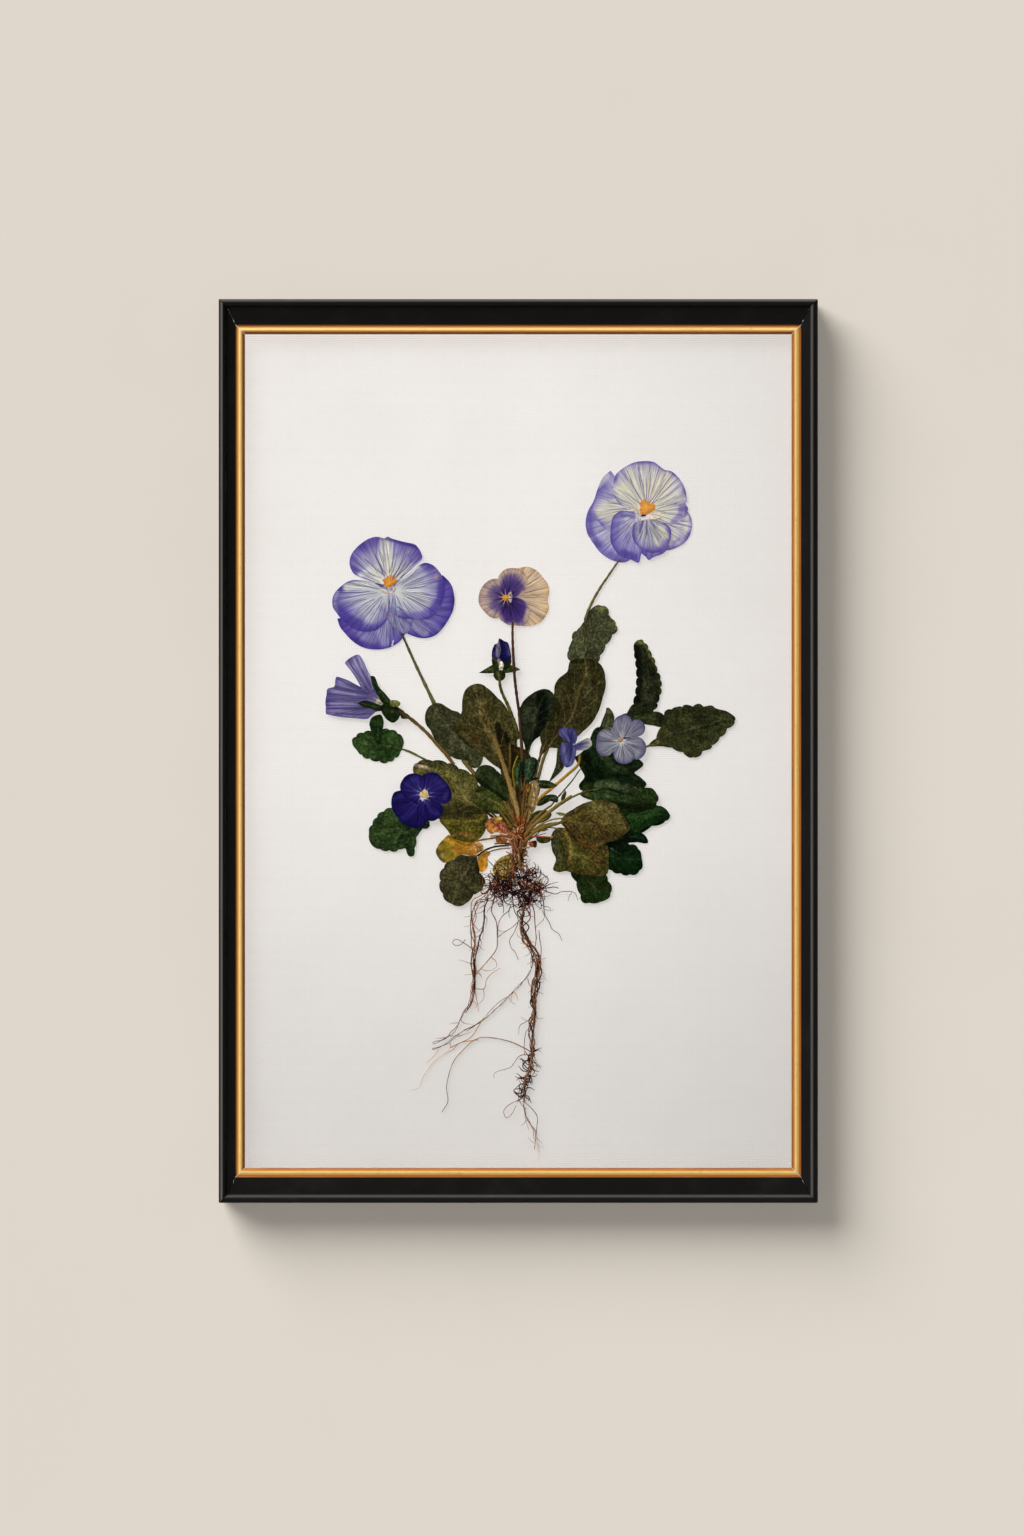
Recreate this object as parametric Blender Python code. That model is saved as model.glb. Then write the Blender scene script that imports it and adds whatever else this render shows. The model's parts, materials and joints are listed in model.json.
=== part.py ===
"""Pressed flower frame: a whole pansy plant, pressed flat on a sheet of paper,
under glass in a black frame with a gilt slip, with a sawtooth hanger behind.

Across the frame, sizes are in millimetres from the middle of its front: x to the
right, z up. Depths are millimetres out from the wall, towards the viewer, which
is the -Y direction. The origin is where the hanger bears on its nail.
"""
import math

import bpy
import bmesh

MM = 0.001
GAP = 0.3

# The frame across its front
OUTER_WIDTH = 300.0
OUTER_HEIGHT = 452.5
STILE_WIDTH = 8.35
RAIL_WIDTH = 12.7
BEAD_WIDTH = 4.0
GILT_WIDTH = 4.6
GILT_TONGUE = 1.6
REBATE_SHARE = 0.55

# Depths from the wall
BUMPER_DEPTH = 2.0
FRAME_BACK = 2.0
POINT_BACK = 3.3
POINT_FRONT = 3.7
BOARD_BACK = 4.0
BOARD_FRONT = 7.0
SHEET_BACK = 7.3
SHEET_FRONT = 7.7
FIRST_LAYER = 8.0
LAYER_STEP = 0.5
LEAF_THICKNESS = 0.2
BLOOM_THICKNESS = 0.4
GLASS_BACK = 11.9
GLASS_FRONT = 13.9
GILT_BACK = 14.2
GILT_FRONT = 16.2
LIP_BACK = 16.5
FACE_DEPTH = 18.6
BEAD_FOOT = 19.4
BEAD_TOP = 21.8
BEAD_STEPS = 8

# Back fittings
HANGER_WIDTH = 44.0
HANGER_HEIGHT = 6.5
HANGER_TOP_INSET = 1.2
HANGER_PLATE = 0.6
HANGER_LOW = 1.1
HANGER_HIGH = 0.2
HANGER_FOOT = 8.0
HANGER_TEETH = 9
TOOTH_DEPTH = 1.6
BUMPER_RADIUS = 3.2
BUMPER_INSET = 5.0
POINT_LENGTH = 12.0
POINT_HALF_WIDTH = 2.5
POINT_HEIGHT = 120.0

# The nail bears in the hanger's middle notch, at the origin
HANGER_TOP = OUTER_HEIGHT / 2.0 - HANGER_TOP_INSET
CENTRE_Z = -(HANGER_TOP - HANGER_HEIGHT + TOOTH_DEPTH)

# Where each leaf lies: its layer above the paper, its colour, the blade's outline
# and the line of its stalk with the stalk's width
LEAVES = {
    "leaf_far_left": (0, (0.045, 0.085, 0.035), [
        (-58.6, 1.0), (-57.4, 4.0), (-58.2, 7.0), (-61.0, 9.6), (-65.5, 11.2), (-71.0, 10.4),
        (-76.0, 10.0), (-80.5, 8.6), (-83.2, 6.0), (-83.3, 3.0), (-81.0, 0.3), (-79.0, -2.2),
        (-75.5, -4.0), (-71.0, -5.2), (-66.5, -6.0), (-62.5, -4.3), (-59.8, -1.8)],
        [(-60.0, 1.0), (-55.0, -0.2), (-50.0, -2.6), (-42.0, -7.0)], 0.9),
    "leaf_lower_left": (1, (0.04, 0.08, 0.03), [
        (-55.0, -31.0), (-60.5, -28.7), (-66.0, -29.0), (-70.5, -32.0), (-73.2, -36.0),
        (-75.0, -39.8), (-75.0, -44.5), (-73.0, -48.0), (-69.0, -49.6), (-65.0, -50.3),
        (-60.5, -50.2), (-57.0, -48.3), (-56.0, -51.0), (-53.4, -53.8), (-52.0, -50.0),
        (-51.3, -45.0), (-50.0, -40.8), (-48.0, -39.6), (-45.0, -38.2), (-44.4, -35.5),
        (-49.0, -32.5)], [], 0.0),
    "leaf_olive_left": (3, (0.12, 0.12, 0.03), [
        (-16.0, -30.5), (-19.0, -22.0), (-20.3, -14.5), (-24.0, -11.0), (-28.0, -9.3),
        (-32.5, -6.8), (-38.5, -5.0), (-45.0, -4.4), (-50.5, -5.2), (-53.0, -8.2),
        (-52.0, -13.0), (-48.0, -20.0), (-43.5, -28.0), (-39.8, -34.2), (-33.0, -33.6),
        (-25.0, -32.4)],
        [(-20.0, -27.5), (-15.5, -31.0), (-12.0, -33.8), (-7.0, -37.5)], 1.2),
    "leaf_olive_lower": (2, (0.1, 0.1, 0.025), [
        (-15.5, -31.5), (-15.0, -35.0), (-16.2, -39.5), (-19.0, -43.5), (-22.5, -45.7),
        (-28.0, -45.3), (-33.0, -43.5), (-35.4, -40.0), (-38.0, -37.0), (-39.8, -34.6),
        (-37.5, -29.5), (-32.0, -26.0), (-25.0, -25.5), (-19.0, -28.0)], [], 0.0),
    "leaf_yellow": (1, (0.35, 0.22, 0.025), [
        (-17.5, -49.2), (-19.5, -47.0), (-24.0, -45.5), (-29.0, -45.0), (-32.5, -43.2),
        (-35.0, -42.0), (-37.2, -44.2), (-40.0, -46.8), (-41.6, -50.3), (-40.2, -53.6),
        (-37.2, -56.4), (-34.0, -55.2), (-31.0, -53.2), (-27.0, -52.0), (-23.5, -52.7),
        (-20.5, -51.5)],
        [(-27.0, -47.0), (-20.0, -44.8), (-12.0, -43.6), (-5.0, -42.5)], 1.0),
    "leaf_orange": (0, (0.45, 0.2, 0.02), [
        (-14.3, -50.4), (-17.8, -50.4), (-20.3, -53.0), (-20.8, -56.0), (-20.0, -59.2),
        (-18.8, -61.0), (-16.5, -59.7), (-15.3, -57.0), (-15.7, -54.0), (-14.0, -51.7)],
        [(-15.5, -50.9), (-10.0, -49.3), (-4.5, -48.7)], 0.6),
    "leaf_grey_round": (2, (0.055, 0.055, 0.03), [
        (-18.2, -51.0), (-21.0, -52.2), (-24.5, -52.7), (-28.0, -52.2), (-32.0, -53.7),
        (-35.5, -56.0), (-38.2, -59.0), (-39.6, -63.5), (-39.3, -69.0), (-37.8, -73.0),
        (-35.5, -75.7), (-31.0, -78.0), (-27.0, -77.3), (-23.5, -73.6), (-19.5, -70.3),
        (-16.3, -66.7), (-18.3, -62.5), (-20.1, -58.0), (-20.7, -54.2)],
        [(-20.0, -52.5), (-17.0, -50.0), (-12.0, -48.1), (-5.0, -47.3)], 1.1),
    "leaf_grey_upper": (1, (0.05, 0.055, 0.035), [
        (-24.0, -8.0), (-26.0, -4.9), (-31.0, -4.0), (-35.8, -1.8), (-38.8, 1.8),
        (-42.0, 6.0), (-43.9, 10.0), (-46.3, 13.3), (-47.0, 17.2), (-45.8, 21.3),
        (-42.8, 23.8), (-39.2, 24.0), (-36.0, 22.4), (-33.2, 20.3), (-29.5, 19.4),
        (-26.0, 14.0), (-20.0, 5.0), (-17.5, -3.0), (-20.0, -8.4)], [], 0.0),
    "leaf_olive_tall": (2, (0.1, 0.085, 0.03), [
        (-6.0, -10.5), (-10.0, -8.6), (-14.0, -5.5), (-20.0, -1.0), (-26.0, 3.5),
        (-31.2, 8.6), (-32.0, 12.5), (-29.9, 16.5), (-28.3, 20.5), (-28.1, 26.0),
        (-26.5, 31.0), (-22.0, 33.8), (-17.0, 33.0), (-12.8, 29.2), (-8.5, 25.0),
        (-5.0, 20.5), (-2.5, 15.0), (-0.6, 9.0), (-0.6, 3.0), (-1.6, -2.5), (-3.5, -8.0)],
        [(-6.0, -7.0), (-4.6, -13.0), (-2.5, -22.0), (-0.7, -32.0)], 1.5),
    "leaf_dark_inner": (5, (0.03, 0.06, 0.03), [
        (-4.6, -24.5), (-5.4, -20.0), (-7.0, -15.0), (-9.0, -11.5), (-12.0, -8.5),
        (-16.0, -6.8), (-20.0, -8.0), (-21.7, -11.5), (-21.5, -14.2), (-19.0, -17.0),
        (-15.0, -19.5), (-10.5, -22.0), (-7.0, -25.2)], [], 0.0),
    "leaf_green_inner": (4, (0.06, 0.085, 0.03), [
        (-4.0, -30.5), (-4.5, -26.0), (-8.0, -21.5), (-13.0, -18.5), (-18.0, -17.0),
        (-21.0, -19.0), (-22.0, -23.0), (-20.5, -27.0), (-17.0, -30.0), (-12.0, -31.5),
        (-8.0, -31.8)], [], 0.0),
    "leaf_dark_upright": (1, (0.025, 0.04, 0.03), [
        (4.6, -3.0), (3.0, 3.0), (1.4, 9.0), (0.4, 16.0), (0.7, 22.0), (3.5, 26.0),
        (7.5, 29.4), (12.5, 31.3), (16.5, 30.4), (18.2, 27.0), (18.2, 20.0), (16.2, 13.5),
        (12.8, 9.5), (10.0, 6.8), (7.2, 4.5), (6.0, 1.0)],
        [(5.0, 0.0), (4.2, -10.0), (3.0, -22.0), (1.8, -32.0)], 1.1),
    "leaf_brown_tall": (2, (0.1, 0.085, 0.03), [
        (10.5, -3.5), (11.5, 3.5), (10.9, 8.0), (13.8, 13.0), (17.3, 20.0), (17.8, 28.0),
        (18.5, 33.5), (21.5, 37.8), (25.0, 40.0), (25.6, 45.0), (30.0, 46.3), (36.0, 46.2),
        (40.3, 44.8), (43.0, 40.5), (44.0, 35.0), (43.2, 29.0), (41.3, 23.0), (39.0, 17.0),
        (34.0, 11.0), (28.0, 6.0), (21.0, 1.3), (15.5, 1.8)],
        [(12.0, 0.0), (9.2, -9.0), (7.0, -20.0), (4.6, -32.0)], 1.5),
    "leaf_folded_top": (1, (0.075, 0.085, 0.045), [
        (25.7, 45.0), (24.8, 48.5), (25.0, 51.5), (26.4, 53.0), (26.8, 56.5), (28.2, 60.2),
        (30.6, 61.7), (31.8, 62.6), (33.0, 66.5), (35.5, 70.3), (38.5, 72.9), (41.5, 73.6),
        (44.7, 71.8), (46.0, 68.6), (46.4, 66.4), (48.2, 65.6), (49.7, 63.0), (49.5, 60.3),
        (47.0, 57.4), (44.4, 53.3), (42.0, 49.0), (40.0, 44.4), (37.0, 42.5), (29.0, 42.5)],
        [], 0.0),
    "leaf_narrow": (1, (0.035, 0.045, 0.02), [
        (54.0, 18.2), (57.0, 22.5), (58.9, 29.0), (59.5, 38.0), (58.8, 46.0), (57.9, 53.6),
        (61.4, 56.2), (64.6, 53.4), (66.7, 49.0), (68.4, 46.0), (69.7, 41.0), (71.5, 37.0),
        (71.9, 32.5), (71.7, 28.8), (70.6, 26.4), (70.4, 24.0), (68.5, 20.5), (66.0, 18.6),
        (60.0, 18.2)], [(56.5, 20.8), (54.0, 17.5), (51.0, 14.5)], 1.0),
    "leaf_cross": (0, (0.05, 0.07, 0.02), [
        (51.0, 17.8), (56.0, 19.3), (62.0, 20.0), (68.0, 20.0), (72.5, 19.0), (74.0, 15.5),
        (72.5, 12.0), (68.0, 12.7), (62.0, 13.9), (56.0, 14.5), (51.5, 15.0)], [], 0.0),
    "leaf_right": (1, (0.05, 0.05, 0.02), [
        (65.0, 2.2), (68.2, 5.6), (70.5, 9.5), (71.7, 14.0), (73.2, 19.0), (76.0, 21.2),
        (80.0, 22.0), (83.5, 23.2), (87.0, 22.7), (91.0, 23.7), (94.2, 22.4), (97.5, 22.8),
        (100.5, 21.0), (104.0, 20.4), (107.2, 18.6), (109.4, 16.4), (108.4, 13.6),
        (105.2, 11.0), (103.5, 8.5), (101.0, 6.0), (99.0, 4.0), (97.0, 1.4), (94.0, 0.6),
        (91.8, -1.8), (89.5, -3.0), (87.4, -3.7), (84.0, -1.8), (80.0, 0.3), (75.0, 2.0),
        (70.0, 2.4)], [(67.0, 3.3), (63.5, 1.9), (59.0, 0.4)], 1.1),
    "leaf_small_pointed": (1, (0.07, 0.075, 0.04), [
        (40.5, 10.0), (42.0, 15.0), (43.9, 19.3), (44.4, 22.4), (46.6, 20.8), (48.3, 17.0),
        (48.0, 13.0), (47.0, 9.5), (44.0, 8.0)], [], 0.0),
    "leaf_folded_dark": (2, (0.02, 0.04, 0.018), [
        (28.0, -3.0), (32.0, -0.5), (35.5, 5.0), (38.2, 11.0), (42.0, 12.0), (46.0, 9.0),
        (52.0, 3.0), (58.0, -2.0), (62.7, -6.3), (60.2, -9.5), (58.2, -11.0), (61.5, -13.2),
        (64.2, -16.2), (62.3, -18.5), (56.0, -17.3), (50.0, -15.5), (44.0, -15.0),
        (38.0, -17.5), (32.2, -19.6), (30.6, -17.0), (33.4, -13.0), (31.6, -9.0)],
        [(33.0, -7.0), (27.0, -15.0), (21.0, -22.0), (16.0, -28.0)], 0.7),
    "leaf_broad_dark": (3, (0.035, 0.055, 0.025), [
        (30.5, -21.6), (35.5, -17.9), (41.5, -14.3), (48.0, -14.4), (56.0, -17.0),
        (62.0, -18.4), (67.0, -18.4), (69.6, -21.5), (70.4, -25.0), (68.4, -27.9),
        (62.0, -29.4), (56.5, -30.2), (51.0, -29.6), (46.0, -26.8), (40.0, -25.4),
        (35.0, -24.2)],
        [(34.0, -20.3), (26.0, -23.7), (18.0, -28.9), (10.0, -34.6), (4.5, -39.5)], 1.4),
    "leaf_green_right": (1, (0.03, 0.06, 0.02), [
        (48.0, -30.0), (53.0, -25.5), (60.0, -25.5), (66.0, -26.8), (71.0, -27.3),
        (74.0, -28.9), (76.0, -31.6), (75.5, -34.6), (72.5, -36.3), (68.0, -37.8),
        (64.0, -39.6), (61.5, -41.3), (57.0, -41.0), (51.0, -37.0)], [], 0.0),
    "leaf_dark_tip": (0, (0.015, 0.035, 0.018), [
        (43.0, -43.0), (50.0, -40.5), (56.0, -39.5), (61.6, -40.9), (64.3, -43.0),
        (65.4, -46.3), (61.0, -46.0), (56.0, -45.9), (52.0, -47.5), (47.0, -49.0),
        (43.0, -47.0)], [], 0.0),
    "leaf_dark_round": (1, (0.02, 0.045, 0.02), [
        (43.5, -47.0), (49.0, -46.2), (55.5, -46.4), (59.6, -48.0), (61.9, -51.3),
        (61.6, -53.6), (62.4, -57.0), (61.4, -60.2), (58.6, -62.0), (54.6, -62.4),
        (50.0, -61.4), (45.8, -59.7), (42.5, -54.0)], [], 0.0),
    "leaf_olive_brown": (4, (0.11, 0.08, 0.025), [
        (21.0, -35.4), (24.0, -31.4), (30.0, -27.7), (36.0, -25.1), (42.0, -24.5),
        (48.0, -26.0), (51.5, -29.8), (54.0, -34.6), (56.4, -39.0), (52.5, -42.4),
        (48.6, -45.2), (45.2, -45.2), (42.0, -47.6), (38.0, -48.7), (33.0, -48.6),
        (29.2, -46.0), (26.0, -41.4), (22.6, -37.6)],
        [(24.5, -35.8), (17.0, -36.4), (10.0, -38.4), (4.5, -42.0)], 1.2),
    "leaf_olive_right": (2, (0.085, 0.085, 0.03), [
        (19.5, -38.6), (16.8, -41.5), (16.4, -46.0), (17.4, -51.0), (19.1, -55.0),
        (17.2, -59.6), (20.5, -61.0), (24.0, -60.0), (27.5, -61.6), (33.0, -62.2),
        (39.0, -62.8), (44.8, -62.0), (45.4, -56.0), (45.4, -50.0), (43.0, -45.0),
        (36.0, -44.0), (29.0, -42.0), (24.0, -38.6)],
        [(21.0, -39.6), (16.0, -38.5), (8.0, -39.2)], 0.8),
    "leaf_lowest": (1, (0.03, 0.05, 0.02), [
        (26.0, -60.2), (28.5, -65.0), (30.2, -70.0), (31.8, -75.0), (34.2, -76.6),
        (38.6, -76.3), (42.2, -75.6), (45.6, -73.8), (46.9, -71.0), (46.6, -67.5),
        (45.4, -65.0), (43.6, -62.0), (38.0, -59.0), (31.0, -57.8)], [], 0.0),
}

# Flowers and the bud: layer, colour, outline of the whole flower, its own short
# stalk where it has one, and the stalk's width
BLOOMS = {
    "bloom_left": (1, (0.22, 0.19, 0.42), [
        (-71.6, 84.6), (-76.0, 86.2), (-79.6, 87.6), (-83.0, 89.6), (-84.8, 94.8),
        (-83.4, 99.6), (-80.0, 103.8), (-76.0, 106.6), (-71.6, 107.7), (-66.0, 107.6),
        (-60.0, 106.0), (-52.2, 104.0), (-49.2, 100.6), (-48.3, 97.2), (-50.0, 94.4),
        (-46.0, 94.4), (-42.0, 92.6), (-38.5, 89.6), (-35.0, 86.4), (-33.2, 82.0),
        (-32.0, 76.0), (-32.8, 70.6), (-35.4, 65.4), (-39.2, 60.4), (-43.0, 57.4),
        (-48.0, 57.0), (-55.6, 58.7), (-58.4, 56.6), (-61.6, 53.4), (-66.6, 51.2),
        (-72.0, 51.0), (-78.0, 52.0), (-83.4, 55.4), (-87.6, 60.6), (-90.2, 66.4),
        (-91.6, 70.0), (-93.2, 74.0), (-93.0, 78.4), (-90.6, 82.0), (-85.6, 85.4),
        (-79.6, 86.0), (-75.0, 84.9)], [], 0.0),
    "bloom_bicolour": (1, (0.3, 0.18, 0.3), [
        (-19.8, 77.5), (-18.5, 82.5), (-15.0, 85.8), (-11.0, 86.2), (-8.5, 89.6),
        (-4.6, 91.8), (0.0, 91.6), (5.0, 92.4), (9.2, 91.0), (12.4, 87.0), (15.2, 83.4),
        (15.5, 78.0), (15.4, 72.0), (13.6, 68.0), (10.6, 64.8), (6.0, 62.8), (1.0, 62.9),
        (-4.2, 63.2), (-7.4, 65.4), (-10.0, 66.8), (-13.5, 66.9), (-17.4, 70.4)], [], 0.0),
    "bloom_right": (1, (0.3, 0.28, 0.4), [
        (49.5, 139.2), (53.5, 142.6), (58.0, 144.8), (63.5, 145.6), (69.5, 144.4),
        (73.8, 141.2), (78.5, 139.4), (82.4, 135.2), (84.6, 129.0), (85.2, 122.4),
        (86.9, 118.6), (87.4, 114.0), (86.4, 108.5), (83.6, 104.6), (79.0, 102.2),
        (75.5, 100.8), (71.0, 98.2), (65.6, 95.9), (64.0, 98.2), (61.6, 98.0),
        (60.6, 94.6), (57.0, 95.9), (53.2, 94.9), (48.0, 95.6), (43.0, 98.4), (39.2, 102.0),
        (37.2, 106.0), (34.6, 109.6), (33.9, 115.0), (35.4, 120.6), (38.0, 125.6),
        (39.6, 130.0), (42.2, 134.4), (45.8, 137.8)], [], 0.0),
    "bloom_side_left": (2, (0.2, 0.17, 0.4), [
        (-63.2, 22.6), (-59.0, 21.8), (-57.3, 20.0), (-60.0, 17.6), (-63.2, 14.4),
        (-66.0, 15.8), (-68.4, 13.0), (-68.6, 8.0), (-69.2, 3.2), (-73.0, 7.0),
        (-75.0, 13.0), (-73.0, 17.4), (-75.2, 16.2), (-84.0, 16.8), (-92.0, 17.2),
        (-96.6, 18.2), (-96.0, 25.0), (-95.6, 31.4), (-92.6, 32.6), (-90.6, 37.4),
        (-85.0, 34.8), (-79.4, 31.8), (-82.6, 37.4), (-86.4, 43.6), (-84.0, 46.4),
        (-80.6, 48.4), (-78.4, 46.6), (-75.4, 40.4), (-74.2, 37.4), (-71.4, 36.4),
        (-69.0, 31.0), (-66.0, 27.4), (-65.0, 24.6)],
        [(-60.0, 20.4), (-53.0, 15.4), (-46.0, 9.2), (-40.5, 3.0), (-35.8, -2.2),
         (-31.0, -8.6), (-25.0, -15.5)], 1.4),
    "bloom_dark": (4, (0.06, 0.04, 0.22), [
        (-59.2, -19.6), (-58.4, -15.4), (-55.4, -12.2), (-51.6, -11.2), (-48.6, -12.8),
        (-45.8, -11.2), (-42.2, -11.2), (-38.8, -13.6), (-35.6, -17.6), (-33.7, -21.6),
        (-35.0, -25.0), (-37.9, -26.6), (-38.0, -30.4), (-40.6, -34.0), (-44.0, -35.0),
        (-47.2, -37.6), (-51.0, -38.5), (-55.4, -37.6), (-60.2, -33.8), (-63.2, -29.0),
        (-63.7, -24.6), (-62.0, -20.6)], [], 0.0),
    "bloom_pale": (4, (0.3, 0.3, 0.48), [
        (39.4, 7.0), (41.6, 10.4), (45.4, 11.0), (47.6, 12.2), (48.4, 16.2), (51.6, 18.0),
        (55.6, 17.0), (60.2, 15.8), (63.4, 12.4), (63.0, 8.4), (61.8, 6.2), (63.6, 2.6),
        (63.4, -1.8), (60.2, -5.2), (56.0, -6.2), (51.6, -5.6), (48.6, -2.4), (44.4, -2.4),
        (40.6, 0.4), (39.6, 3.6)], [], 0.0),
    "bloom_side_small": (3, (0.1, 0.08, 0.32), [
        (19.6, 6.0), (21.0, 9.9), (25.4, 11.5), (29.3, 10.2), (29.0, 6.2), (32.0, 5.8),
        (35.4, 4.8), (36.4, 2.0), (33.6, 0.2), (30.4, -0.9), (28.6, -3.6), (32.0, -8.6),
        (29.0, -9.8), (27.4, -6.6), (26.2, -5.6), (24.0, -5.8), (22.2, -8.0), (21.6, -3.0),
        (20.6, 2.0)],
        [(30.0, -7.6), (24.5, -12.0), (18.5, -17.2), (12.0, -22.6), (9.0, -25.2)], 1.3),
    "bud": (3, (0.05, 0.04, 0.18), [
        (-9.2, 56.2), (-6.0, 54.6), (-4.0, 53.4), (-3.7, 48.0), (-4.2, 44.4), (-3.6, 42.6),
        (1.0, 40.8), (-3.0, 39.4), (-6.4, 40.0), (-7.2, 37.6), (-9.8, 35.7), (-12.6, 38.4),
        (-12.0, 40.2), (-19.8, 39.3), (-15.6, 43.0), (-12.6, 43.8), (-13.3, 46.4),
        (-12.6, 52.8), (-11.0, 54.0)],
        [(-9.8, 37.0), (-8.6, 30.6), (-5.0, 22.4), (-1.4, 13.0)], 1.3),
}

# Flower stalks that run free: layer, colour, width at the flower and at the crown, path
STALKS = {
    "stalk_left_bloom": (0, (0.09, 0.07, 0.015), 1.3, 1.9, [
        (-57.5, 58.0), (-50.5, 43.0), (-43.5, 28.0), (-36.0, 12.0), (-27.5, -4.0),
        (-22.0, -11.5), (-14.0, -22.0), (-5.5, -35.5)]),
    "stalk_bicolour": (4, (0.045, 0.02, 0.015), 1.5, 1.7, [
        (-2.7, 66.5), (-2.9, 60.0), (-2.6, 50.0), (-1.9, 38.0), (-0.8, 28.0), (0.4, 19.0),
        (1.3, 8.0), (2.2, -6.0), (2.5, -18.0), (2.2, -30.0)]),
    "stalk_right_bloom": (0, (0.12, 0.08, 0.02), 1.5, 1.5, [
        (50.6, 95.6), (45.5, 88.5), (40.5, 81.0), (36.5, 73.5), (33.8, 66.0), (32.0, 50.0),
        (28.0, 30.0), (20.0, 12.0), (13.0, -3.0), (9.0, -18.0), (6.0, -32.0)]),
}

# The crown, where every stalk meets and the smallest leaves stand
CROWN_LAYER = 5
CROWN_COLOUR = (0.12, 0.06, 0.03)
CROWN_OUTLINE = [
    (-22.5, -37.4), (-16.0, -34.6), (-12.0, -33.2), (-8.0, -32.9), (-3.2, -30.0),
    (-3.0, -22.0), (-3.0, -14.0), (-1.0, -7.5), (3.0, -4.0), (7.8, -2.8), (9.8, -5.5),
    (9.4, -13.2), (14.0, -14.8), (19.3, -17.8), (14.6, -19.2), (11.6, -20.6), (14.0, -21.9),
    (18.8, -21.7), (20.0, -25.0), (14.6, -26.6), (10.6, -29.0), (8.4, -33.0), (10.0, -37.5),
    (16.4, -41.5), (17.2, -43.6), (14.0, -46.0), (9.0, -45.0), (6.0, -46.8), (2.6, -49.5),
    (2.4, -53.0), (2.3, -57.4), (-1.4, -57.4), (-1.6, -52.0), (-4.6, -48.9), (-9.3, -47.0),
    (-11.8, -44.0), (-10.6, -41.9), (-13.5, -42.0), (-16.0, -39.2), (-17.6, -37.3)]
KNOB_COLOUR = (0.16, 0.13, 0.04)
KNOB_OUTLINE = [
    (-13.0, -60.5), (-11.6, -56.6), (-8.6, -53.3), (-5.0, -51.4), (-3.2, -53.0),
    (-2.6, -57.0), (-2.5, -61.0), (-4.6, -63.2), (-8.0, -63.6), (-10.6, -62.3)]
KNOB_THICKNESS = 1.8
MAT_COLOUR = (0.05, 0.015, 0.01)
MAT_OUTLINE = [
    (-15.8, -66.5), (-13.0, -64.0), (-8.5, -64.9), (-4.0, -64.3), (-1.9, -61.5),
    (-1.9, -58.2), (3.0, -57.8), (8.0, -58.5), (10.6, -61.5), (12.3, -66.0), (12.8, -70.0),
    (12.0, -74.0), (8.0, -76.0), (4.8, -79.6), (1.9, -79.6), (0.6, -75.6), (-4.0, -74.2),
    (-10.0, -74.4), (-14.2, -72.6), (-15.8, -70.0)]
MAT_THICKNESS = 1.4

# Roots below the mat: width at the top and at the tip, and the path of each strand
ROOT_COLOUR = (0.09, 0.035, 0.012)
ROOT_THICKNESS = 0.5
ROOTS = {
    "roots_left": [
        (1.6, 1.0, [
            (-15.4, -74.2), (-20.0, -76.0), (-22.3, -80.0), (-22.8, -86.0), (-22.2, -95.0),
            (-23.0, -103.0), (-22.6, -112.0), (-22.8, -120.0), (-24.5, -127.0),
            (-29.0, -135.0), (-34.0, -142.0), (-43.0, -147.2)]),
        (0.8, 1.4, [
            (-17.0, -75.4), (-17.2, -84.0), (-19.3, -92.5), (-20.2, -99.0), (-21.8, -107.0),
            (-22.6, -114.0)]),
    ],
    "roots_right": [
        (2.6, 1.0, [
            (3.2, -80.3), (2.3, -86.0), (2.8, -92.0), (5.0, -98.5), (9.0, -103.0),
            (10.3, -110.0), (9.0, -118.0), (8.0, -128.0), (7.0, -138.0), (7.2, -148.0),
            (6.4, -158.0), (4.0, -166.0), (3.0, -174.0), (4.2, -184.0), (8.2, -190.5),
            (8.8, -195.0), (8.0, -200.0)]),
        (1.0, 0.9, [
            (5.4, -98.6), (6.9, -104.0), (5.6, -111.0), (0.0, -118.5), (-10.0, -128.0),
            (-20.0, -136.6), (-28.0, -142.0), (-35.0, -145.8), (-43.0, -150.2)]),
        (0.8, 0.8, [
            (7.0, -151.6), (3.0, -149.2), (-5.0, -145.7), (-16.0, -143.8), (-22.0, -145.2),
            (-28.0, -150.5), (-33.0, -157.0), (-36.0, -168.0), (-35.4, -176.0),
            (-38.5, -181.5)]),
    ],
}

BLACK = (0.012, 0.012, 0.011)
GOLD = (0.62, 0.38, 0.12)
PAPER = (0.79, 0.77, 0.72)
CARD = (0.36, 0.25, 0.15)
STEEL = (0.55, 0.54, 0.5)
FELT = (0.08, 0.07, 0.06)
CLEAR = (0.9, 0.95, 0.93)


def clear_scene():
    for old in list(bpy.data.objects):
        bpy.data.objects.remove(old, do_unlink=True)


def make_material(name, colour, roughness, metallic=0.0):
    material = bpy.data.materials.new(name)
    material.use_nodes = True
    shader = material.node_tree.nodes["Principled BSDF"]
    shader.inputs["Base Color"].default_value = (*colour, 1.0)
    shader.inputs["Roughness"].default_value = roughness
    shader.inputs["Metallic"].default_value = metallic
    material.diffuse_color = (*colour, 1.0)
    return material


def add_object(name, bm, material, holder):
    """Turn a bmesh into a named object that hangs on the frame's middle."""
    bmesh.ops.recalc_face_normals(bm, faces=bm.faces)
    mesh = bpy.data.meshes.new(name)
    bm.to_mesh(mesh)
    bm.free()
    mesh.materials.append(material)
    piece = bpy.data.objects.new(name, mesh)
    bpy.context.scene.collection.objects.link(piece)
    piece.parent = holder
    return piece


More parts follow.
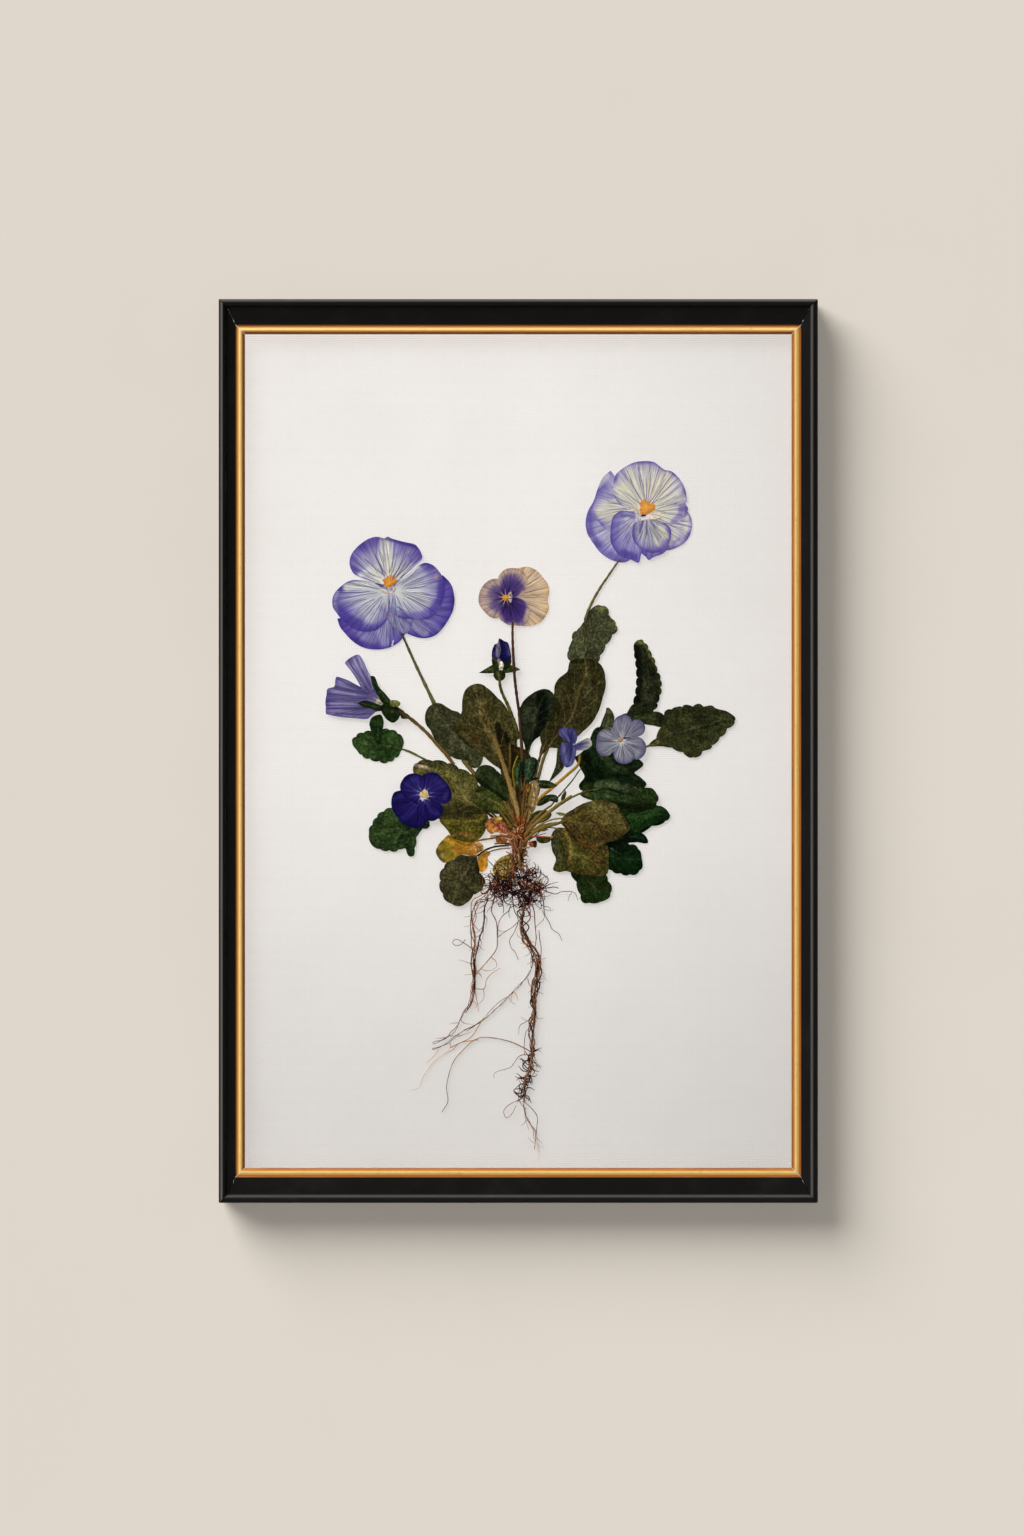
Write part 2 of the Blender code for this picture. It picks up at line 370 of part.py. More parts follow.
def smooth_curve(points, closed, steps):
    """Points along a Catmull-Rom curve through the given ones."""
    count = len(points)
    spans = count if closed else count - 1
    result = []
    for i in range(spans):
        if closed:
            a, b, c, d = (points[(i + k - 1) % count] for k in range(4))
        else:
            a, b, c, d = (points[min(max(i + k - 1, 0), count - 1)] for k in range(4))
        for step in range(steps):
            t = step / steps
            result.append(tuple(
                0.5 * (2 * q + (r - p) * t + (2 * p - 5 * q + 4 * r - s) * t * t
                       + (3 * q - p - 3 * r + s) * t ** 3)
                for p, q, r, s in zip(a, b, c, d)))
    if not closed:
        result.append(points[-1])
    return result


def add_plate(bm, outline, back, front):
    """A flat plate: an outline across the frame, extruded from back to front depth."""
    ring = [bm.verts.new((x * MM, -back * MM, z * MM)) for x, z in outline]
    face = bm.faces.new(ring)
    grown = bmesh.ops.extrude_face_region(bm, geom=[face])
    moved = [item for item in grown["geom"] if isinstance(item, bmesh.types.BMVert)]
    bmesh.ops.translate(bm, verts=moved, vec=(0.0, -(front - back) * MM, 0.0))


def ribbon_outline(path, start_width, end_width):
    """The outline of a strip that follows a path, tapering from one width to the other."""
    middle = smooth_curve(path, False, 2)
    left, right = [], []
    last = len(middle) - 1
    for i, (x, z) in enumerate(middle):
        before, after = middle[max(i - 1, 0)], middle[min(i + 1, last)]
        dx, dz = after[0] - before[0], after[1] - before[1]
        half = 0.5 * (start_width + (end_width - start_width) * i / last) / math.hypot(dx, dz)
        left.append((x - dz * half, z + dx * half))
        right.append((x + dz * half, z - dx * half))
    return left + right[::-1]


def layer_depth(layer):
    return FIRST_LAYER + layer * LAYER_STEP


def join_to(piece, name, outline, back, front, material, holder):
    """Join a second plate to a piece, so that both are one solid."""
    bm = bmesh.new()
    add_plate(bm, outline, back, front)
    joined = add_object(name, bm, material, holder)
    joined.hide_render = True
    joined.display_type = "WIRE"
    union = piece.modifiers.new(name, "BOOLEAN")
    union.operation = "UNION"
    union.solver = "EXACT"
    union.object = joined


def add_pressed(name, layer, thickness, colour, outline, stalk, stalk_width, holder):
    """A pressed leaf or flower: a thin plate with its stalk joined on."""
    material = make_material(name, colour, 0.75)
    back = layer_depth(layer)
    bm = bmesh.new()
    add_plate(bm, smooth_curve(outline, True, 2), back, back + thickness)
    piece = add_object(name, bm, material, holder)
    if stalk:
        inset = thickness * 0.15
        strip = ribbon_outline(stalk, stalk_width * 0.8, stalk_width)
        join_to(piece, name + "_stalk", strip, back + inset, back + thickness - inset,
                material, holder)


def add_stalk(name, layer, colour, top_width, foot_width, path, holder):
    back = layer_depth(layer)
    bm = bmesh.new()
    add_plate(bm, ribbon_outline(path, top_width, foot_width), back, back + LEAF_THICKNESS)
    add_object(name, bm, make_material(name, colour, 0.7), holder)


def add_roots(name, strands, holder):
    """A root with its side strands, each a little thinner than the main one."""
    material = make_material(name, ROOT_COLOUR, 0.85)
    bm = bmesh.new()
    top, tip, path = strands[0]
    back, front = FIRST_LAYER, FIRST_LAYER + ROOT_THICKNESS
    add_plate(bm, ribbon_outline(path, top, tip), back, front)
    piece = add_object(name, bm, material, holder)
    for number, (top, tip, path) in enumerate(strands[1:], 1):
        inset = 0.06 * number
        join_to(piece, f"{name}_side_{number}", ribbon_outline(path, top, tip),
                back + inset, front - inset, material, holder)


def build_plant(holder):
    for name, (layer, colour, outline, stalk, width) in LEAVES.items():
        add_pressed(name, layer, LEAF_THICKNESS, colour, outline, stalk, width, holder)
    for name, (layer, colour, outline, stalk, width) in BLOOMS.items():
        thickness = BLOOM_THICKNESS if layer == 4 else LEAF_THICKNESS
        add_pressed(name, layer, thickness, colour, outline, stalk, width, holder)
    for name, (layer, colour, top, foot, path) in STALKS.items():
        add_stalk(name, layer, colour, top, foot, path, holder)
    add_pressed("crown", CROWN_LAYER, 0.5, CROWN_COLOUR, CROWN_OUTLINE, [], 0.0, holder)
    add_pressed("root_knob", 0, KNOB_THICKNESS, KNOB_COLOUR, KNOB_OUTLINE, [], 0.0, holder)
    add_pressed("root_mat", 0, MAT_THICKNESS, MAT_COLOUR, MAT_OUTLINE, [], 0.0, holder)
    for name, strands in ROOTS.items():
        add_roots(name, strands, holder)


def share_to_inset(share, width):
    """Shares 0 to 1 cross the outer bead, 1 to 2 the flat face as far as the gilt slip."""
    if share <= 1.0:
        return share * BEAD_WIDTH
    return BEAD_WIDTH + (share - 1.0) * (width - BEAD_WIDTH)


def moulding_profile():
    """The black moulding's section, as (share across, depth), bead part then face part."""
    bead = [(0.0, FRAME_BACK)]
    for step in range(BEAD_STEPS + 1):
        turn = math.pi * step / BEAD_STEPS
        foot = FACE_DEPTH + (BEAD_FOOT - FACE_DEPTH) * step / BEAD_STEPS
        rise = (BEAD_TOP - foot) * math.sin(turn) ** 0.7 if 0 < step < BEAD_STEPS else 0.0
        bead.append((0.5 - 0.5 * math.cos(turn), foot + rise))
    bead.append((1.0, FRAME_BACK))
    rebate = 1.0 + REBATE_SHARE
    face = [(1.0, FRAME_BACK), (1.0, BEAD_FOOT), (2.0, FACE_DEPTH), (2.0, LIP_BACK),
            (rebate, LIP_BACK), (rebate, FRAME_BACK)]
    return bead, face


def add_member(name, profile, rings, inset_across, inset_along, flip, material, holder):
    """One straight side of a mitred frame.

    The section runs the length of the side; each of its points stops on the mitre,
    where the side that it meets has the same point. flip is +1 for the top and the
    right, -1 for the bottom and the left.
    """
    across_half, along_half, upright = rings
    bm = bmesh.new()
    ends = []
    for end in (-1.0, 1.0):
        verts = {}
        for share, depth in dict.fromkeys(point for part in profile for point in part):
            across = flip * (across_half - inset_across(share))
            along = end * (along_half - inset_along(share) - GAP / 2.0)
            x, z = (across, along) if upright else (along, across)
            verts[share, depth] = bm.verts.new((x * MM, -depth * MM, z * MM))
        ends.append(verts)
        for part in profile:
            bm.faces.new([verts[point] for point in part])
    shared = set()
    if len(profile) == 2:
        shared = set(profile[0]) & set(profile[1])
    for part in profile:
        for a, b in zip(part, part[1:] + part[:1]):
            if not (a in shared and b in shared):
                bm.faces.new((ends[0][a], ends[0][b], ends[1][b], ends[1][a]))
    piece = add_object(name, bm, material, holder)
    piece.data.shade_smooth()
    piece.data.set_sharp_from_angle(angle=math.radians(35.0))


def frame_sides():
    """Name, half size across, half size along, upright or not, side of the middle."""
    half_width, half_height = OUTER_WIDTH / 2.0, OUTER_HEIGHT / 2.0
    yield "top", half_height, half_width, False, 1.0
    yield "bottom", half_height, half_width, False, -1.0
    yield "left", half_width, half_height, True, -1.0
    yield "right", half_width, half_height, True, 1.0


def build_mouldings(holder):
    black = make_material("black_lacquer", BLACK, 0.38)
    profile = moulding_profile()
    for side, across_half, along_half, upright, flip in frame_sides():
        own, other = (STILE_WIDTH, RAIL_WIDTH) if upright else (RAIL_WIDTH, STILE_WIDTH)
        name = f"frame_{side}_stile" if upright else f"frame_{side}_rail"
        add_member(name, profile, (across_half, along_half, upright),
                   lambda share, width=own: share_to_inset(share, width),
                   lambda share, width=other: share_to_inset(share, width),
                   flip, black, holder)


def gilt_profile():
    """The gilt slip's section, as (distance in from the black edge, depth)."""
    return [[(-GILT_TONGUE, GILT_BACK), (-GILT_TONGUE, GILT_FRONT), (0.0, GILT_FRONT),
             (0.4, GILT_FRONT - 0.35), (1.4, GILT_FRONT - 0.25), (2.4, GILT_FRONT),
             (3.4, GILT_FRONT - 0.2), (3.85, GILT_FRONT - 0.75), (GILT_WIDTH, GILT_FRONT - 1.1),
             (GILT_WIDTH, GILT_BACK)]]


def build_gilt(holder):
    gold = make_material("gilt", GOLD, 0.32, 1.0)
    for side, across_half, along_half, upright, flip in frame_sides():
        own, other = (STILE_WIDTH, RAIL_WIDTH) if upright else (RAIL_WIDTH, STILE_WIDTH)
        add_member(f"gilt_slip_{side}", gilt_profile(), (across_half, along_half, upright),
                   lambda inward, width=own: width + inward,
                   lambda inward, width=other: width + inward,
                   flip, gold, holder)


def rectangle(half_width, half_height):
    return [(-half_width, -half_height), (half_width, -half_height),
            (half_width, half_height), (-half_width, half_height)]


def build_glazing(holder):
    """Glass, paper and backing board, all cut to the rebate."""
    half_width = OUTER_WIDTH / 2.0 - share_to_inset(1.0 + REBATE_SHARE, STILE_WIDTH) - GAP
    half_height = OUTER_HEIGHT / 2.0 - share_to_inset(1.0 + REBATE_SHARE, RAIL_WIDTH) - GAP
    panes = (("glass_pane", GLASS_BACK, GLASS_FRONT, CLEAR, 0.05),
             ("specimen_sheet", SHEET_BACK, SHEET_FRONT, PAPER, 0.9),
             ("backing_board", BOARD_BACK, BOARD_FRONT, CARD, 0.9))
    for name, back, front, colour, roughness in panes:
        bm = bmesh.new()
        add_plate(bm, rectangle(half_width, half_height), back, front)
        add_object(name, bm, make_material(name, colour, roughness), holder)
    return half_width


def build_points(half_width, holder):
    """Framer's points, two on each side, which hold the board in the rebate."""
    steel = make_material("point_steel", STEEL, 0.35, 1.0)
    number = 0
    for side in (-1.0, 1.0):
        for height in (-POINT_HEIGHT, POINT_HEIGHT):
            number += 1
            root = side * half_width
            middle = side * (half_width - POINT_LENGTH / 2.0)
            tip = side * (half_width - POINT_LENGTH)
            outline = [(root, height), (middle, height - POINT_HALF_WIDTH),
                       (tip, height), (middle, height + POINT_HALF_WIDTH)]
            bm = bmesh.new()
            add_plate(bm, outline, POINT_BACK, POINT_FRONT)
            add_object(f"framers_point_{number}", bm, steel, holder)


def hanger_depth(x):
    """The strip stands clear of the frame between its two flat feet."""
    foot = HANGER_WIDTH / 2.0 - HANGER_FOOT
    ramp = min(max((abs(x) - foot) / 2.0, 0.0), 1.0)
    return HANGER_HIGH + (HANGER_LOW - HANGER_HIGH) * ramp


def build_hanger(holder):
    """A bent steel strip with a row of teeth along its lower edge."""
    foot = HANGER_WIDTH / 2.0 - HANGER_FOOT
    pitch = 2.0 * foot / (2 * HANGER_TEETH)
    columns = [(-HANGER_WIDTH / 2.0, 0.0), (-foot - 2.0, 0.0)]
    for i in range(2 * HANGER_TEETH + 1):
        columns.append((-foot + i * pitch, TOOTH_DEPTH if i % 2 else 0.0))
    columns += [(foot + 2.0, 0.0), (HANGER_WIDTH / 2.0, 0.0)]
    bm = bmesh.new()
    rows = []
    for x, notch in columns:
        depth = hanger_depth(x)
        low = HANGER_TOP - HANGER_HEIGHT + notch
        rows.append([bm.verts.new((x * MM, -y * MM, z * MM)) for y, z in (
            (depth, HANGER_TOP), (depth, low), (depth + HANGER_PLATE, low),
            (depth + HANGER_PLATE, HANGER_TOP))])
    bm.faces.new(rows[0])
    bm.faces.new(rows[-1])
    for one, two in zip(rows, rows[1:]):
        for k in range(4):
            bm.faces.new((one[k], one[(k + 1) % 4], two[(k + 1) % 4], two[k]))
    add_object("hanger", bm, make_material("hanger_steel", STEEL, 0.35, 1.0), holder)


def build_bumpers(holder):
    """Felt discs on the bottom corners, which keep the frame off the wall."""
    felt = make_material("bumper_felt", FELT, 0.95)
    for side, name in ((-1.0, "bumper_left"), (1.0, "bumper_right")):
        bm = bmesh.new()
        bmesh.ops.create_cone(bm, cap_ends=True, segments=24, radius1=BUMPER_RADIUS * MM,
                              radius2=BUMPER_RADIUS * MM, depth=(BUMPER_DEPTH - GAP) * MM)
        piece = add_object(name, bm, felt, holder)
        piece.rotation_euler = (math.radians(90.0), 0.0, 0.0)
        piece.location = (side * (OUTER_WIDTH / 2.0 - BUMPER_INSET) * MM,
                          -(BUMPER_DEPTH - GAP) / 2.0 * MM,
                          -(OUTER_HEIGHT / 2.0 - BUMPER_INSET) * MM)


def main():
    clear_scene()
    holder = bpy.data.objects.new("frame_middle", None)
    holder.location = (0.0, 0.0, CENTRE_Z * MM)
    bpy.context.scene.collection.objects.link(holder)
    build_mouldings(holder)
    build_gilt(holder)
    build_points(build_glazing(holder), holder)
    build_hanger(holder)
    build_bumpers(holder)
    build_plant(holder)
    bpy.context.view_layer.update()


main()
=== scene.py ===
"""Pressed flower frame: a whole pansy plant, pressed flat on a sheet of paper
under glass, in a black lacquered frame with a gilt slip.

Across the frame, sizes are in millimetres from its middle: x to the right and z
up. Depths are millimetres out from the wall, towards the viewer.
"""

import json
import math

import bpy
import numpy as np
from bpy.props import FloatProperty, FloatVectorProperty, IntProperty, PointerProperty
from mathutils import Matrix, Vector

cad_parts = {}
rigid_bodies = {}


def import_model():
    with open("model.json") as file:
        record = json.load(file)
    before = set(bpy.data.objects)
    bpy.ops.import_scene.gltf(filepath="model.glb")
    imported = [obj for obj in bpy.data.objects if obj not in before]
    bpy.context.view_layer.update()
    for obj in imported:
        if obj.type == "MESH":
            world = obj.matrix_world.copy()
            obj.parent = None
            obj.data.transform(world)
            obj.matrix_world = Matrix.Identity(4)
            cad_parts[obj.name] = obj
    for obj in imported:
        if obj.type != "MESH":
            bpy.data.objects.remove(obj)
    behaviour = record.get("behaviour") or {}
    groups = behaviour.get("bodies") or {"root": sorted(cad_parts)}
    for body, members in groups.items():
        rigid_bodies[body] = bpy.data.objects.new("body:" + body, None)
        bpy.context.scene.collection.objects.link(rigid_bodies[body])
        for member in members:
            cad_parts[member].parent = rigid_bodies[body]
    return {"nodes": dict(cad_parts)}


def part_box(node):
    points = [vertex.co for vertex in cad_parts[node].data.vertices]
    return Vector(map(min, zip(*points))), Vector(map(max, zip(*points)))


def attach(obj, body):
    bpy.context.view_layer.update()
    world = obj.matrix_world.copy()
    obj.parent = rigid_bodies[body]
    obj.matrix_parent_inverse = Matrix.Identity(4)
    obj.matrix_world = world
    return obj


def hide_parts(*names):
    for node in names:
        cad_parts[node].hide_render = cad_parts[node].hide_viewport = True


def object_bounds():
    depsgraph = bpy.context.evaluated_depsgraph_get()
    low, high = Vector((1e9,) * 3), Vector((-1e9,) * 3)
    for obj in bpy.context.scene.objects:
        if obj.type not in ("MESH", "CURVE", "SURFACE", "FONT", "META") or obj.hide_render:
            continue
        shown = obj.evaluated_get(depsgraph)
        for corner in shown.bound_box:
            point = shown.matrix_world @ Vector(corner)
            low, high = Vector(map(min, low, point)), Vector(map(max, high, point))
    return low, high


bl_info = {
    "name": "Pressed Flower Frame",
    "version": (1, 0, 0),
    "blender": (4, 5, 0),
    "location": "View3D > Sidebar > Pressed Flower",
    "description": "A pressed pansy plant under glass in a black and gilt frame",
    "category": "Object",
}

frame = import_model()
NODES = frame["nodes"]
CAD_LOW, CAD_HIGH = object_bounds()
MM = 0.001
MIDDLE_X = (CAD_LOW.x + CAD_HIGH.x) / 2
MIDDLE_Z = (CAD_LOW.z + CAD_HIGH.z) / 2


# ---- lines and colours -------------------------------------------------------

def linear(shade):
    """Display values 0 to 255 as linear colour: each is raised by the display's curve."""
    value = np.asarray(shade, float) / 255.0
    return np.where(value <= 0.04045, value / 12.92, ((value + 0.055) / 1.055) ** 2.4)


def ease(share):
    """A smooth step: 0 below 0, 1 above 1, and 3 s^2 - 2 s^3 between."""
    share = np.clip(share, 0.0, 1.0)
    return share * share * (3.0 - 2.0 * share)


def curve(points, count):
    """A line through the points: between two it is their Catmull-Rom cubic."""
    given = np.array(points, float)
    ends = [2 * given[:1] - given[1:2], given, 2 * given[-1:] - given[-2:-1]]
    padded = np.concatenate(ends)
    place = np.linspace(0, len(given) - 1, count)
    span = np.minimum(place.astype(int), len(given) - 2)
    t = (place - span)[:, None]
    a, b, c, d = (padded[span + k] for k in range(4))
    return 0.5 * (2 * b + (c - a) * t + (2 * a - 5 * b + 4 * c - d) * t ** 2
                  + (3 * b - a - 3 * c + d) * t ** 3)


def travelled(line):
    """The length of the line from its start to each of its points."""
    return np.concatenate([[0.0], np.cumsum(np.hypot(*np.diff(line, axis=0).T))])


def even(line, count):
    """The same line with its points an equal length apart."""
    length = travelled(line)
    at = np.linspace(0.0, length[-1], count)
    return np.stack([np.interp(at, length, line[:, k]) for k in range(2)], -1)


def smooth_line(points, spacing):
    """An even, smooth line through the points at about that spacing."""
    line = curve(points, 12 * len(points))
    return even(line, max(int(travelled(line)[-1] / spacing), 4))


def distance_to(path, x, z):
    """Distance from every point to a path: to its nearest segment, clamped at the ends."""
    line = np.array(path, float)
    line = np.concatenate([line, line[-1:]]) if len(line) == 1 else line
    point = np.stack([x, z], -1)[..., None, :]
    start, run = line[:-1], line[1:] - line[:-1]
    square = np.maximum((run ** 2).sum(-1), 1e-9)
    along = np.clip(((point - start) * run).sum(-1) / square, 0.0, 1.0)
    return np.sqrt(((point - start - along[..., None] * run) ** 2).sum(-1)).min(-1)


def paint(x, z, ground, strokes):
    """The ground colour with strokes over it: each covers its share within half its
    width of its path, and fades out by one and a half widths."""
    colour = np.ones(x.shape + (1,)) * ground
    for path, width, shade, strength in strokes:
        cover = strength * ease(1.5 - distance_to(path, x, z) / width)
        colour += cover[..., None] * (linear(shade) - colour)
    return colour


def ripple(x, z, length, seed):
    """Gentle unevenness from -1 to 1: four sine waves across the sheet, each turned
    and shifted by its own draw."""
    draw = np.random.default_rng(seed)
    turn, shift = draw.uniform(0, math.tau, 4), draw.uniform(0, math.tau, 4)
    size = math.tau / (length * draw.uniform(0.7, 1.5, 4))
    point = np.cos(turn) * x[..., None] + np.sin(turn) * z[..., None]
    return np.sin(point * size + shift).mean(-1) * 1.6


# ---- solid shapes ------------------------------------------------------------
# A shape is (points, faces, colours, lie): points as x, z, depth; faces as index
# rows; lie as (length along, share across, share along) for the veins.

def sheet_shape(x, z, depth, thickness, colour, lie):
    """A closed thin sheet: the grid (x, z, depth) is its front, the same grid set back
    by the thickness is its back, and quads round the border join the two."""
    rows, columns = x.shape
    count = rows * columns
    index = np.arange(count).reshape(rows, columns)
    front = np.stack([index[:-1, :-1], index[:-1, 1:], index[1:, 1:], index[1:, :-1]], -1)
    front = front.reshape(-1, 4)
    rim = np.concatenate([index[0, :-1], index[:-1, -1], index[-1, :0:-1], index[:0:-1, 0]])
    edge_x, edge_z = x.ravel()[rim], z.ravel()[rim]
    if (edge_x * np.roll(edge_z, -1) - np.roll(edge_x, -1) * edge_z).sum() < 0:
        front, rim = front[:, ::-1], rim[::-1]
    after = np.roll(rim, -1)
    side = np.stack([after, rim, rim + count, after + count], -1)
    points = np.stack([x, z, depth], -1).reshape(-1, 3)
    points = np.concatenate([points, points - [0.0, 0.0, thickness]])
    colour, lie = colour.reshape(-1, 3), lie.reshape(-1, 3)
    return (points, [front, front[:, ::-1] + count, side],
            np.concatenate([colour, colour]), np.concatenate([lie, lie]))


def stem_shape(path, widths, thickness, depth, shades, sides=8, spacing=0.8, seed=0):
    """A flattened stem: an ellipse as wide as the stem and as thick as given, carried
    along the path at that depth, with both ends closed. Its shade runs from the first
    to the last of the given ones."""
    line = smooth_line(path, spacing)
    share = np.linspace(0.0, 1.0, len(line))
    marks = np.linspace(0.0, 1.0, len(widths))
    half = np.interp(share, marks, widths)[:, None] / 2.0
    half = half * (1.0 + 0.12 * ripple(line[:, 0], line[:, 1], 3.0, seed))[:, None]
    rise = np.interp(share, np.linspace(0, 1, np.size(depth)), np.atleast_1d(depth))[:, None]
    run = np.gradient(line, axis=0)
    run /= np.hypot(*run.T)[:, None]
    turn = math.tau * np.arange(sides) / sides
    x = line[:, :1] + run[:, 1:] * half * np.cos(turn)
    z = line[:, 1:] - run[:, :1] * half * np.cos(turn)
    thick = np.minimum(half, thickness / 2.0)
    points = np.stack([x, z, rise + thick * np.sin(turn)], -1).reshape(-1, 3)
    index = np.arange(x.size).reshape(x.shape)
    turned = np.roll(index, -1, axis=1)
    skin = np.stack([index[:-1], index[1:], turned[1:], turned[:-1]], -1).reshape(-1, 4)
    tones = linear(shades)
    steps = np.linspace(0.0, 1.0, len(tones))
    colour = np.stack([np.interp(share, steps, tones[:, k]) for k in range(3)], -1)
    # Painted shade: each stem is painted lighter across its front and darker towards its back
    light = (0.82 + 0.18 * np.sin(turn))[None, :, None]
    colour = (colour[:, None, :] * light).reshape(-1, 3)
    length = np.broadcast_to(travelled(line)[:, None], x.shape)
    around = np.broadcast_to(np.cos(turn) * 0.5 + 0.5, x.shape)
    lie = np.stack([length, around, np.broadcast_to(share[:, None], x.shape)], -1)
    return points, [skin, index[:1], index[-1:, ::-1]], colour, lie.reshape(-1, 3)


def add_piece(name, shapes, material, slot, *nodes):
    """One mesh from several shapes, in place of the named nodes."""
    starts = np.cumsum([0] + [len(shape[0]) for shape in shapes])
    faces = []
    for shape, start in zip(shapes, starts):
        for block in shape[1]:
            faces += (block + start).tolist()
    points = np.concatenate([shape[0] for shape in shapes])
    colour = np.concatenate([shape[2] for shape in shapes])
    lie = np.concatenate([shape[3] for shape in shapes])
    place = np.stack([points[:, 0] * MM + MIDDLE_X, -points[:, 2] * MM,
                      points[:, 1] * MM + MIDDLE_Z], -1)
    mesh = bpy.data.meshes.new(name)
    mesh.from_pydata(place.tolist(), [], faces)
    tint = np.concatenate([colour, np.ones((len(colour), 1))], -1)
    mesh.attributes.new("paint", "FLOAT_COLOR", "POINT").data.foreach_set("color", tint.ravel())
    mesh.attributes.new("lie", "FLOAT_VECTOR", "POINT").data.foreach_set("vector", lie.ravel())
    mesh.shade_smooth()
    mesh.set_sharp_from_angle(angle=math.radians(50.0))
    mesh.materials.append(material)
    piece = bpy.data.objects.new(name, mesh)
    bpy.context.scene.collection.objects.link(piece)
    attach(piece, "root")
    if nodes:
        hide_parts(*nodes)
    return piece


# ---- reading an outline off its node ----------------------------------------

def node_outline(name):
    """The front edge of a flat node, anticlockwise. The sides of its front triangles
    that are used once are the edge. Following them is done by doubling: the next
    stretch is the stretch so far, moved on by its own length."""
    mesh = NODES[name].data
    place = np.empty(len(mesh.vertices) * 3, np.float32)
    mesh.vertices.foreach_get("co", place)
    place = place.reshape(-1, 3).astype(float) / MM
    corner = np.empty(len(mesh.loops), np.int32)
    mesh.loops.foreach_get("vertex_index", corner)
    unique, merged = np.unique(np.round(place, 3), axis=0, return_inverse=True)
    triangle = merged.ravel()[corner].reshape(-1, 3)
    front = unique[:, 1].min() + 0.01
    triangle = triangle[(unique[triangle][:, :, 1] < front).all(1)]
    side = np.concatenate([triangle[:, [0, 1]], triangle[:, [1, 2]], triangle[:, [2, 0]]])
    count = len(unique)
    edge = side[~np.isin(side[:, 0] * count + side[:, 1], side[:, 1] * count + side[:, 0])]
    follow = np.arange(count)
    follow[edge[:, 0]] = edge[:, 1]
    order = edge[:1, 0]
    while len(order) < len(edge):
        order = np.concatenate([order, follow[order]])
        follow = follow[follow]
    loop = unique[order[:len(edge)]]
    x = loop[:, 0] - MIDDLE_X / MM
    return np.stack([x, loop[:, 2] - MIDDLE_Z / MM], -1)


def round_outline(name, spacing=0.5, blur=1.3):
    """The outline at even spacing, with its corners rounded by a running average."""
    loop = node_outline(name)
    loop = np.concatenate([loop, loop[:1]])
    count = int(travelled(loop)[-1] / spacing)
    loop = even(loop, count + 1)[:-1]
    reach = int(3 * blur)
    weights = np.exp(-0.5 * (np.arange(-reach, reach + 1) / blur) ** 2)
    shifts = [np.roll(loop, k, axis=0) * w for k, w in zip(range(-reach, reach + 1), weights)]
    return np.sum(shifts, 0) / weights.sum()


def node_front(name):
    """How far the node's front stands out from the wall."""
    return -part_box(name)[0].y / MM


# ---- shader node groups ------------------------------------------------------

# How high the fine grain of each finish stands, in metres
LEAF_GRAIN, PETAL_GRAIN, STEM_GRAIN = 0.00006, 0.00005, 0.00008
LACQUER_GRAIN, GILT_GRAIN, PAPER_GRAIN = 0.00002, 0.00003, 0.00005


def put(tree, kind, *inputs, **settings):
    """A shader node with its settings, and its inputs set or linked in order."""
    node = tree.nodes.new(kind)
    for key, value in settings.items():
        setattr(node, key, value)
    for socket, value in zip(node.inputs, inputs):
        join_input(tree, socket, value)
    return node


def join_input(tree, socket, value):
    """Link the socket if it is given another one, or set it to a plain value."""
    if isinstance(value, bpy.types.NodeSocket):
        tree.links.new(value, socket)
    elif value is not None:
        socket.default_value = value


def calc(tree, operation, *values, clamp=False):
    """One sum on values that change over the surface."""
    node = put(tree, "ShaderNodeMath", *values, operation=operation, use_clamp=clamp)
    return node.outputs[0]


def times(tree, *values):
    return calc(tree, "MULTIPLY", *values)


def plus(tree, *values):
    return calc(tree, "ADD", *values)


def minus(tree, *values):
    return calc(tree, "SUBTRACT", *values)


def attribute(tree, name, output):
    """What a piece's points carry: their painted colour, or how they lie."""
    return put(tree, "ShaderNodeAttribute", attribute_name=name).outputs[output]


def place_of(tree):
    """Where a point of the surface is, in metres."""
    return tree.nodes.new("ShaderNodeTexCoord").outputs["Object"]


def blend(tree, share, first, second, mode="MIX"):
    """Mix two colours by a share."""
    node = tree.nodes.new("ShaderNodeMix")
    node.data_type, node.blend_type, node.clamp_factor = "RGBA", mode, True
    join_input(tree, node.inputs[0], share)
    join_input(tree, node.inputs[6], first)
    join_input(tree, node.inputs[7], second)
    return node.outputs[2]


def ramp(tree, value, low, high, to_low=0.0, to_high=1.0):
    """A smooth step from one value to another as the given value goes from low to high."""
    node = put(tree, "ShaderNodeMapRange", value, low, high, to_low, to_high,
               interpolation_type="SMOOTHSTEP")
    return node.outputs[0]


def speckle(tree, vector, scale, detail=3.0, roughness=0.55, distortion=0.0):
    """Cloudy noise from 0 to 1; scale is its patches to the metre on a plain place."""
    node = tree.nodes.new("ShaderNodeTexNoise")
    join_input(tree, node.inputs["Vector"], vector)
    node.inputs["Scale"].default_value = scale
    node.inputs["Detail"].default_value = detail
    node.inputs["Roughness"].default_value = roughness
    node.inputs["Distortion"].default_value = distortion
    return node.outputs[0]


def new_group(name, inputs, outputs):
    """A node group with named sockets; inputs as (name, type, default)."""
    tree = bpy.data.node_groups.new(name, "ShaderNodeTree")
    for label, kind, value in inputs:
        socket = tree.interface.new_socket(label, in_out="INPUT", socket_type=kind)
        socket.default_value = value
    for label, kind in outputs:
        tree.interface.new_socket(label, in_out="OUTPUT", socket_type=kind)
    start = tree.nodes.new("NodeGroupInput")
    end = tree.nodes.new("NodeGroupOutput")
    return tree, start.outputs, end.inputs


FLOAT = "NodeSocketFloat"


